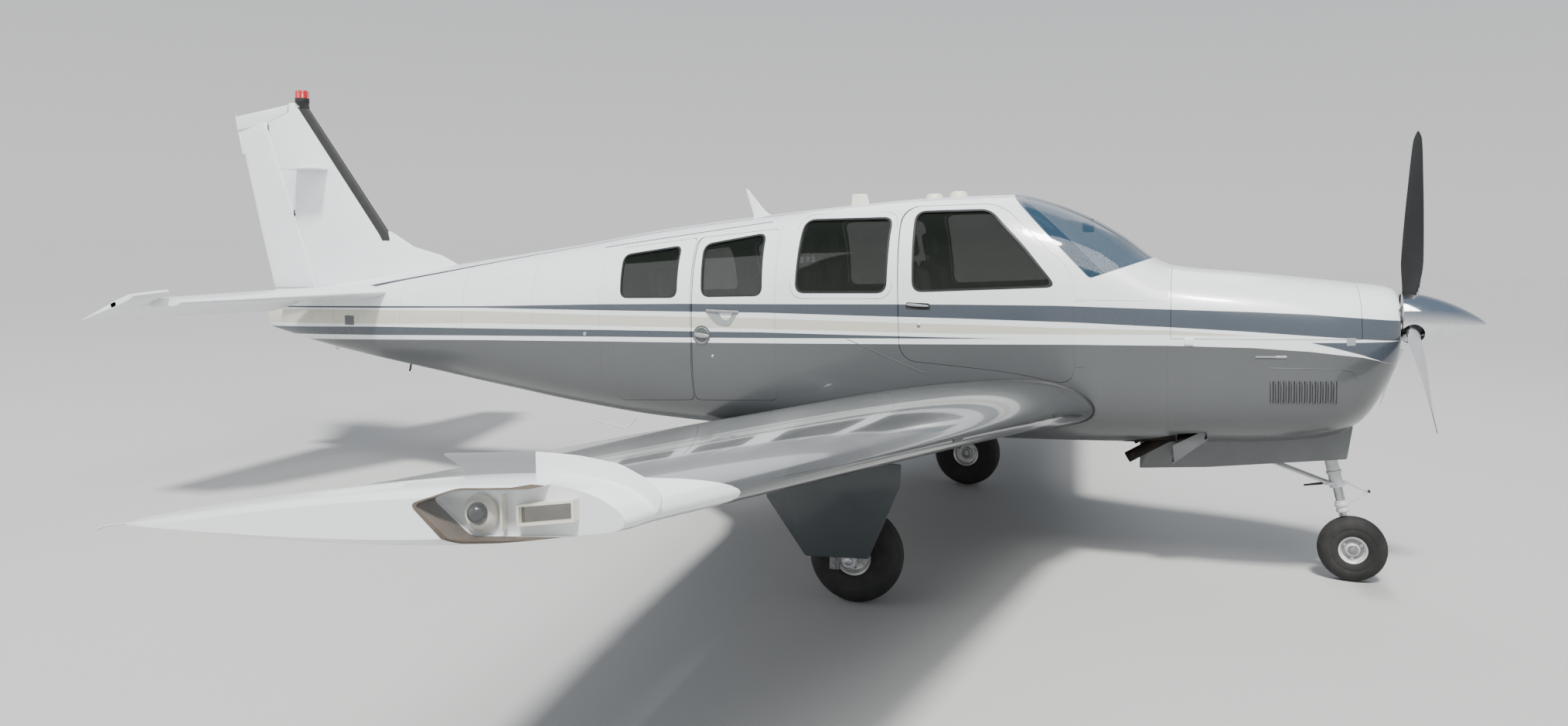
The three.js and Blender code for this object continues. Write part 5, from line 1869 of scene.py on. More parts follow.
@dataclass(frozen=True)
class Foil:
    """The section of the wing and tail surfaces."""

    steps: int = 36
    bend: float = 0.2025
    slope: float = 15.957
    terms: tuple = (-0.126, -0.3516, 0.2843, -0.1015)
    edge: float = 0.0016

    def half(self, u: float, ratio: float) -> float:
        """Half of the section's thickness, as a share of its chord.

        Args:
            u: The place along the chord, from 0 to 1.
            ratio: The section's thickness over its chord.

        Returns:
            The half thickness.
        """
        tail = sum(term * u ** (i + 1) for i, term in enumerate(self.terms))
        return 5 * ratio * (0.2969 * math.sqrt(u) + tail)

    def camber(self, u: float) -> float:
        """The height of the section's middle line, as a share of its chord.

        Args:
            u: The place along the chord, from 0 to 1.

        Returns:
            The height.
        """
        m = self.bend
        if u >= m:
            return self.slope / 6 * m**3 * (1 - u)
        return self.slope / 6 * (u**3 - 3 * m * u**2 + m**2 * (3 - m) * u)

    def points(self, chord: float, ratio: float, incidence: float = 0.0, share: float = 1.0) -> list[Point]:
        """The section's outline.

        Args:
            chord: Its length.
            ratio: Its thickness over its length.
            incidence: Its nose-up angle in degrees.
            share: How much of the camber it has.

        Returns:
            Points as (back from the nose, up).
        """
        tilt = math.radians(incidence)
        turns = [(k, 1) for k in range(self.steps, -1, -1)] + [(k, -1) for k in range(1, self.steps + 1)]
        points = []
        for k, way in turns:
            u = (1 - math.cos(math.pi * k / self.steps)) / 2
            up = (self.camber(u) * share + way * max(self.half(u, ratio), self.edge)) * chord
            along = u * chord
            points.append((along * math.cos(tilt), up * math.cos(tilt) - along * math.sin(tilt)))
        return points


def between(rows: Sequence[Point], key: float) -> list[float]:
    """A row at any value of a table's first column, straight between its rows.

    Args:
        rows: The table, rising in its first column.
        key: The value wanted.

    Returns:
        The row.
    """
    table = np.array(rows, dtype=float)
    i = int(np.clip(np.searchsorted(table[:, 0], key) - 1, 0, len(table) - 2))
    t = (key - table[i, 0]) / (table[i + 1, 0] - table[i, 0])
    return [float(c) for c in table[i] + (table[i + 1] - table[i]) * t]


def surface_ring(hinge: Point, radius: float, tail: Point, edge: float = 3.0, steps: int = 14) -> list[Point]:
    """A control surface's section: a round nose about its hinge, tapering to its trailing edge.

    Args:
        hinge: The hinge in (x, up).
        radius: The nose's radius.
        tail: The trailing edge in (x, up).
        edge: The trailing edge's thickness.
        steps: Steps round the nose.

    Returns:
        The section's points.
    """
    points = []
    for k in range(steps + 1):
        angle = math.pi / 2 - math.pi * k / steps
        points.append((hinge[0] + radius * math.cos(angle), hinge[1] + radius * math.sin(angle)))
    sides = 10
    for way, rng in ((-1, range(1, sides + 1)), (1, range(sides, 0, -1))):
        for k in rng:
            t = k / sides
            half = radius * (1 - t) + edge / 2 * t
            x = hinge[0] + (tail[0] - hinge[0]) * t
            points.append((x, hinge[1] + (tail[1] - hinge[1]) * t + way * half))
    return points


@dataclass
class Wing:
    """Both wings with their fences, flaps and ailerons."""

    form: BodyForm
    paints: dict[str, bpy.types.Material]
    foil: Foil = Foil()
    rows: tuple = (
        (380, 1086, 846, 2400, 0.13, 4.8), (640, 1070, 868, 2170, 0.143, 4.6),
        (1000, 962, 904, 1940, 0.157, 4.5), (3000, 782, 1082, 1520, 0.14, 3.8),
        (4900, 612, 1252, 1060, 0.12, 3.2), (4990, 610, 1258, 1240, 0.105, 3.6),
        (5075, 588, 1262, 1200, 0.095, 3.8), (5105, 500, 1262, 1020, 0.08, 4.0),
    )
    hinge_share: float = 0.76
    bays: tuple = (("flap", 700.0, 2974.0), ("aileron", 2986.0, 4850.0))
    end_gap: float = 14.0
    run_gap: float = 8.0
    pin: float = 5.0
    fence_y: float = 4925.0
    fence: tuple = (
        (112, 1349), (342, 1364), (440, 1361), (530, 1349), (592, 1322),
        (626, 1290), (618, 1256), (560, 1245), (180, 1280), (165, 1322),
    )
    well: tuple = ((-25, 1525, 500), (95, 1645, 905))
    lens: tuple = ((176, 1283), (259, 1312), (545, 1330), (684, 1266), (545, 1231), (265, 1214))
    sealant: tuple = ((166, 1284), (257, 1315), (546, 1333), (688, 1266), (546, 1228), (256, 1206))
    pocket: float = 5034.0

    def ring(self, y: float) -> np.ndarray:
        """The wing's section at a place across.

        Args:
            y: The place.

        Returns:
            The section's points.
        """
        _, x, z, chord, ratio, incidence = between(self.rows, y)
        points = self.foil.points(chord, ratio, incidence)
        return np.array([(x - back, y, z + up) for back, up in points])

    def hinge(self, y: float) -> tuple[Point, float, Point]:
        """The hinge line at a place across.

        Args:
            y: The place.

        Returns:
            The hinge in (x, z), the nose's radius there and the trailing edge in (x, z).
        """
        _, x, z, chord, ratio, incidence = between(self.rows, y)
        c, s = math.cos(math.radians(incidence)), math.sin(math.radians(incidence))
        share = self.hinge_share
        place = (x - share * chord * c, z + self.foil.camber(share) * chord * c - share * chord * s)
        return place, self.foil.half(share, ratio) * chord, (x - chord * c, z - chord * s)

    def lean(self, y0: float, y1: float) -> tuple[float, float]:
        """How far a hinge line runs for each millimetre outboard.

        Args:
            y0: Where its bay starts.
            y1: Where its bay ends.

        Returns:
            How far forward and how far up.
        """
        (a, _, _), (b, _, _) = self.hinge(y0), self.hinge(y1)
        return (b[0] - a[0]) / (y1 - y0), (b[1] - a[1]) / (y1 - y0)

    def surface(self, name: str, y0: float, y1: float) -> bpy.types.Object:
        """A flap or aileron with ends square to its hinge line.

        Args:
            name: The piece's name.
            y0: Where its bay starts.
            y1: Where its bay ends.

        Returns:
            The surface.
        """
        forward, up = self.lean(y0, y1)
        rows = []
        for y in np.linspace(y0 + self.end_gap, y1 - self.end_gap, 13):
            (hx, hz), radius, (tx, _) = self.hinge(y)
            _, _, tail = self.hinge(y + (hx - tx) * forward)
            ring = surface_ring((hx, hz), radius, tail)
            rows.append([(x, y - (x - hx) * forward - (z - hz) * up, z) for x, z in ring])
        return Bench.skin(name, np.array(rows))

    def bay(self, y0: float, y1: float) -> bpy.types.Object:
        """The cutter for the bay that a surface turns in.

        Args:
            y0: Where the bay starts.
            y1: Where it ends.

        Returns:
            The cutter.
        """
        forward, _ = self.lean(y0, y1)
        back = min(self.hinge(y0)[2][0], self.hinge(y1)[2][0]) - 400
        ends = []
        for y in (y0, y1):
            (hx, _), radius, _ = self.hinge(y)
            ahead = radius + self.run_gap
            ends.append(((hx + ahead, y - ahead * forward), (back, y + (hx - back) * forward)))
        outline = [ends[0][0], ends[1][0], ends[1][1], ends[0][1]]
        return Bench.prism("bay", outline, "z", 400, 2000)

    def pins(self, y0: float, y1: float) -> list[bpy.types.Object]:
        """The pins at a surface's two ends.

        Args:
            y0: Where its bay starts.
            y1: Where its bay ends.

        Returns:
            The pins.
        """
        made = []
        for y, side in ((y0, 1), (y1, -1)):
            root, tip = y - side * 5.0, y + side * (self.end_gap - 0.6)
            (a, _, _), (b, _, _) = self.hinge(root), self.hinge(tip)
            made.append(Bench.rod("pin", (a[0], root, a[1]), (b[0], tip, b[1]), self.pin, sides=16))
        return made

    def cover(self, skin: bpy.types.Object) -> None:
        """Cuts the lamps' pocket into the tip and closes it with a clear cover of the tip's own shape.

        Args:
            skin: The wing, which is cut.
        """
        outline = rounded(self.lens, 18)
        glass = Bench.copy(skin, "tip_cover")
        Bench.cut(glass, Bench.prism("cut", outline, "y", self.pocket, 5300), "INTERSECT")
        core = Bench.moved(Bench.copy(glass, "core"), Matrix.Translation((0, -3.0, 0)))
        Bench.cut(glass, core)
        rim = Bench.copy(skin, "tip_seal")
        band = Bench.prism("cut", rounded(self.sealant, 18), "y", self.pocket + 10, 5300)
        Bench.cut(rim, band, "INTERSECT")
        Bench.cut(rim, Bench.prism("cut", rounded(inset(self.lens, -0.2), 18), "y", self.pocket, 5300))
        Bench.moved(rim, Matrix.Translation((0, 1.2, 0)))
        Bench.pair(rim, "tip_seal_{}", self.paints["sealant"], angle=40)
        Bench.cut(skin, Bench.prism("cut", rounded(inset(self.lens, -0.3), 18), "y", self.pocket, 5300))
        Bench.pair(glass, "tip_cover_{}", self.paints["clear"], slot="glass", angle=40)

    def build(self) -> None:
        """Builds the wings, then their surfaces and fences."""
        marks = [380, 520, 640, 760, 880, 1000, *np.linspace(1250, 3000, 8), *np.linspace(3240, 4900, 8)]
        marks += [4930, 4960, 4990, 5020, 5050, 5075, 5085, 5095, 5105]
        skin = Bench.skin("wing", np.array([self.ring(float(y)) for y in marks]))
        for _, y0, y1 in self.bays:
            Bench.cut(skin, self.bay(y0, y1))
        Bench.cut(skin, Bench.block("well", *self.well))
        Bench.cut(skin, self.form.loft("clear", -2600, 2000, -0.6))
        self.cover(skin)
        pins = [pin for _, y0, y1 in self.bays for pin in self.pins(y0, y1)]
        skin = Bench.joined("wing", [skin, *pins])
        Bench.pair(
            skin, "wing_{}_skin", self.paints["wing"], replaces=["wing_{}"], slot="grey_paint", angle=40
        )
        fence = Bench.prism("fence", rounded(self.fence, 14), "y", self.fence_y - 2.5, self.fence_y + 2.5)
        Bench.bevel(fence, 1.2, 2)
        Bench.pair(fence, "tip_fence_{}", self.paints["fence"])
        for name, y0, y1 in self.bays:
            part = self.surface(name, y0, y1)
            node = name + "_{}"
            Bench.pair(
                Bench.bevel(part, 1.5, 2, 1.0), node + "_skin", self.paints["wing"],
                body=node, replaces=[node], slot="grey_paint",
            )


@dataclass
class Tail:
    """The tail cone, the fin and rudder, and the tailplane with its elevator."""

    form: BodyForm
    paints: dict[str, bpy.types.Material]
    foil: Foil = Foil()
    beacon_ahead: float = 40.0
    hinge: tuple = (-4420.0, 1472.0)
    tube: float = 22.0
    fin_rows: tuple = (
        (1420, -3650, -4547, -4950, 92), (1700, -3830, -4645, -5024, 84),
        (1860, -3890, -4702, -5066, 80), (2831, -4615, -5046, -5300, 50),
        (2872, -4645.6, -5060.5, -5309.9, 48.7),
    )
    fin_top: float = 2872.0
    rudder_foot: float = 1500.0
    rudder_cap: float = 2735.0
    horn: tuple = ((-5280, 2690), (-5297, 2796), (-4790, 2862), (-4802, 2804), (-5020, 2726))
    dorsal: tuple = ((-3330, 1600), (-3360, 1700), (-3545, 1748), (-3700, 1790), (-3900, 1905), (-3960, 1600))
    plane_rows: tuple = ((60, -3770, -4836, 96), (1790, -4190, -4716, 48), (1855, -4240, -4706, 30))
    droop: float = 20.0
    root: float = 190.0
    horn_y: float = 1640.0
    horn_x: float = -4215.0

    def bore(self, gap: float) -> bpy.types.Object:
        """The cutter for the torque tube's bore."""
        x, z = self.hinge
        return Bench.rod("bore", (x, -400, z), (x, 400, z), self.tube + gap, sides=48)

    def build(self) -> None:
        """Builds the cone, the fin, the rudder, the tailplanes and the elevator."""
        cone = self.form.loft("tail_cone_skin", -5015, self.form_rear())
        Bench.tag(cone, 1, lambda centre, normal: False)
        Bench.cut(cone, self.form.loft("hollow", -4300, self.form_rear() + 50, 16))
        Bench.cut(cone, self.bore(6))
        Bench.done(cone, self.paints["tail_body"], slot="white_paint", replaces=["tail_cone"])
        self.fin()
        self.rudder()
        self.tailplane()
        self.elevator()

    def form_rear(self) -> float:
        """Where the tail cone meets the cabin."""
        return -1950.3

    def fin_row(self, z: float) -> list[float]:
        """The fin's nose, hinge, trailing edge and thickness at a height."""
        return between(self.fin_rows, z)[1:]

    def nose_radius(self, nose: float, hinge: float, tail: float, thick: float) -> float:
        """Half of a tail section's thickness at its hinge."""
        chord = nose - tail
        return self.foil.half((nose - hinge) / chord, thick / chord) * chord

    def fin(self) -> None:
        """The fixed fin with the strake ahead of it."""
        rows = []
        for z in [*np.linspace(1420, 2831, 12), 2852, 2866, self.fin_top]:
            nose, _, tail, thick = self.fin_row(z)
            chord = nose - tail
            shrink = {2866: 0.9, self.fin_top: 0.66}.get(z, 1.0)
            points = self.foil.points(chord, thick * shrink / chord, share=0.0)
            rows.append([(nose - back, side, z) for back, side in points])
        fin = Bench.skin("fin_skin", np.array(rows))
        edge = []
        for z in (self.rudder_foot - 12, self.fin_top + 10):
            nose, hinge, tail, thick = self.fin_row(z)
            edge.append((hinge + self.nose_radius(nose, hinge, tail, thick) + 8, z))
        bay = [*edge, (-5600, self.fin_top + 10), (-5600, self.rudder_foot - 12)]
        Bench.cut(fin, Bench.prism("bay", bay, "y", -200, 200))
        front = self.horn[3][0] + 29
        cap = [(front, 2802), (front, 2960), (-5600, 2960), (-5020, 2718)]
        Bench.cut(fin, Bench.prism("bay", cap, "y", -200, 200))
        Bench.cut(fin, self.bore(6))
        Bench.cut(fin, self.form.loft("clear", -5015, -2600, -0.6))
        Bench.done(fin, self.paints["tail"], slot="white_paint", replaces=["fin"], angle=40)
        self.strake()
        x = self.fin_row(self.fin_top)[0] - 62 + self.beacon_ahead
        base = [(0.3, 0), (0.3, 49), (4, 51), (22, 50), (25, 52), (29, 52), (29, 0)]
        stem = Bench.lathe("beacon_base", base, (x, 0, self.fin_top), "z", 48)
        Bench.done(stem, self.paints["dark"], slot="dark_plastic")
        lens = [(26, 0), (26, 50), (29, 51), (34, 49), (74, 48), (82, 46), (86, 40), (86, 0)]
        glass = Bench.lathe("beacon_lens", lens, (x, 0, self.fin_top), "z", 64)
        Bench.done(glass, self.paints["red"], slot="red_lens", replaces=["beacon"])

    def strake(self) -> None:
        """The low strake that runs up into the fin."""
        edge = sorted((x, z) for x, z in self.dorsal if z > 1650)
        rows = []
        for x in np.linspace(-3960, -3335, 26):
            top = float(np.interp(x, [e[0] for e in edge], [e[1] for e in edge]))
            foot = self.form.above(x, 0) - 12
            share = min(max((-3335 - x) / 400, 0.0), 1.0)
            half = 6 + 18 * share
            top = max(min(top, foot + 14 + (-3335 - x) * 0.62), foot + 4)
            ring = []
            for k in range(25):
                angle = math.pi * k / 24
                flare = 1 + 0.9 * (1 - math.sin(angle)) ** 3
                ring.append((x, half * math.cos(angle) * flare, foot + (top - foot) * math.sin(angle) ** 0.8))
            rows.append(ring)
        strake = Bench.skin("fin_strake", np.array(rows))
        Bench.done(strake, self.paints["tail"], slot="white_paint", angle=50)

    def rudder(self) -> None:
        """The rudder with its cap."""
        rows = []
        for z in np.linspace(self.rudder_foot, self.rudder_cap, 14):
            nose, hinge, tail, thick = self.fin_row(z)
            radius = self.nose_radius(nose, hinge, tail, thick)
            rows.append([(x, y, z) for x, y in surface_ring((hinge, 0), radius, (tail, 0))])
        blade = Bench.bevel(Bench.skin("rudder_skin", np.array(rows)), 1.5, 2, 1.0)
        cap = Bench.prism("cap", rounded(self.horn, 14), "y", -13, 13)
        Bench.bevel(cap, 7, 4, 0.9)
        blade = Bench.joined("rudder_skin", [blade, cap])
        Bench.done(blade, self.paints["tail"], body="rudder", slot="white_paint", replaces=["rudder"])

    def plane_row(self, y: float) -> list[float]:
        """The tailplane's nose, trailing edge and thickness at a place across."""
        return between(self.plane_rows, y)[1:]

    def plane_radius(self, y: float) -> float:
        """Half of the tailplane's thickness at its hinge."""
        nose, tail, thick = self.plane_row(y)
        return self.nose_radius(nose, self.hinge[0], tail, thick)

    def tailplane(self) -> None:
        """The fixed tailplane of each side."""
        rows = []
        for y in [60, 120, *np.linspace(190, 1790, 10), 1812, 1834, 1848, 1855]:
            nose, tail, thick = self.plane_row(y)
            chord = nose - tail
            points = self.foil.points(chord, thick / chord, share=0.0)
            rows.append([(nose - back, y, self.hinge[1] + up) for back, up in points])
        plane = Bench.skin("tailplane", np.array(rows))
        x = self.hinge[0]
        bay = [
            (x + self.plane_radius(self.root) + 8, self.root - 8),
            (x + self.plane_radius(self.horn_y) + 8, self.horn_y - 8),
            (self.horn_x + 90, self.horn_y - 8), (self.horn_x + 90, 2000),
            (-5200, 2000), (-5200, self.root - 8),
        ]
        Bench.cut(plane, Bench.prism("bay", bay, "z", 1200, 1800))
        Bench.cut(plane, self.bore(0.5))
        Bench.cut(plane, self.form.loft("clear", -5015, -2600, -0.6))
        Bench.pair(
            plane, "tailplane_{}_skin", self.paints["plane"],
            replaces=["tailplane_{}"], slot="white_paint", angle=40,
        )

    def elevator(self) -> None:
        """The elevator's halves on their torque tube, hung down to the lower stop."""
        x, z = self.hinge
        rows = []
        for y in [*np.linspace(self.root, self.horn_y - 1, 12), 1720, 1800, 1855]:
            _, tail, _ = self.plane_row(y)
            section = surface_ring((x, z), self.plane_radius(y), (tail, z))
            rows.append([(u, y, v) for u, v in section])
        blade = Bench.bevel(Bench.skin("elevator_half", np.array(rows)), 1.2, 2, 1.0)
        rows = []
        for y in (self.horn_y + 2, 1700, 1760, 1820, 1855):
            nose = self.horn_x - (y - self.horn_y) * 0.24
            half = min(self.plane_radius(1700), self.plane_radius(y) + 3)
            upper = [(x - 30, half)]
            for k in range(9):
                angle = math.pi / 2 * k / 8
                upper.append((nose - 60 + 60 * math.sin(angle), 2 + (half * 0.92 - 2) * math.cos(angle)))
            lower = [(u, -v) for u, v in reversed(upper)]
            rows.append([(u, y, z + v) for u, v in [*upper, *lower]])
        horn = Bench.bevel(Bench.skin("horn", np.array(rows)), 1.2, 2, 1.0)
        half = Bench.joined("elevator_half", [blade, horn])
        twin = Bench.mirrored(half, "elevator_twin")
        reach = self.root + 5
        tube = Bench.rod("tube", (x, -reach, z), (x, reach, z), self.tube, sides=48)
        whole = Bench.joined("elevator_skin", [half, twin, tube])
        hinge = Matrix.Translation((x, 0, z))
        Bench.moved(whole, hinge @ Matrix.Rotation(math.radians(-self.droop), 4, "Y") @ hinge.inverted())
        Bench.done(whole, self.paints["plane"], body="elevator", slot="white_paint", replaces=["elevator"])


@dataclass
class Cowl:
    """The engine's cowl: the nose bowl and lower half, two top doors and the cowl flaps."""

    form: BodyForm
    paints: dict[str, bpy.types.Material]
    rear: float = 1455.3
    front: float = 2600.0
    wall: float = 18.0
    split: float = 1252.0
    hinge_y: float = 14.0
    door: tuple = (1470.0, 2400.0)
    inlet: tuple = ((165, 1205), (262, 1405))
    shaft: tuple = (1327.0, 88.0)
    bay: tuple = ((1400, -150), (2395, 150))
    flap: tuple = (1640.0, 1472.0, 190.0, 400.0)

    def zone(self, gap: float, hinge_gap: float) -> bpy.types.Object:
        """The block that a top door is cut with.

        Args:
            gap: How far it stands off its frame.
            hinge_gap: How far it stands off its hinge edge.

        Returns:
            The block, for the left side.
        """
        low = (self.door[0] + gap, self.hinge_y + hinge_gap, self.split + gap)
        return Bench.block("zone", low, (self.door[1] - gap, 900, 2200))

    def build(self) -> None:
        """Builds the doors, then the fixed cowl with its openings and flaps."""
        shell = self.form.lipped("cowl_shell", self.rear, self.front, 22)
        Bench.tag(shell, 1, lambda centre, normal: False)
        inner = self.form.loft("hollow", self.rear - 10, self.front - self.wall, self.wall)
        Bench.tag(inner, 1)
        Bench.cut(shell, inner)
        paint = [self.paints["cowl"], self.paints["primer"]]
        for side in ("left", "right"):
            way = 1 if side == "left" else -1
            leaf = self.zone(2.5, 0.3)
            Bench.moved(leaf, Matrix.Scale(way, 4, (0, 1, 0)))
            door = Bench.copy(shell, f"cowl_door_{side}_skin")
            Bench.cut(door, leaf, "INTERSECT")
            Bench.done(
                door, paint, body=f"cowl_door_{side}", slot="white_paint", replaces=[f"cowl_door_{side}"]
            )
        holes = [self.zone(0, 0)]
        (y0, z0), (y1, z1) = self.inlet
        holes.append(Bench.prism("inlet", rounded(box_corners(y0, z0, y1, z1), 45), "x", 2400, 2800))
        hinge, tip, f0, f1 = self.flap
        holes.append(Bench.block("flap_hole", (tip + 30, f0, 500), (hinge, f1, 860)))
        for hole in holes:
            Bench.cut(shell, Bench.mirrored(hole, "hole"))
            Bench.cut(shell, hole)
        axis, radius = self.shaft
        Bench.cut(shell, Bench.rod("shaft", (2400, 0, axis), (2700, 0, axis), radius, sides=96))
        (x0, b0), (x1, b1) = self.bay
        Bench.cut(shell, Bench.block("bay", (x0, b0, 400), (x1, b1, 800)))
        Bench.done(shell, paint, slot="grey_paint", replaces=["cowl_lower"])
        side = [(hinge + 14, 700), (hinge + 14, 712), (tip, 566), (tip, 556)]
        flap = Bench.bevel(Bench.prism("flap", side, "y", f0 + 4, f1 - 4), 3, 3)
        Bench.pair(flap, "cowl_flap_{}", self.paints["pewter"], slot="grey_paint")


@dataclass
class Propeller:
    """Three blades in their hub, under the spinner."""

    paints: dict[str, bpy.types.Material]
    start: float = -0.055
    hub: float = 74.0
    hub_rear: float = -72.0
    radius: float = 1016.0
    base: float = -50.0
    tip: float = 362.0
    spinner: float = 153.0
    wall: float = 5.0
    rows: tuple = (
        (60, 76, 64, 62), (170, 96, 44, 52), (330, 142, 27, 40), (560, 152, 18, 28),
        (800, 136, 12, 20), (960, 104, 9, 16), (1016, 48, 6, 15),
    )

    def blade(self) -> bpy.types.Object:
        """One blade, standing up from the hub.

        Returns:
            The blade.
        """
        table = np.array(self.rows, dtype=float)
        marks = [*np.linspace(60, 960, 40), 972, 984, 994, 1003, 1010, 1014, self.radius]
        rows = []
        for r in marks:
            chord, thick, twist = (
                float(monotone(table[:, 0], table[:, i], np.array([r]))[0]) for i in (1, 2, 3)
            )
            over = max((r - 960) / (self.radius - 960), 0.0)
            chord *= math.sqrt(max(1 - over**3, 0.03))
            angle = math.radians(twist)
            c, s = math.cos(angle), math.sin(angle)
            ring = []
            for k in range(32):
                t = 2 * math.pi * k / 32
                u = chord / 2 * math.cos(t)
                round_share = min(max((r - 60) / 250, 0), 1)
                flat = 0.35 if math.sin(t) < 0 else 1.0
                lens = math.sin(t) * (1 - round_share + round_share * abs(math.sin(t)) ** 0.5 * flat)
                v = thick / 2 * lens
                ring.append((u * s + v * c, v * s - u * c, r))
            rows.append(ring)
        return Bench.skin("blade", np.array(rows))

    def build(self) -> None:
        """Builds the blades on the hub, and the spinner over them."""
        blades = []
        for i in range(3):
            blade = self.blade() if i == 0 else Bench.copy(blades[0], "blade")
            blades.append(blade)
        finishes = [self.paints["blade"], self.paints["blade_face"]]
        for i, blade in enumerate(blades):
            Bench.moved(blade, Matrix.Rotation(self.start + math.radians(120 * i), 4, "X"))
            front = Matrix.Rotation(self.start + math.radians(120 * i), 4, "X") @ Vector((1, 0, 0))
            Bench.tag(blade, 1, lambda centre, normal, way=front: normal.dot(way) > 0.05)
            Bench.painted(blade, *finishes)
        profile = [
            (self.hub_rear, 0), (self.hub_rear, 70), (self.hub_rear + 4, self.hub),
            (56, self.hub), (60, 70), (60, 0),
        ]
        hub = Bench.painted(Bench.lathe("hub", profile, (0, 0, 0), "x", 64), self.paints["cast"])
        whole = Bench.joined("propeller_set", [hub, *blades])
        Bench.done(
            whole, None, body="propeller", slot="blade_metal", place=Place.SHAFT,
            replaces=["propeller"], angle=40,
        )
        self.cone()

    def cone(self) -> None:
        """The polished spinner with its back plate and the cut-outs for the blades."""
        steps = 40
        outer = []
        for k in range(steps + 1):
            t = 1 - (1 - k / steps) ** 1.6
            radius = self.spinner * (1 - t**1.75) ** 0.82 if t < 1 else 0.0
            outer.append((self.base + (self.tip - self.base) * t, radius))
        inner = [(along, radius - self.wall) for along, radius in outer[2:-6]]
        rim = self.hub + 0.8
        plate = [(self.base + 5, self.spinner - self.wall - 2), (self.base + 5, rim), (self.base, rim)]
        profile = [*outer, (inner[-1][0], 0.0), *reversed(inner), *plate]
        cone = Bench.lathe("spinner_cone", profile, (0, 0, 0), "x", 128)
        for i in range(3):
            slot = Bench.rod("slot", (0, 0, 80), (0, 0, 240), 58, sides=64)
            Bench.moved(slot, Matrix.Rotation(self.start + math.radians(120 * i), 4, "X"))
            Bench.cut(cone, slot, solver="EXACT")
        Bench.done(
            cone, self.paints["bright"], body="propeller", slot="polished_metal", place=Place.SHAFT,
            replaces=["spinner"],
        )


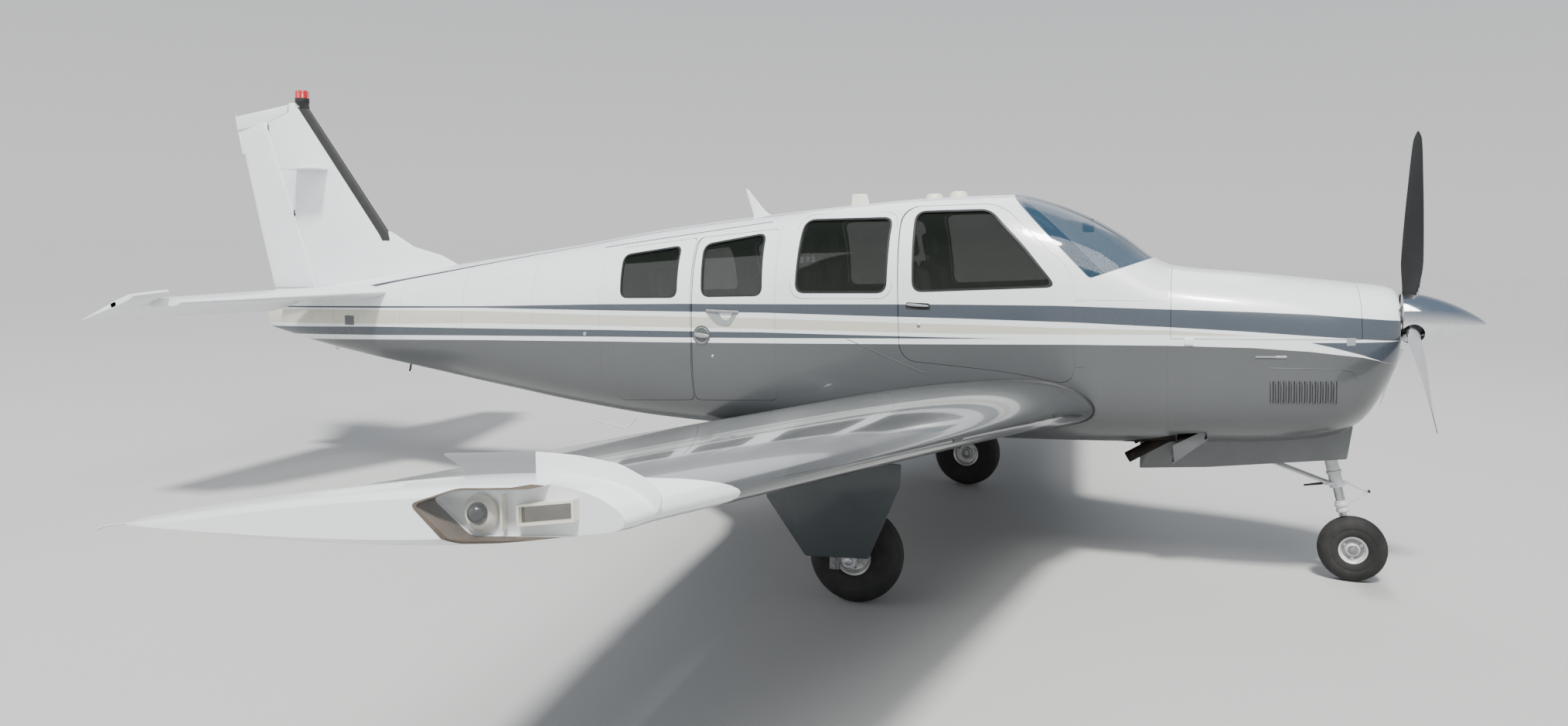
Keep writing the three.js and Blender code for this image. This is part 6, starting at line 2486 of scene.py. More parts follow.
@dataclass
class Wheel:
    """A tyre on its rim, with its bolts and bearings, on one body."""

    paints: dict[str, bpy.types.Material]
    name: str
    centre: tuple
    radius: float
    width: float
    rim: float
    axle: float = 18.3
    bolts: int = 6
    grooves: tuple = (0.14, 0.42)
    rim_paint: str = "wheel"
    face: str = ""

    def crown(self, y: float) -> float:
        """The tyre's outer radius.

        Args:
            y: The distance from the middle of the tyre.

        Returns:
            The radius there.
        """
        w, start = self.width / 2, self.rim + (self.radius - self.rim) * 0.42
        share = max(1 - (abs(y) / w) ** 2.4, 0.0) ** (1 / 2.4)
        return start + (self.radius - start) * share

    def tyre(self) -> list[Point]:
        """The tyre's section.

        Returns:
            Points as (along the axle, radius), closed.
        """
        w, wall = self.width / 2, self.radius - self.rim
        half = [(0.0, self.crown(0))]
        for groove in self.grooves:
            y = w * groove
            half += [(y - 3.2, self.crown(y)), (y - 2.6, self.crown(y) - 5), (y + 2.6, self.crown(y) - 5)]
            half += [(y + 3.2, self.crown(y))]
        half += [(w * t, self.crown(w * t)) for t in (0.55, 0.66, 0.76, 0.84, 0.90, 0.94, 0.97, 0.99, 1.0)]
        side = self.rim + wall * 0.42
        half += [(w - 1.2, side - wall * 0.02), (w - 1.2, side - wall * 0.05), (w, side - wall * 0.07)]
        for k in range(1, 7):
            angle = math.pi / 2 * k / 6
            half.append((w - w * 0.2 * (1 - math.cos(angle)), side - wall * (0.07 + 0.33 * math.sin(angle))))
        half.append((w * 0.7, self.rim - 3))
        return [(-y, r) for y, r in reversed(half[1:])] + half

    def dish(self) -> list[Point]:
        """The rim's section.

        Returns:
            Points as (along the axle, radius), closed.
        """
        w, rim = self.width / 2, self.rim
        half = [
            (w * 0.66, self.axle), (w * 0.66, rim * 0.40), (w * 0.60, rim * 0.46), (w * 0.36, rim * 0.50),
            (w * 0.34, rim * 0.56), (w * 0.34, rim * 0.80), (w * 0.42, rim * 0.86), (w * 0.72, rim * 0.90),
            (w * 0.80, rim * 1.02), (w * 0.78, rim * 1.06), (w * 0.72, rim * 1.05), (w * 0.66, rim * 0.99),
        ]
        corners = [*half, *((-y, r) for y, r in reversed(half))]
        return rounded(corners, 2.5, 3)

    def build(self) -> None:
        """Builds the tyre, the rim with its bolts and holes, the face ring and the bearings."""
        tyre = Bench.lathe("tyre", self.tyre(), self.centre, "y", 128)
        Bench.done(
            tyre, self.paints["rubber"], body=self.name, slot="tyre", place=Place.GROUND,
            replaces=[self.name], angle=48,
        )
        tyre.name = self.name + "_tyre"
        dish = Bench.lathe("rim", self.dish(), self.centre, "y", 96)
        parts = []
        w = self.width / 2
        for side in (-1, 1):
            for k in range(self.bolts):
                angle = 2 * math.pi * (k + 0.25) / self.bolts
                reach = self.rim * 0.68
                x = self.centre[0] + reach * math.cos(angle)
                z = self.centre[2] + reach * math.sin(angle)
                foot, head = self.centre[1] + side * w * 0.33, self.centre[1] + side * (w * 0.34 + 6)
                washer = Bench.rod("washer", (x, foot, z), (x, head - side * 3.5, z), 8.5, sides=24)
                bolt = Bench.rod("bolt", (x, foot, z), (x, head, z), 6, sides=6)
                parts += [Bench.bevel(washer, 0.8, 1), Bench.bevel(bolt, 0.8, 1)]
        for k in range(3):
            angle = 2 * math.pi * k / 3 + 0.55
            reach = self.rim * 0.68
            x = self.centre[0] + reach * math.cos(angle)
            z = self.centre[2] + reach * math.sin(angle)
            ends = (x, self.centre[1] - w, z), (x, self.centre[1] + w, z)
            hole = Bench.rod("hole", *ends, self.rim * 0.09, sides=24)
            Bench.cut(dish, hole)
        dish = Bench.joined(self.name + "_rim", [dish, *parts])
        Bench.done(dish, self.paints[self.rim_paint], body=self.name, slot="gear_steel", place=Place.GROUND)
        if self.face:
            for side in (-1, 1):
                section = ((-1, 0.52), (0.8, 0.54), (0.8, 0.78), (-1, 0.80))
                flat = [(side * (w * 0.34 + v), self.rim * r) for v, r in section]
                disc = Bench.lathe(self.name + "_face", flat, self.centre, "y", 96)
                Bench.done(
                    disc, self.paints[self.face], body=self.name, slot="gear_steel", place=Place.GROUND
                )
        cap = [
            (-3, self.axle), (-3, self.rim * 0.36), (0.5, self.rim * 0.38),
            (2.5, self.rim * 0.34), (2.5, self.axle),
        ]
        for side in (-1, 1):
            profile = [(side * (w * 0.66 + along), r) for along, r in cap]
            ring = Bench.lathe(f"{self.name}_bearing", profile, self.centre, "y", 64)
            Bench.done(ring, self.paints["cast"], body=self.name, slot="gear_steel", place=Place.GROUND)


@dataclass
class MainGear:
    """Both main legs with their links, brakes and doors."""

    paints: dict[str, bpy.types.Material]
    y: float = 1585.0
    axle_z: float = 235.0
    wheel_y: float = 1462.5
    width: float = 176.0
    trunnion: tuple = (10.1, 129.9, 835.0)
    door_y: float = 1655.0
    door: tuple = ((-416, 520), (-204, 250), (112, 272), (259, 640), (259, 742), (-416, 742))
    arms: tuple = ((340, 25.5), (560, 38.5))

    def build(self) -> None:
        """Builds the left leg and door, and mirrors them."""
        y = self.y
        upper = [
            (430, 0), (430, 40), (434, 43), (452, 43), (456, 38), (600, 38), (603, 41), (622, 41), (625, 38),
            (862, 38), (865, 35), (865, 0),
        ]
        leg = [Bench.lathe("cylinder", upper, (0, y, 0), "z", 48)]
        leg.append(Bench.rod("trunnion", self.ends()[0], self.ends()[1], 20, sides=40))
        lower = [(205, 0), (205, 27), (209, 30), (268, 30), (272, 25), (300, 25), (300, 0)]
        leg.append(Bench.lathe("foot", lower, (0, y, 0), "z", 48))
        boss = [(-26, 0), (-26, 31), (-23, 34), (23, 34), (26, 31), (26, 0)]
        leg.append(Bench.lathe("boss", boss, (0, y, self.axle_z), "y", 48))
        leg.append(Bench.beam("link", [(-15, y, 264, 18, 9), (-60, y, 312, 13, 7), (-113, y, 361, 10, 8)]))
        leg.append(Bench.beam("link", [(-113, y, 360, 9, 8), (-60, y, 415, 12, 7), (-14, y, 462, 16, 9)]))
        leg.append(Bench.rod("knee", (-113, y - 20, 361), (-113, y + 20, 361), 6, sides=24))
        leg = Bench.joined("main_leg", leg)
        Bench.pair(
            leg, "main_leg_{}", self.paints["leg"], place=Place.GROUND, slot="gear_steel",
            replaces=["main_strut_{}"],
        )
        piston = Bench.lathe("piston", [(290, 0), (290, 24.6), (436, 24.6), (436, 0)], (0, y, 0), "z", 48)
        Bench.pair(piston, "main_piston_{}", self.paints["bright"], place=Place.GROUND, slot="polished_metal")
        z = self.axle_z
        axle = Bench.rod("axle", (0, y + 30, z), (0, self.wheel_y - 44, z), 17.8, sides=48)
        nut = Bench.bevel(Bench.rod("nut", (0, y + 22, z), (0, y + 38, z), 22, sides=6), 1.5, 2)
        axle = Bench.joined("axle", [axle, nut])
        Bench.pair(axle, "main_axle_{}", self.paints["steel"], place=Place.GROUND)
        self.brake()
        self.doors()

    def ends(self) -> tuple[Point, Point]:
        """The trunnion bar's ends in the ground frame.

        Returns:
            The rear end and the front end.
        """
        z = self.trunnion[2]
        reach = 0.3 + 20 * math.sin(SIT)
        rear = (-25 - z * math.sin(SIT)) / math.cos(SIT) + reach
        front = (95 - z * math.sin(SIT)) / math.cos(SIT) - reach
        return (rear, self.y, z), (front, self.y, z)

    def brake(self) -> None:
        """The caliper behind each axle, with its hose up the leg."""
        y = self.y
        body = Bench.block("caliper", (-104, y - 26, 176), (-52, y + 4, 246), 8, 3)
        plate = Bench.block("bracket", (-60, y - 8, 212), (-10, y + 2, 252), 3, 2)
        pistons = [
            Bench.bevel(Bench.rod("piston", (-78, y + 2, z), (-78, y + 12, z), 13, sides=32), 1.5, 2)
            for z in (194, 228)
        ]
        bleed = Bench.rod("bleed", (-96, y - 4, 240), (-96, y - 4, 256), 3.5, sides=12)
        caliper = Bench.joined("caliper", [body, plate, *pistons, bleed])
        Bench.pair(caliper, "brake_caliper_{}", self.paints["cast"], place=Place.GROUND, slot="engine_metal")
        points = [
            (-96, y - 4, 252), (-98, y + 2, 275), (-92, y + 8, 305), (-74, y + 12, 345), (-58, y + 12, 390),
            (-50, y + 8, 440), (-47, y + 3, 500), (-44, y, 600), (-43, y, 700), (-43, y, 800),
        ]
        hose = Bench.pipe("brake_pipe", points, 3.4)
        Bench.pair(hose, "brake_pipe_{}", self.paints["dark"], place=Place.GROUND, slot="dark_plastic")

    def doors(self) -> None:
        """The door on the outside of each leg, with its stiffeners and arms."""
        y = self.door_y
        plate = Bench.prism("door", rounded(self.door, 12, 5), "y", y - 4, y + 4)
        Bench.bevel(plate, 2.4, 3)
        middle = Vector((-75, 520))
        low = [tuple(middle + (Vector(c) - middle) * 0.8) for c in self.door]
        pan = Bench.bevel(Bench.prism("pan", rounded(low, 30, 5), "y", y - 9, y - 3), 4, 2)
        arms = []
        for z, foot in self.arms:
            arms.append(Bench.rod("arm", (0, self.y + foot, z), (0, y, z), 10, sides=24))
            pad = Bench.block("pad", (-34, y - 16, z - 16), (34, y - 6, z + 16), 3, 2)
            arms.append(Bench.bevel(pad, 1, 1))
        door = Bench.joined("main_door", [plate, pan, *arms])
        Bench.pair(
            door, "main_door_{}_skin", self.paints["door"], place=Place.GROUND, slot="dark_paint",
            replaces=["main_door_{}"],
        )


@dataclass
class NoseGear:
    """The nose leg, its steered fork and its doors."""

    form: BodyForm
    paints: dict[str, bpy.types.Material]
    axle: tuple = (2396.0, 0.0, 176.0)
    radius: float = 176.0
    width: float = 124.0
    lean: float = 15.0
    split: float = 420.0
    trunnion: float = 762.0
    knee: tuple = (2463.0, 0.0, 499.0)
    brace_foot: tuple = (1900.0, 640.0)
    door: tuple = ((1297, 491), (1650, 514), (2355, 593), (2385, 780), (1300, 700))

    def on_leg(self, distance: float) -> Vector:
        """The point on the leg at a distance from the axle."""
        angle = math.radians(self.lean)
        return Vector(self.axle) + Vector((-math.sin(angle), 0, math.cos(angle))) * distance

    def leaned(self, piece: bpy.types.Object) -> bpy.types.Object:
        """Moves a piece from the leg's own upright frame to its place."""
        turn = Matrix.Rotation(math.radians(-self.lean), 4, "Y")
        return Bench.moved(piece, Matrix.Translation(self.axle) @ turn)

    def build(self) -> None:
        """Builds the leg, the fork and the doors."""
        s = self.split + 0.3
        profile = [
            (s, 0), (s, 37), (s + 3, 40), (s + 14, 40), (s + 17, 34), (s + 120, 34),
            (s + 123, 37), (s + 140, 37), (s + 143, 34), (790, 34), (792, 32), (792, 0),
        ]
        leg = [self.leaned(Bench.lathe("cylinder", profile, (0, 0, 0), "z", 48))]
        sleeve = [
            (s - 76, 25.5), (s - 76, 36), (s - 73, 39), (s - 62, 39),
            (s - 59, 34), (s - 1, 34), (s - 1, 25.5),
        ]
        leg.append(self.leaned(Bench.lathe("sleeve", sleeve, (0, 0, 0), "z", 48)))
        pivot, brace = self.on_leg(self.trunnion), self.on_leg(s - 66) - Vector((42, 0, -8))
        leg.append(Bench.rod("trunnion", (pivot.x, -199.7, pivot.z), (pivot.x, 199.7, pivot.z), 20, sides=40))
        for y in (-30, 30):
            foot = (self.brace_foot[0], y * 1.4, self.brace_foot[1])
            leg.append(Bench.rod("brace", (brace.x, y * 0.8, brace.z), foot, 8, sides=20))
            ends = (brace.x, y * 0.8, brace.z), (brace.x + 40, y * 0.8, brace.z - 4)
            leg.append(Bench.rod("lug", *ends, 9, sides=20))
        leg.append(Bench.rod("brace_bolt", (brace.x, -40, brace.z), (brace.x, 40, brace.z), 9, sides=24))
        low = self.on_leg(self.split - 62)
        leg.append(Bench.beam("steering", [(low.x - 20, 0, low.z, 14, 9), (low.x - 70, 0, low.z - 2, 8, 7)]))
        leg = Bench.joined("nose_leg", leg)
        Bench.done(leg, self.paints["leg"], place=Place.GROUND, slot="gear_steel", replaces=["nose_strut"])
        tow = Bench.rod("tow_pin", (low.x - 60, 0, low.z), (low.x - 165, 0, low.z - 22), 8, 5, sides=20)
        Bench.done(Bench.bevel(tow, 1.2, 2), self.paints["dark"], place=Place.GROUND, slot="dark_plastic")
        self.fork()
        self.doors()

    def fork(self) -> None:
        """The piston, the one-sided fork, the axle and the torque links."""
        w, r = self.width / 2, self.radius
        arm = w + 22
        x0, z0 = self.axle[0], self.axle[2]
        crown = self.on_leg(r + 46)
        piston = [(206, 0), (206, 24), (419, 24), (419, 0)]
        piston = self.leaned(Bench.lathe("piston", piston, (0, 0, 0), "z", 48))
        Bench.done(
            piston, self.paints["piston"], body="nose_fork", place=Place.GROUND, slot="polished_metal"
        )
        head = [
            (205, 0), (205, 30), (209, 34), (222, 34), (226, 30), (236, 30), (240, 36), (252, 36), (256, 32),
            (266, 31), (269, 27), (269, 0),
        ]
        parts = [self.leaned(Bench.lathe("head", head, (0, 0, 0), "z", 56))]
        ends = (crown.x, -26, crown.z), (crown.x, arm + 10, crown.z)
        parts.append(Bench.rod("crown", *ends, 21, 19, sides=40))
        stops = [
            (crown.x - 3, arm, crown.z + 16, 12, 20), (crown.x, arm, crown.z, 14, 23),
            (crown.x + 20, arm, crown.z - 74, 13, 20), (x0 - 14, arm, z0 + 60, 13, 19),
            (x0, arm, z0, 14, 24), (x0 + 5, arm, z0 - 20, 12, 18),
        ]
        parts.append(Bench.beam("arm", stops, 3.0, 28))
        fork = Bench.joined("nose_fork_arm", parts)
        Bench.done(
            fork, self.paints["leg"], body="nose_fork", place=Place.GROUND, slot="gear_steel",
            replaces=["nose_fork"],
        )
        axle = Bench.rod("axle", (x0, -w * 0.66 - 4, z0), (x0, arm + 14, z0), 17.8, sides=48)
        nuts = [
            Bench.bevel(Bench.rod("nut", (x0, y, z0), (x0, y + 9, z0), 21, sides=6), 1.5, 2)
            for y in (-w * 0.66 - 12, arm + 12)
        ]
        pin = Bench.rod("pin", (x0 - 24, -w * 0.66 - 8, z0), (x0 + 24, -w * 0.66 - 8, z0), 2, sides=10)
        axle = Bench.joined("nose_axle", [axle, *nuts, pin])
        Bench.done(axle, self.paints["cast"], body="nose_fork", place=Place.GROUND, slot="gear_steel")
        knee, upper = Vector(self.knee), self.on_leg(self.split - 30)
        foot = self.on_leg(r + 62)
        links = []
        for a, wide in ((foot, 15), (upper, 15)):
            middle = (a + knee) / 2
            stops = [(a.x, 0, a.z, wide, 8), (middle.x, 0, middle.z, 11, 6), (knee.x, 0, knee.z, 8, 7)]
            links.append(Bench.beam("torque_link", stops))
        links = Bench.joined("nose_torque_links", links)
        Bench.done(links, self.paints["leg"], body="nose_fork", place=Place.GROUND, slot="gear_steel")
        bolt = Bench.rod("knee_bolt", (knee.x, -16, knee.z), (knee.x, 16, knee.z), 8, sides=6)
        Bench.done(Bench.bevel(bolt, 1, 2), self.paints["dark"], body="nose_fork", place=Place.GROUND)

    def doors(self) -> None:
        """The long door on each side of the nose leg."""
        plate = Bench.prism("nose_door", rounded(self.door, 10, 4), "y", 165, 173)
        Bench.bevel(plate, 2, 2)
        Bench.cut(plate, self.form.loft("clear", 1100, 2600, -0.6), solver="EXACT")
        Bench.pair(
            plate, "nose_door_{}_skin", self.paints["pewter"], slot="grey_paint", replaces=["nose_door_{}"]
        )
        rib = [(1340, 520), (2320, 610), (2320, 624), (1340, 536)]
        stiff = Bench.bevel(Bench.prism("rib", rib, "y", 152, 165.2), 3, 2)
        Bench.pair(stiff, "nose_door_rib_{}", self.paints["primer"], slot="grey_paint")


@dataclass
class Fittings:
    """What is fixed to the outside of the body: aerials, plates, handles, louvres, seals and lines."""

    form: BodyForm
    paints: dict[str, bpy.types.Material]
    louvre_x: tuple = (1956.0, 2277.0)
    louvre_z: tuple = (924.0, 1039.0)
    louvres: int = 13
    screen_post: tuple = (640.0, 1375.0)
    gutter: tuple = ((-1995, 1770), (-1640, 1813), (-1338, 1850), (-1080, 1882), (-824, 1913))
    diagonal: tuple = ((-295, 1230), (-170, 1178), (-44, 1124), (80, 1075), (160, 1044))
    lock: Point = (-1219.0, 1233.0, 58.0)
    flap_edge: tuple = (
        (-1193, 1376), (-1144, 1323), (-1106, 1297), (-1056, 1288),
        (-1028, 1295), (-1010, 1322), (-988, 1352), (-970, 1376),
    )
    flap_hole: tuple = ((-1104, 1372), (-1082, 1338), (-1059, 1325), (-1031, 1336), (-1012, 1372))
    hinges: tuple = ((986, 1449, 1030, 1499), (986, 1095, 1030, 1145))
    whip: tuple = (
        (1934, -1084, -951, 8), (1958, -1083, -957, 8), (1966, -1083, -968, 7), (1985, -1090, -998, 6),
        (2060, -1112, -1060, 5), (2120, -1131, -1108, 4), (2133, -1133, -1121, 2.5),
    )
    blade: tuple = (
        (1996, -431, -309, 9), (2014, -431, -310, 8.5), (2022, -427, -313, 7), (2070, -424, -324, 6),
        (2078, -421, -329, 5), (2082, -412, -338, 2.5),
    )
    domes: tuple = ((97.0, 29.0), (247.0, 37.0))
    stub: tuple = ((1640, 290, 736), (1530, 292, 722), (1440, 296, 690), (1350, 300, 638), (1238, 304, 572))
    cheek: tuple = ((1644, 742), (1634, 750), (1478, 665), (1486, 574), (1640, 700))
    step: tuple = (
        (-2103, -392, 684), (-1990, -440, 662), (-1768, -500, 640),
        (-1748, -470, 662), (-1748, -400, 684),
    )
    mast_x: float = -3752.0
    ring_x: float = -4402.0

    def on_side(self, x: float, z: float, out: float = 0.0, side: int = -1) -> Point:
        """The point of the skin at a place and height, and how far outside it to stand."""
        return (x, side * (self.form.side(x, z) + out), z)

    def layer(self, name: str, x0: float, x1: float, out: float, sunk: float) -> bpy.types.Object:
        """A thin layer that follows the skin.

        Args:
            name: The layer's name.
            x0: Where it starts.
            x1: Where it ends.
            out: How far it stands out of the skin.
            sunk: How far it reaches under the skin.

        Returns:
            The layer, all round the body.
        """
        plate = self.form.loft(name, x0, x1, -out)
        return Bench.cut(plate, self.form.loft("hollow", x0 - 10, x1 + 10, sunk))

    def patch(
        self, name: str, corners: Sequence[Point], radius: float = 0.0, out: float = 1.2, side: int = -1
    ) -> bpy.types.Object:
        """A thin plate on one side of the body, cut to an outline.

        Args:
            name: The plate's name.
            corners: Its outline in (x, z).
            radius: Its corners' radius.
            out: How far it stands proud.
            side: -1 for the right side, 1 for the left.

        Returns:
            The plate.
        """
        xs = [corner[0] for corner in corners]
        plate = self.layer(name, min(xs) - 30, max(xs) + 30, out, 0.5)
        outline = rounded(corners, radius) if radius else list(corners)
        low, high = (-900, 0) if side < 0 else (0, 900)
        return Bench.cut(plate, Bench.prism("cut", outline, "y", low, high), "INTERSECT")

    def seals(self) -> None:
        """The dark rubber round each window."""
        riders = {door["window"]: name for name, door in DOORS.items()}
        band = self.layer("band", -1940, 960, 1.3, 4.7)
        for name, (corners, radius) in WINDOWS.items():
            for side, word in ((-1, "right"), (1, "left")):
                low, high = (-900, 0) if side < 0 else (0, 900)
                ring = Bench.copy(band, f"seal_{name}_{word}")
                outer = rounded(inset(corners, -3.0), radius + 3)
                Bench.cut(ring, Bench.prism("cut", outer, "y", low, high), "INTERSECT")
                Bench.cut(ring, Bench.prism("cut", rounded(inset(corners, 9.0), radius - 9), "y", low, high))
                body = riders.get(name, "airframe") if side < 0 else "airframe"
                Bench.done(ring, self.paints["seal"], body=body, slot="dark_plastic")
        Bench.bin(band)
        frame = [self.on_side(x, z, 0.3) for x, z in rounded(inset(WINDOWS["second"][0], -33), 90)]
        Bench.done(Bench.pipe("window_frame_line", frame, 1.1, True, 1), self.paints["line"])

    def lines(self) -> None:
        """The gutter and the thin laps on the right side."""
        for name, points, radius in (
            ("door_gutter", self.gutter, 3.0), ("side_lap", self.diagonal, 1.2),
        ):
            xs = np.linspace(points[0][0], points[-1][0], 30)
            zs = np.interp(xs, [p[0] for p in points], [p[1] for p in points])
            run = [self.on_side(float(x), float(z), 1.0) for x, z in zip(xs, zs, strict=True)]
            Bench.done(Bench.pipe(name, run, radius, False, 2), self.paints["line"])

    def aerial(self, name: str, rows: Sequence[Point], material: bpy.types.Material) -> None:
        """A streamlined aerial standing on the roof.

        Args:
            name: Its name.
            rows: Levels as (height, rear, front, half width).
            material: Its finish.
        """
        rings = []
        for z, rear, front, half in rows:
            middle, reach = (rear + front) / 2, (front - rear) / 2
            ring = []
            for k in range(28):
                angle = 2 * math.pi * k / 28
                c, s = math.cos(angle), math.sin(angle)
                ring.append((middle + reach * c, half * s * (1 - 0.35 * c if c < 0 else 1.0), z))
            rings.append(ring)
        Bench.done(Bench.skin(name, np.array(rings)), material, slot="white_paint", angle=45)

    def roof(self) -> None:
        """The aerials and domes along the roof."""
        self.aerial("whip_aerial", self.whip, self.paints["white"])
        wire = Bench.pipe("whip_wire", [(-1126, 0, 2124), (-1180, 0, 2200), (-1248, 0, 2294)], 1.9, False, 2)
        Bench.done(wire, self.paints["steel"])
        self.aerial("blade_aerial", self.blade, self.paints["cream"])
        for i, (x, rise) in enumerate(self.domes):
            roof = self.form.above(x, 0)
            profile = [
                (-10, 0), (-10, 55), (1, 55), (rise * 0.35, 53), (rise * 0.72, 47), (rise * 0.92, 37),
                (rise, 24), (rise, 0),
            ]
            dome = Bench.lathe(f"roof_dome_{i + 1}", profile, (x, 0, roof), "z", 48)
            Bench.done(dome, self.paints["cream"], angle=60)

    def vents(self) -> None:
        """The cowl's louvres on both sides with painted shade in their slots, its latches and panel line."""
        louvres, mouths = [], []
        low, high = self.louvre_z
        for x in np.linspace(self.louvre_x[0] + 9, self.louvre_x[1] - 9, self.louvres):
            rows, gap = [], []
            for z in np.linspace(low, high, 9):
                end = min((z - low) / 12, (high - z) / 12, 1.0)
                skin = self.on_side(float(x), float(z), 0, 1)
                rows.append((skin[0], skin[1] - 3 + 6 * end, z))
                # Painted shade: a dark pipe just inside the skin at each louvre's slot, for the shade in the
                # opening.
                gap.append((skin[0] + 8.5, skin[1] - 1.6, z))
            louvres.append(Bench.pipe("louvre", rows, 6.5, False, 3))
            mouths.append(Bench.pipe("mouth", gap, 3.2, False, 1))
        body = Bench.painted(Bench.joined("louvres", louvres), self.paints["cowl"])
        dark = Bench.painted(Bench.joined("mouths", mouths), self.paints["dark"])
        Bench.pair(Bench.joined("louvres", [body, dark]), "cowl_louvres_{}", None, angle=50)
        side = self.form.side(1560, 1238)
        box = Bench.block("box", (1537, side - 8, 1220), (1586, side + 7, 1257), 4)
        Bench.pair(box, "cowl_catch_{}", self.paints["white"])
        bar = []
        for x in np.linspace(1888, 2037, 8):
            point = self.on_side(float(x), 1164, 2, 1)
            bar.append((*point, 2.6, 4.0 if x < 1990 else 5.5))
        Bench.pair(Bench.beam("bar", bar, 6, 16), "cowl_latch_{}", self.paints["steel"])
        plate = self.patch("cowl_hinge_plate", box_corners(2323, 1222, 2366, 1262), 5, 1.4)
        Bench.done(plate, self.paints["grip"])
        lip = [(1959, 1106), (2150, 1104), (2300, 1101), (2345, 1094), (2366, 1076), (2372, 1052)]
        run = [self.on_side(x, z, 0.3, 1) for x, z in lip]
        Bench.pair(Bench.pipe("lip", run, 2.2, False, 2), "cowl_panel_lip_{}", self.paints["cowl"])

    def handles(self) -> None:
        """The door handles, locks, hinge plates and small buttons on the right side."""
        front = []
        for x, out, half in ((60, 3, 5), (80, 5, 8), (120, 7, 8), (165, 8, 6), (186, 6, 4)):
            point = self.on_side(x, 1429 - (x - 60) * 0.07, out)
            front.append((*point, 4.0, half))
        Bench.done(Bench.beam("front_handle", front, 3, 20), self.paints["grip"], body="front_door")
        # Painted shade: a dark plate under the front handle for the shade in its cup.
        cup = self.patch("front_handle_cup", [(52, 1404), (196, 1398), (192, 1436), (56, 1442)], 14, 0.9)
        Bench.done(cup, self.paints["dark"], body="front_door")
        aft = []
        for x, out in ((-1185, 4), (-1130, 8), (-1060, 9), (-1000, 8), (-970, 4)):
            point = self.on_side(x, 1384 - (x + 1185) * 0.03, out)
            aft.append((*point, 4.5, 6.5))
        Bench.done(Bench.beam("aft_handle", aft, 4, 20), self.paints["grip"], body="aft_door_front")
        flap = self.patch("aft_handle_flap", self.flap_edge, 0, 2.0)
        Bench.cut(flap, Bench.prism("cut", self.flap_hole, "y", -900, 0))
        Bench.done(flap, self.paints["grip"], body="aft_door_front")
        x, z, radius = self.lock
        turns = [k * math.pi / 24 for k in range(48)]
        rim = [(x + radius * math.cos(a), z + radius * 1.02 * math.sin(a)) for a in turns]
        plate = self.patch("lock_plate", rim, 0, 2.5)
        Bench.done(plate, self.paints["pewter"], body="aft_door_front")
        inner = [(x + (u - x) * 0.8, z + (v - z) * 0.8) for u, v in rim]
        Bench.done(Bench.pipe("lock_rim", [self.on_side(u, v, 2.6) for u, v in inner], 2.4, True, 2),
                   self.paints["steel"], body="aft_door_front")
        grip = []
        for dx, out, half in ((-48, 3, 7), (-30, 10, 13), (0, 14, 15), (30, 11, 12), (50, 4, 6)):
            point = self.on_side(x + dx, z - dx * 0.12, out)
            grip.append((*point, 4.5, half))
        Bench.done(Bench.beam("lock_grip", grip, 2.5, 24), self.paints["grip"], body="aft_door_front")
        for name, u, v, size, body in (
            ("key_lock", 128, 1311, 11, "front_door"), ("door_button", -1149, 1107, 9, "aft_door_front"),
            ("side_port", -2064, 1223, 12, "airframe"),
        ):
            spot = self.on_side(u, v)
            profile = [(-3, 0), (-3, size), (1.5, size), (3, size * 0.8), (3.6, size * 0.3), (3.6, 0)]
            button = Bench.lathe(name, [(-along, r) for along, r in profile], spot, "y", 32)
            Bench.done(button, self.paints["steel"], body=body)
        for i, (x0, z0, x1, z1) in enumerate(self.hinges):
            plate = self.patch(f"door_hinge_{i + 1}", box_corners(x0, z0, x1, z1), 5, 1.6)
            Bench.done(plate, self.paints["body"])
        vent = self.patch("side_vent", [(-4181, 1236), (-4092, 1234), (-4092, 1302), (-4181, 1304)], 6, 1.0)
        Bench.done(vent, self.paints["pewter"])

    def belly(self) -> None:
        """The exhaust stubs, a dark sheet of painted shade for the belly's recess by them, the flaps' cheeks,
        the step, the mast and the ring.
        """
        stub = Bench.pipe("stub", list(self.stub), 30, False, 6)
        Bench.pair(stub, "exhaust_stub_{}", self.paints["scorched_and_shade"])
        cheek = Bench.bevel(Bench.prism("cheek", list(self.cheek), "y", 392, 395.5), 0.8, 1)
        Bench.pair(cheek, "cowl_flap_cheek_{}", self.paints["pewter"])
        # Painted shade: a dark sheet laid just outside the belly skin, standing in for the shade inside the
        # recess behind the cowl flaps.
        rows = []
        for x in np.linspace(1216, 1492, 20):
            share = (x - 1216) / 276
            inner, outer = 180.0, 300 + 92 * share**0.5
            across = [float(y) for y in np.linspace(inner, outer, 8)]
            ring = [(float(x), y, self.form.below(float(x), y) - 0.9) for y in across]
            rows.append([*ring, *((u, v, w + 3) for u, v, w in reversed(ring))])
        Bench.pair(Bench.skin("soot", np.array(rows)), "exhaust_shield_{}", self.paints["scorched_and_shade"], angle=40)
        Bench.done(Bench.pipe("wire_step", list(self.step), 6, False, 3), self.paints["leg"])
        x = self.mast_x
        low = self.form.below(x, 0)
        mast = [(x, 0, low + 6), (x - 8, 0, low - 40), (x - 16, 0, low - 58)]
        Bench.done(Bench.pipe("drain_mast", mast, 7, False, 3), self.paints["dark"])
        x = self.ring_x
        low = self.form.below(x, 0)
        turns = [k * math.pi / 12 for k in range(24)]
        ring = [(x + 15 * math.cos(a), 0, low - 10 + 15 * math.sin(a)) for a in turns]
        Bench.done(Bench.pipe("tie_down_ring", ring, 3.5, True, 2), self.paints["steel"])

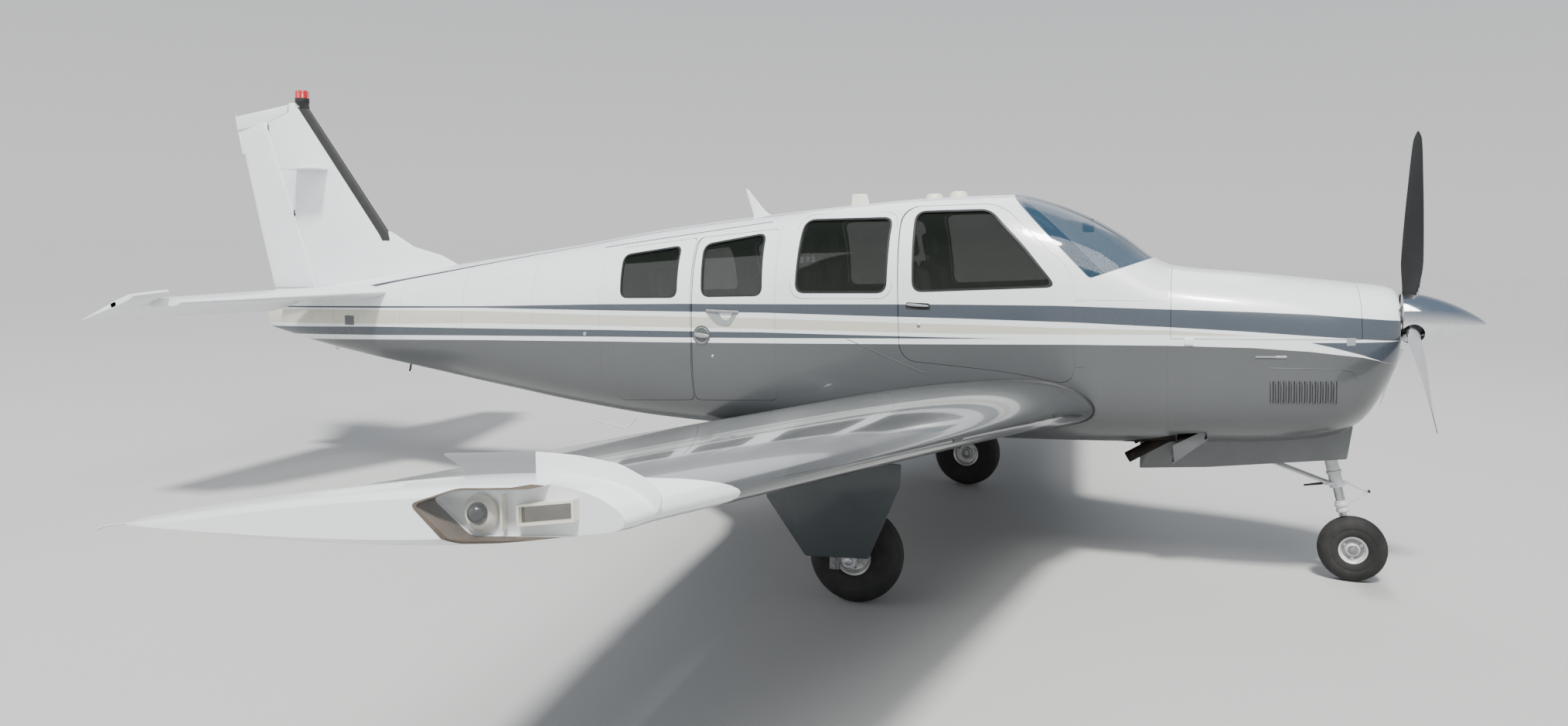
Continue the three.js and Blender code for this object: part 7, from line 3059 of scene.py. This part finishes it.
    def screen(self) -> None:
        """The windshield's centre post."""
        x0, x1 = self.screen_post
        along = [float(x) for x in np.linspace(x0, x1, 16)]
        stops = [(x, 0.0, self.form.above(x, 0) - 17, 13.0, 5.0) for x in along]
        Bench.done(Bench.beam("windshield_post", stops, 4, 16), self.paints["dark"])

    def build(self) -> None:
        """Builds every fitting."""
        self.seals()
        self.lines()
        self.roof()
        self.vents()
        self.handles()
        self.belly()
        self.screen()


@dataclass
class FinFittings:
    """The fin's rubber boot, aerials, hinge brackets, fixed tab and wick."""

    tail: Tail
    reach: float = 76.0
    proud: float = 1.6
    feet: tuple = (
        (2812, -4636, 30, 10), (2830, -4642, 38, 18), (2850, -4656, 44, 30), (2866, -4665, 50, 44),
        (2871.8, -4667, 52, 50),
    )
    aerial: tuple = ((-4424, 20), (-4712, 20), (-4704, 206), (-4682, 238), (-4446, 238), (-4430, 214))
    brackets: tuple = ((-4973.5, 2704), (-4746, 2056))
    tab: tuple = ((-5292, 2790), (-5306, 2790), (-5246, 2512), (-5214, 2512))
    wick: tuple = ((-5285, 0, 2790), (-5302, 0, 2812), (-5313, 0, 2834))

    def boot(self) -> None:
        """The black rubber along the fin's leading edge, and the foot of the beacon."""
        rows = []
        for z in [*np.linspace(1838, 2826, 21), 2838]:
            nose, _, tail, thick = self.tail.fin_row(float(z))
            chord = nose - tail
            ring = []
            for k in range(-12, 13):
                share = (abs(k) / 12) ** 1.6
                back = self.reach * share
                half = self.tail.foil.half(back / chord, thick / chord) * chord + self.proud
                ring.append((nose + self.proud - back, math.copysign(half, k) if k else 0.0, float(z)))
            rows.append(ring)
        paint = self.tail.paints["boot"]
        Bench.done(Bench.skin("fin_boot", np.array(rows)), paint, slot="dark_plastic", angle=40)
        rows = []
        for z, x, along, across in self.feet:
            angles = [2 * math.pi * k / 32 for k in range(32)]
            rows.append([(x + along * math.cos(a), across * math.sin(a), z) for a in angles])
        Bench.done(Bench.skin("beacon_foot", np.array(rows)), paint, slot="dark_plastic", angle=50)

    def aerials(self) -> None:
        """The flat aerial on each side of the fin."""
        blade = Bench.bevel(Bench.prism("blade", rounded(list(self.aerial), 12), "z", 2364, 2372), 3, 2)
        Bench.pair(blade, "fin_aerial_{}", self.tail.paints["white"])

    def build(self) -> None:
        """Builds the boot, the aerials, the hinge brackets, the tab and the wick."""
        self.boot()
        self.aerials()
        for i, (x, z) in enumerate(self.brackets):
            nose, _, tail, thick = self.tail.fin_row(float(z))
            chord = nose - tail
            half = self.tail.foil.half((nose - x) / chord, thick / chord) * chord
            mark = Bench.block("mark", (x - 6, half - 4, z - 22), (x + 6, half + 2.5, z + 22), 3)
            Bench.pair(mark, "fin_bracket_{}" + f"_{i + 1}", self.tail.paints["boot"])
        plate = Bench.bevel(Bench.prism("rudder_tab", list(self.tab), "y", -2.2, 2.2), 0.8, 2)
        Bench.done(plate, self.tail.paints["tail"], body="rudder")
        wick = Bench.pipe("rudder_wick", list(self.wick), 2.2, False, 2)
        Bench.done(wick, self.tail.paints["leg"], body="rudder")


@dataclass
class TipLights:
    """The wing tips' lamps, the stall strips, the wicks and the dark seal along the root."""

    wing: Wing
    paints: dict[str, bpy.types.Material]

    def root(self) -> None:
        """The dark seal where the wing meets the body."""
        form = self.wing.form
        points = []
        steps = self.wing.foil.steps
        for k in range(2 * steps + 1):
            y = 560.0
            for _ in range(12):
                ring = self.wing.ring(y)
                y = 0.5 * y + 0.5 * form.side(float(ring[k][0]), float(ring[k][2]))
            ring = self.wing.ring(y)
            if ring[k][2] > 700:
                points.append((float(ring[k][0]), y + 5.0, float(ring[k][2])))
        cut = [p for p in points if p[0] > -1010]
        Bench.pair(Bench.pipe("root", cut, 9, False, 3), "wing_root_seal_{}", self.paints["seal"])

    def lamps(self) -> None:
        """The ball lamp and the box lamp behind each tip's clear cover."""
        for side, word in ((1, "left"), (-1, "right")):
            flip = Matrix.Scale(side, 4, (0, 1, 0))
            bulb = Bench.ball("bulb", (290, 5058, 1264), (21, 21, 21), 20)
            cup = [(0, 12), (0, 39), (8, 39), (19, 28), (19, 20.5)]
            ring = Bench.lathe("ring", cup, (286, 5035, 1259), "y", 48)
            corners = [(376, 1242), (502, 1260), (502, 1302), (376, 1285)]
            box = Bench.prism("box", corners, "y", 5034, 5056)
            Bench.cut(box, Bench.prism("hole", inset(corners, 5), "y", 5040, 5060))
            glass = Bench.prism("glass", inset(corners, 4.8), "y", 5036, 5045)
            wall = Bench.block("wall", (338, 5034, 1232), (343, 5054, 1300))
            for name, piece, paint in (
                ("bulb", bulb, "dial" if side < 0 else "red"), ("ring", ring, "cream"),
                ("box", box, "cream"), ("glass", glass, "mirror"), ("wall", wall, "cream"),
            ):
                Bench.moved(piece, flip)
                Bench.done(piece, self.paints[paint], body="airframe").name = f"tip_lamp_{name}_{word}"

    def edge(self) -> None:
        """The stall strips on the leading edge, and the wick of the tip."""
        for i, y in enumerate((2790.0, 1630.0, 1100.0)):
            _, x, z, *_ = between(self.wing.rows, y)
            _, x1, z1, *_ = between(self.wing.rows, y + 110)
            rows = []
            for t in np.linspace(0, 1, 5):
                u, v = x + (x1 - x) * float(t), z + (z1 - z) * float(t)
                here = y + 110 * float(t)
                rows.append([(u - 6, here, v - 12), (u + 5, here, v), (u - 4, here, v + 10)])
            strip = Bench.skin("strip", np.array(rows))
            Bench.pair(strip, "stall_strip_{}" + f"_{i + 1}", self.paints["dark"])
        wick = Bench.pipe("wick", [(-600, 5062, 1184), (-672, 5070, 1174), (-700, 5070, 1164)], 2.4, False, 2)
        Bench.pair(wick, "tip_wick_{}", self.paints["leg"])

    def build(self) -> None:
        """Builds the seals, the lamps and what stands on the edges."""
        self.root()
        self.lamps()
        self.edge()


@dataclass
class Pillow:
    """One padded part of a seat, drawn facing forward about the cushion's rear edge."""

    name: str
    middle: Point
    size: Point
    lean: float
    fill: float
    channels: int
    taper: float = 1.0

    def shape(self, half: float) -> bpy.types.Object:
        """The pillow before it is blown up: a box with drawn-in corners.

        Args:
            half: Half of the seat's width.

        Returns:
            The closed form.
        """
        length, thick = self.size[0] / 2, self.size[2] / 2
        rows = []
        for t in np.linspace(-1, 1, 15):
            end = max(1 - abs(t) ** 8, 0.0) ** 0.35
            reach = half * self.size[1] * (1 - (1 - self.taper) * (t + 1) / 2) * (0.90 + 0.10 * end)
            depth = thick * (0.42 + 0.58 * end)
            ring = []
            for k in range(32):
                angle = 2 * math.pi * k / 32
                c, s = math.cos(angle), math.sin(angle)
                u = reach * math.copysign(abs(c) ** 0.42, c)
                v = depth * math.copysign(abs(s) ** 0.62, s)
                ring.append((length * t, u, v))
            rows.append(ring)
        return Bench.skin(self.name, np.array(rows))

    def blown(self, piece: bpy.types.Object, cap: float = 24.0) -> bpy.types.Object:
        """Blows the pillow up as cloth under pressure, and keeps the result.

        Args:
            piece: The closed form, which is changed.
            cap: How far a point may move.

        Returns:
            The same piece.
        """
        Bench.only(piece)
        piece.data.remesh_voxel_size = 11.0
        bpy.ops.object.voxel_remesh()
        Bench.moved(piece, Matrix.Scale(0.001, 4))
        start = np.array([vertex.co[:] for vertex in piece.data.vertices])
        Bench.only(piece)
        bpy.ops.object.modifier_add(type="CLOTH")
        cloth = piece.modifiers[-1]
        cloth.settings.use_pressure = True
        cloth.settings.uniform_pressure_force = 4.0
        cloth.settings.quality = 4
        cloth.settings.effector_weights.gravity = 0.0
        for frame in range(1, 15):
            bpy.context.scene.frame_set(frame)
        bpy.ops.object.modifier_apply(modifier=cloth.name)
        bpy.context.scene.frame_set(1)
        moved = np.array([vertex.co[:] for vertex in piece.data.vertices]) - start
        length = np.linalg.norm(moved, axis=1, keepdims=True)
        moved *= np.minimum(1.0, (cap / 1000) / np.maximum(length, 1e-9))
        for vertex, co in zip(piece.data.vertices, start + moved, strict=True):
            vertex.co = co
        return Bench.moved(piece, Matrix.Scale(1000, 4))

    def sewn(self, piece: bpy.types.Object, half: float) -> bpy.types.Object:
        """Presses the sewn channels and the welt round the edge into the pillow.

        Args:
            piece: The blown pillow.
            half: Half of the seat's width.

        Returns:
            The same piece.
        """
        thick = self.size[2] / 2
        reach = self.size[0] / 2
        for vertex in piece.data.vertices:
            u, w, v = vertex.co
            share = 0.0
            for k in range(1, self.channels):
                place = half * self.size[1] * (2 * k / self.channels - 1)
                share = max(share, math.exp(-(((w - place) / 7.0) ** 2)))
            if v > 0:
                inside = min(max((reach * 0.86 - abs(u)) / 30, 0.0), 1.0)
                vertex.co.z = v - 9.0 * share * inside * min(v / thick, 1.0)
        Bench.apply(piece, "SUBSURF", levels=1, render_levels=1)
        return piece

    def made(self, half: float) -> bpy.types.Object:
        """The finished pillow at its own middle."""
        return self.sewn(self.blown(self.shape(half)), half)

    def placed(self, x: float, y: float, way: int) -> Matrix:
        """Where the pillow goes on a seat.

        Args:
            x: The rear of the seat's cushion.
            y: The seat's middle.
            way: 1 where it faces forward, -1 aft.

        Returns:
            The matrix from the pillow's own middle.
        """
        turn = Matrix.Rotation(math.radians(self.lean), 4, "Y")
        local = Matrix.Translation(self.middle) @ turn
        face = Matrix.Rotation(0.0 if way > 0 else math.pi, 4, "Z")
        return Matrix.Translation((x, y, 0)) @ face @ local


@dataclass
class Seats:
    """The four single seats and the rear bench: blown cushions on framed pedestals."""

    paints: dict[str, bpy.types.Material]
    singles: tuple = (
        ("seat_front_left", 20.0, 265.0, 1), ("seat_front_right", 20.0, -265.0, 1),
        ("seat_middle_left", -660.0, 245.0, -1), ("seat_middle_right", -660.0, -245.0, -1),
    )
    half: float = 213.0
    bench: tuple = ("seat_rear", -1640.0, 0.0, 1)
    bench_half: float = 372.0
    floor: float = 748.3

    def pillows(self, wide: bool) -> tuple[Pillow, ...]:
        """The padded parts of a seat.

        Args:
            wide: True for the rear bench.

        Returns:
            The cushion, the back and the headrest.
        """
        rows = 7 if wide else 4
        taper = 0.86 if wide else 0.92
        return (
            Pillow("cushion", (232.0, 0.0, 1078.0), (396.0, 0.94, 96.0), -2.0, 0.7, rows),
            Pillow("back", (36.0, 0.0, 1408.0), (500.0, 0.93, 76.0), -97.0, 0.7, rows, taper),
            Pillow("headrest", (-12.0, 0.0, 1766.0), (136.0, 0.56, 58.0), -99.0, 0.8, 1, 0.94),
        )

    def frame(self, half: float) -> bpy.types.Object:
        """The pedestal, the pan, the back board and the headrest's posts.

        Args:
            half: Half of the seat's width.

        Returns:
            The frame, about the cushion's rear edge.
        """
        wide = half - 22
        parts = [
            Bench.block("pan", (24, -wide, 1008), (420, wide, 1034), 12, 4),
            Bench.block("skirt", (66, -half + 56, self.floor + 26), (372, half - 56, 1010), 14, 4),
        ]
        for y in (-half + 70, half - 70):
            parts.append(Bench.block("rail", (40, y - 16, self.floor), (400, y + 16, self.floor + 28), 4, 3))
        board = [
            (14, 1040), (2, 1052), (-38, 1640), (-30, 1662),
            (-14, 1664), (-8, 1640), (30, 1052), (28, 1040),
        ]
        parts.append(Bench.bevel(Bench.prism("board", board, "y", -half * 0.86, half * 0.86), 5, 3))
        for y in (-half * 0.26, half * 0.26):
            parts.append(Bench.pipe("post", [(-18, y, 1640), (-24, y, 1690), (-30, y, 1745)], 6, False, 3))
        return Bench.joined("frame", parts)

    def build(self) -> None:
        """Builds one single seat and copies it, then the bench."""
        hide = self.paints["hide"]
        for wide in (False, True):
            half = self.bench_half if wide else self.half
            pillows = self.pillows(wide)
            shapes = [pillow.made(half) for pillow in pillows]
            frame = self.frame(half)
            for name, x, y, way in ((self.bench,) if wide else self.singles):
                base = Matrix.Translation((x, y, 0)) @ Matrix.Rotation(0 if way > 0 else math.pi, 4, "Z")
                body = Bench.moved(Bench.copy(frame, name + "_frame"), base)
                Bench.done(body, self.paints["dark"], slot="upholstery")
                for i, (pillow, shape) in enumerate(zip(pillows, shapes, strict=True)):
                    piece = Bench.copy(shape, f"{name}_{pillow.name}")
                    Bench.moved(piece, pillow.placed(x, y, way))
                    Bench.done(piece, hide, slot="upholstery", replaces=[name] if i == 0 else (), angle=180)
            Bench.bin(frame, *shapes)


@dataclass
class Cockpit:
    """The instrument board with its dials, the shelf, the yokes, the visors and the compass."""

    form: BodyForm
    paints: dict[str, bpy.types.Material]
    face: float = 929.0
    dials: tuple = (
        (210, 1418, 40), (300, 1418, 40), (390, 1418, 40), (210, 1328, 40), (300, 1328, 40), (390, 1328, 40),
        (-400, 1418, 26), (-340, 1418, 26), (-280, 1418, 26), (-400, 1352, 26), (-340, 1352, 26),
    )
    screens: tuple = ((40, 1370, 150, 62), (40, 1290, 150, 44), (40, 1228, 150, 30), (-150, 1400, 120, 80))

    def board(self) -> None:
        """The board and the shelf over it, which fill the space from wall to wall."""
        outline = [
            (930, 1500), (930, 1190), (990, 1190), (990, 1480), (1300, 1560),
            (1280, 1588), (1100, 1572), (902, 1546), (900, 1538),
        ]
        cavity = self.form.loft("cavity", -1950, 1413, 42.4)
        board = Bench.prism("instrument_board", outline, "y", -600, 600)
        Bench.cut(board, cavity, "INTERSECT")
        Bench.bevel(board, 5, 3, 0.6)
        Bench.done(board, self.paints["dark"], slot="dark_plastic", replaces=["instrument_panel"])

    def instruments(self) -> None:
        """The round dials, the radio stack and the switches."""
        rims, faces, marks = [], [], []
        for y, z, radius in self.dials:
            profile = [
                (-3, radius - 5), (-9, radius - 4), (-11, radius),
                (-9, radius + 3), (1, radius + 4), (1, radius - 5),
            ]
            rims.append(Bench.lathe("rim", profile, (self.face, y, z), "x", 40))
            ends = (self.face + 1, y, z), (self.face - 2.5, y, z)
            faces.append(Bench.rod("face", *ends, radius - 4, sides=40))
            for k in range(12):
                angle = math.pi * k / 6
                c, s = math.cos(angle), math.sin(angle)
                a = (self.face - 3.0, y + c * radius * 0.68, z + s * radius * 0.68)
                b = (self.face - 3.0, y + c * radius * 0.82, z + s * radius * 0.82)
                marks.append(Bench.rod("mark", a, b, 0.9, sides=6))
            turn = y * 0.05 + z
            tip = (self.face - 4.2, y + radius * 0.5 * math.sin(turn), z + radius * 0.5 * math.cos(turn))
            marks.append(Bench.rod("hand", (self.face - 4.2, y, z), tip, 1.2, sides=8))
        for y, z, wide, high in self.screens:
            low = (self.face - 9, y - wide / 2, z - high / 2)
            top = (self.face + 1, y + wide / 2, z + high / 2)
            rims.append(Bench.block("case", low, top, 3, 2))
            glass = Bench.block(
                "glass", (self.face - 10.5, y - wide / 2 + 10, z - high / 2 + 9),
                (self.face - 8, y + wide / 2 - 10, z + high / 2 - 9), 1, 1,
            )
            faces.append(glass)
            for side in (-1, 1):
                spot = (self.face - 8, y + side * (wide / 2 - 5), z)
                rims.append(Bench.rod("knob", spot, (self.face - 22, spot[1], z), 4, 3, sides=16))
        for k in range(9):
            y = 430 - k * 26
            low, top = (self.face - 14, y - 4, 1236), (self.face + 1, y + 4, 1256)
            rims.append(Bench.block("switch", low, top, 2, 2))
        group = [
            Bench.painted(Bench.joined("rims", rims), self.paints["dark"]),
            Bench.painted(Bench.joined("faces", faces), self.paints["dial"]),
            Bench.painted(Bench.joined("marks", marks), self.paints["mark"]),
        ]
        Bench.done(Bench.joined("instruments", group), None, slot="dark_plastic")

    def yokes(self) -> None:
        """The centre column with a yoke for each front seat, and the throttle knobs."""
        parts = [Bench.rod("column", (self.face + 1, 0, 1210), (830, 0, 1215), 26, 24, sides=40)]
        arm = [(832, -270, 1222), (832, -60, 1216), (832, 60, 1216), (832, 270, 1222)]
        parts.append(Bench.pipe("cross", arm, 15, False, 4))
        for y in (-270, 270):
            grip = [
                (800, y - 120, 1330), (798, y - 132, 1280), (804, y - 100, 1238), (820, y - 40, 1226),
                (826, y, 1224),
                (820, y + 40, 1226), (804, y + 100, 1238), (798, y + 132, 1280), (800, y + 120, 1330),
            ]
            parts.append(Bench.pipe("yoke", grip, 13, False, 4))
            parts.append(Bench.block("hub", (806, y - 42, 1200), (842, y + 42, 1250), 9, 4))
        for y, z in ((60, 1218), (0, 1196), (-60, 1218)):
            parts.append(Bench.rod("lever", (self.face + 1, y, z), (870, y, z), 5, sides=16))
            parts.append(Bench.ball("knob", (864, y, z), (12, 15, 15), 12))
        Bench.done(Bench.joined("control_yokes", parts), self.paints["dark"], slot="dark_plastic", angle=45)

    def overhead(self) -> None:
        """The sun visors and the compass at the post."""
        for side, word in ((1, "left"), (-1, "right")):
            stops = []
            for x, drop in ((560, 0), (640, 22), (720, 60), (770, 92)):
                z = min(self.form.above(x, 250) - 62, 1958) - drop * 0.9
                stops.append((x, side * 265, z, 128, 7))
            visor = Bench.beam(f"sun_visor_{word}", stops, 6, 24)
            Bench.done(visor, self.paints["dark"], slot="dark_plastic")
        x = 1010
        z = self.form.above(x, 0) - 62
        body = [
            Bench.ball("compass", (x, 0, z), (30, 32, 30), 20),
            Bench.rod("bracket", (x + 12, 0, z + 20), (x + 18, 0, z + 48), 8, sides=16),
        ]
        case = [(-34, 22), (-36, 27), (-30, 31), (22, 31), (26, 24), (26, 0), (-8, 0), (-8, 22)]
        case = Bench.lathe("case", case, (x, 0, z), "x", 40)
        Bench.done(Bench.joined("compass", [*body, case]), self.paints["dark"], slot="dark_plastic", angle=45)

    def build(self) -> None:
        """Builds the board and all that is round it."""
        self.board()
        self.instruments()
        self.yokes()
        self.overhead()


def main() -> None:
    """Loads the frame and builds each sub-assembly over it."""
    logging.basicConfig(level=logging.INFO, format="%(name)s: %(message)s")
    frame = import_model()
    Studio().build()
    body = BodyForm()
    paints = Paints().build()
    tail = Tail(body, paints)
    wing = Wing(body, paints)
    crew = (
        Cabin(body, paints),
        tail,
        wing,
        Fittings(body, paints),
        FinFittings(tail),
        TipLights(wing, paints),
        Seats(paints),
        Cockpit(body, paints),
        Cowl(body, paints),
        Propeller(paints),
        MainGear(paints),
        NoseGear(body, paints),
        Wheel(paints, "main_wheel_left", (0, 1462.5, 235), 235, 176, 88),
        Wheel(paints, "main_wheel_right", (0, -1462.5, 235), 235, 176, 88),
        Wheel(
            paints, "nose_wheel", (2396, 0, 176), 176, 124, 72,
            bolts=3, grooves=(0.16, 0.44), rim_paint="nose_rim", face="cast",
        ),
    )
    for worker in crew:
        worker.build()
        LOG.info("%s is built", type(worker).__name__)
    Carried(frame, paints).dress()


if __name__ == "__main__":
    main()
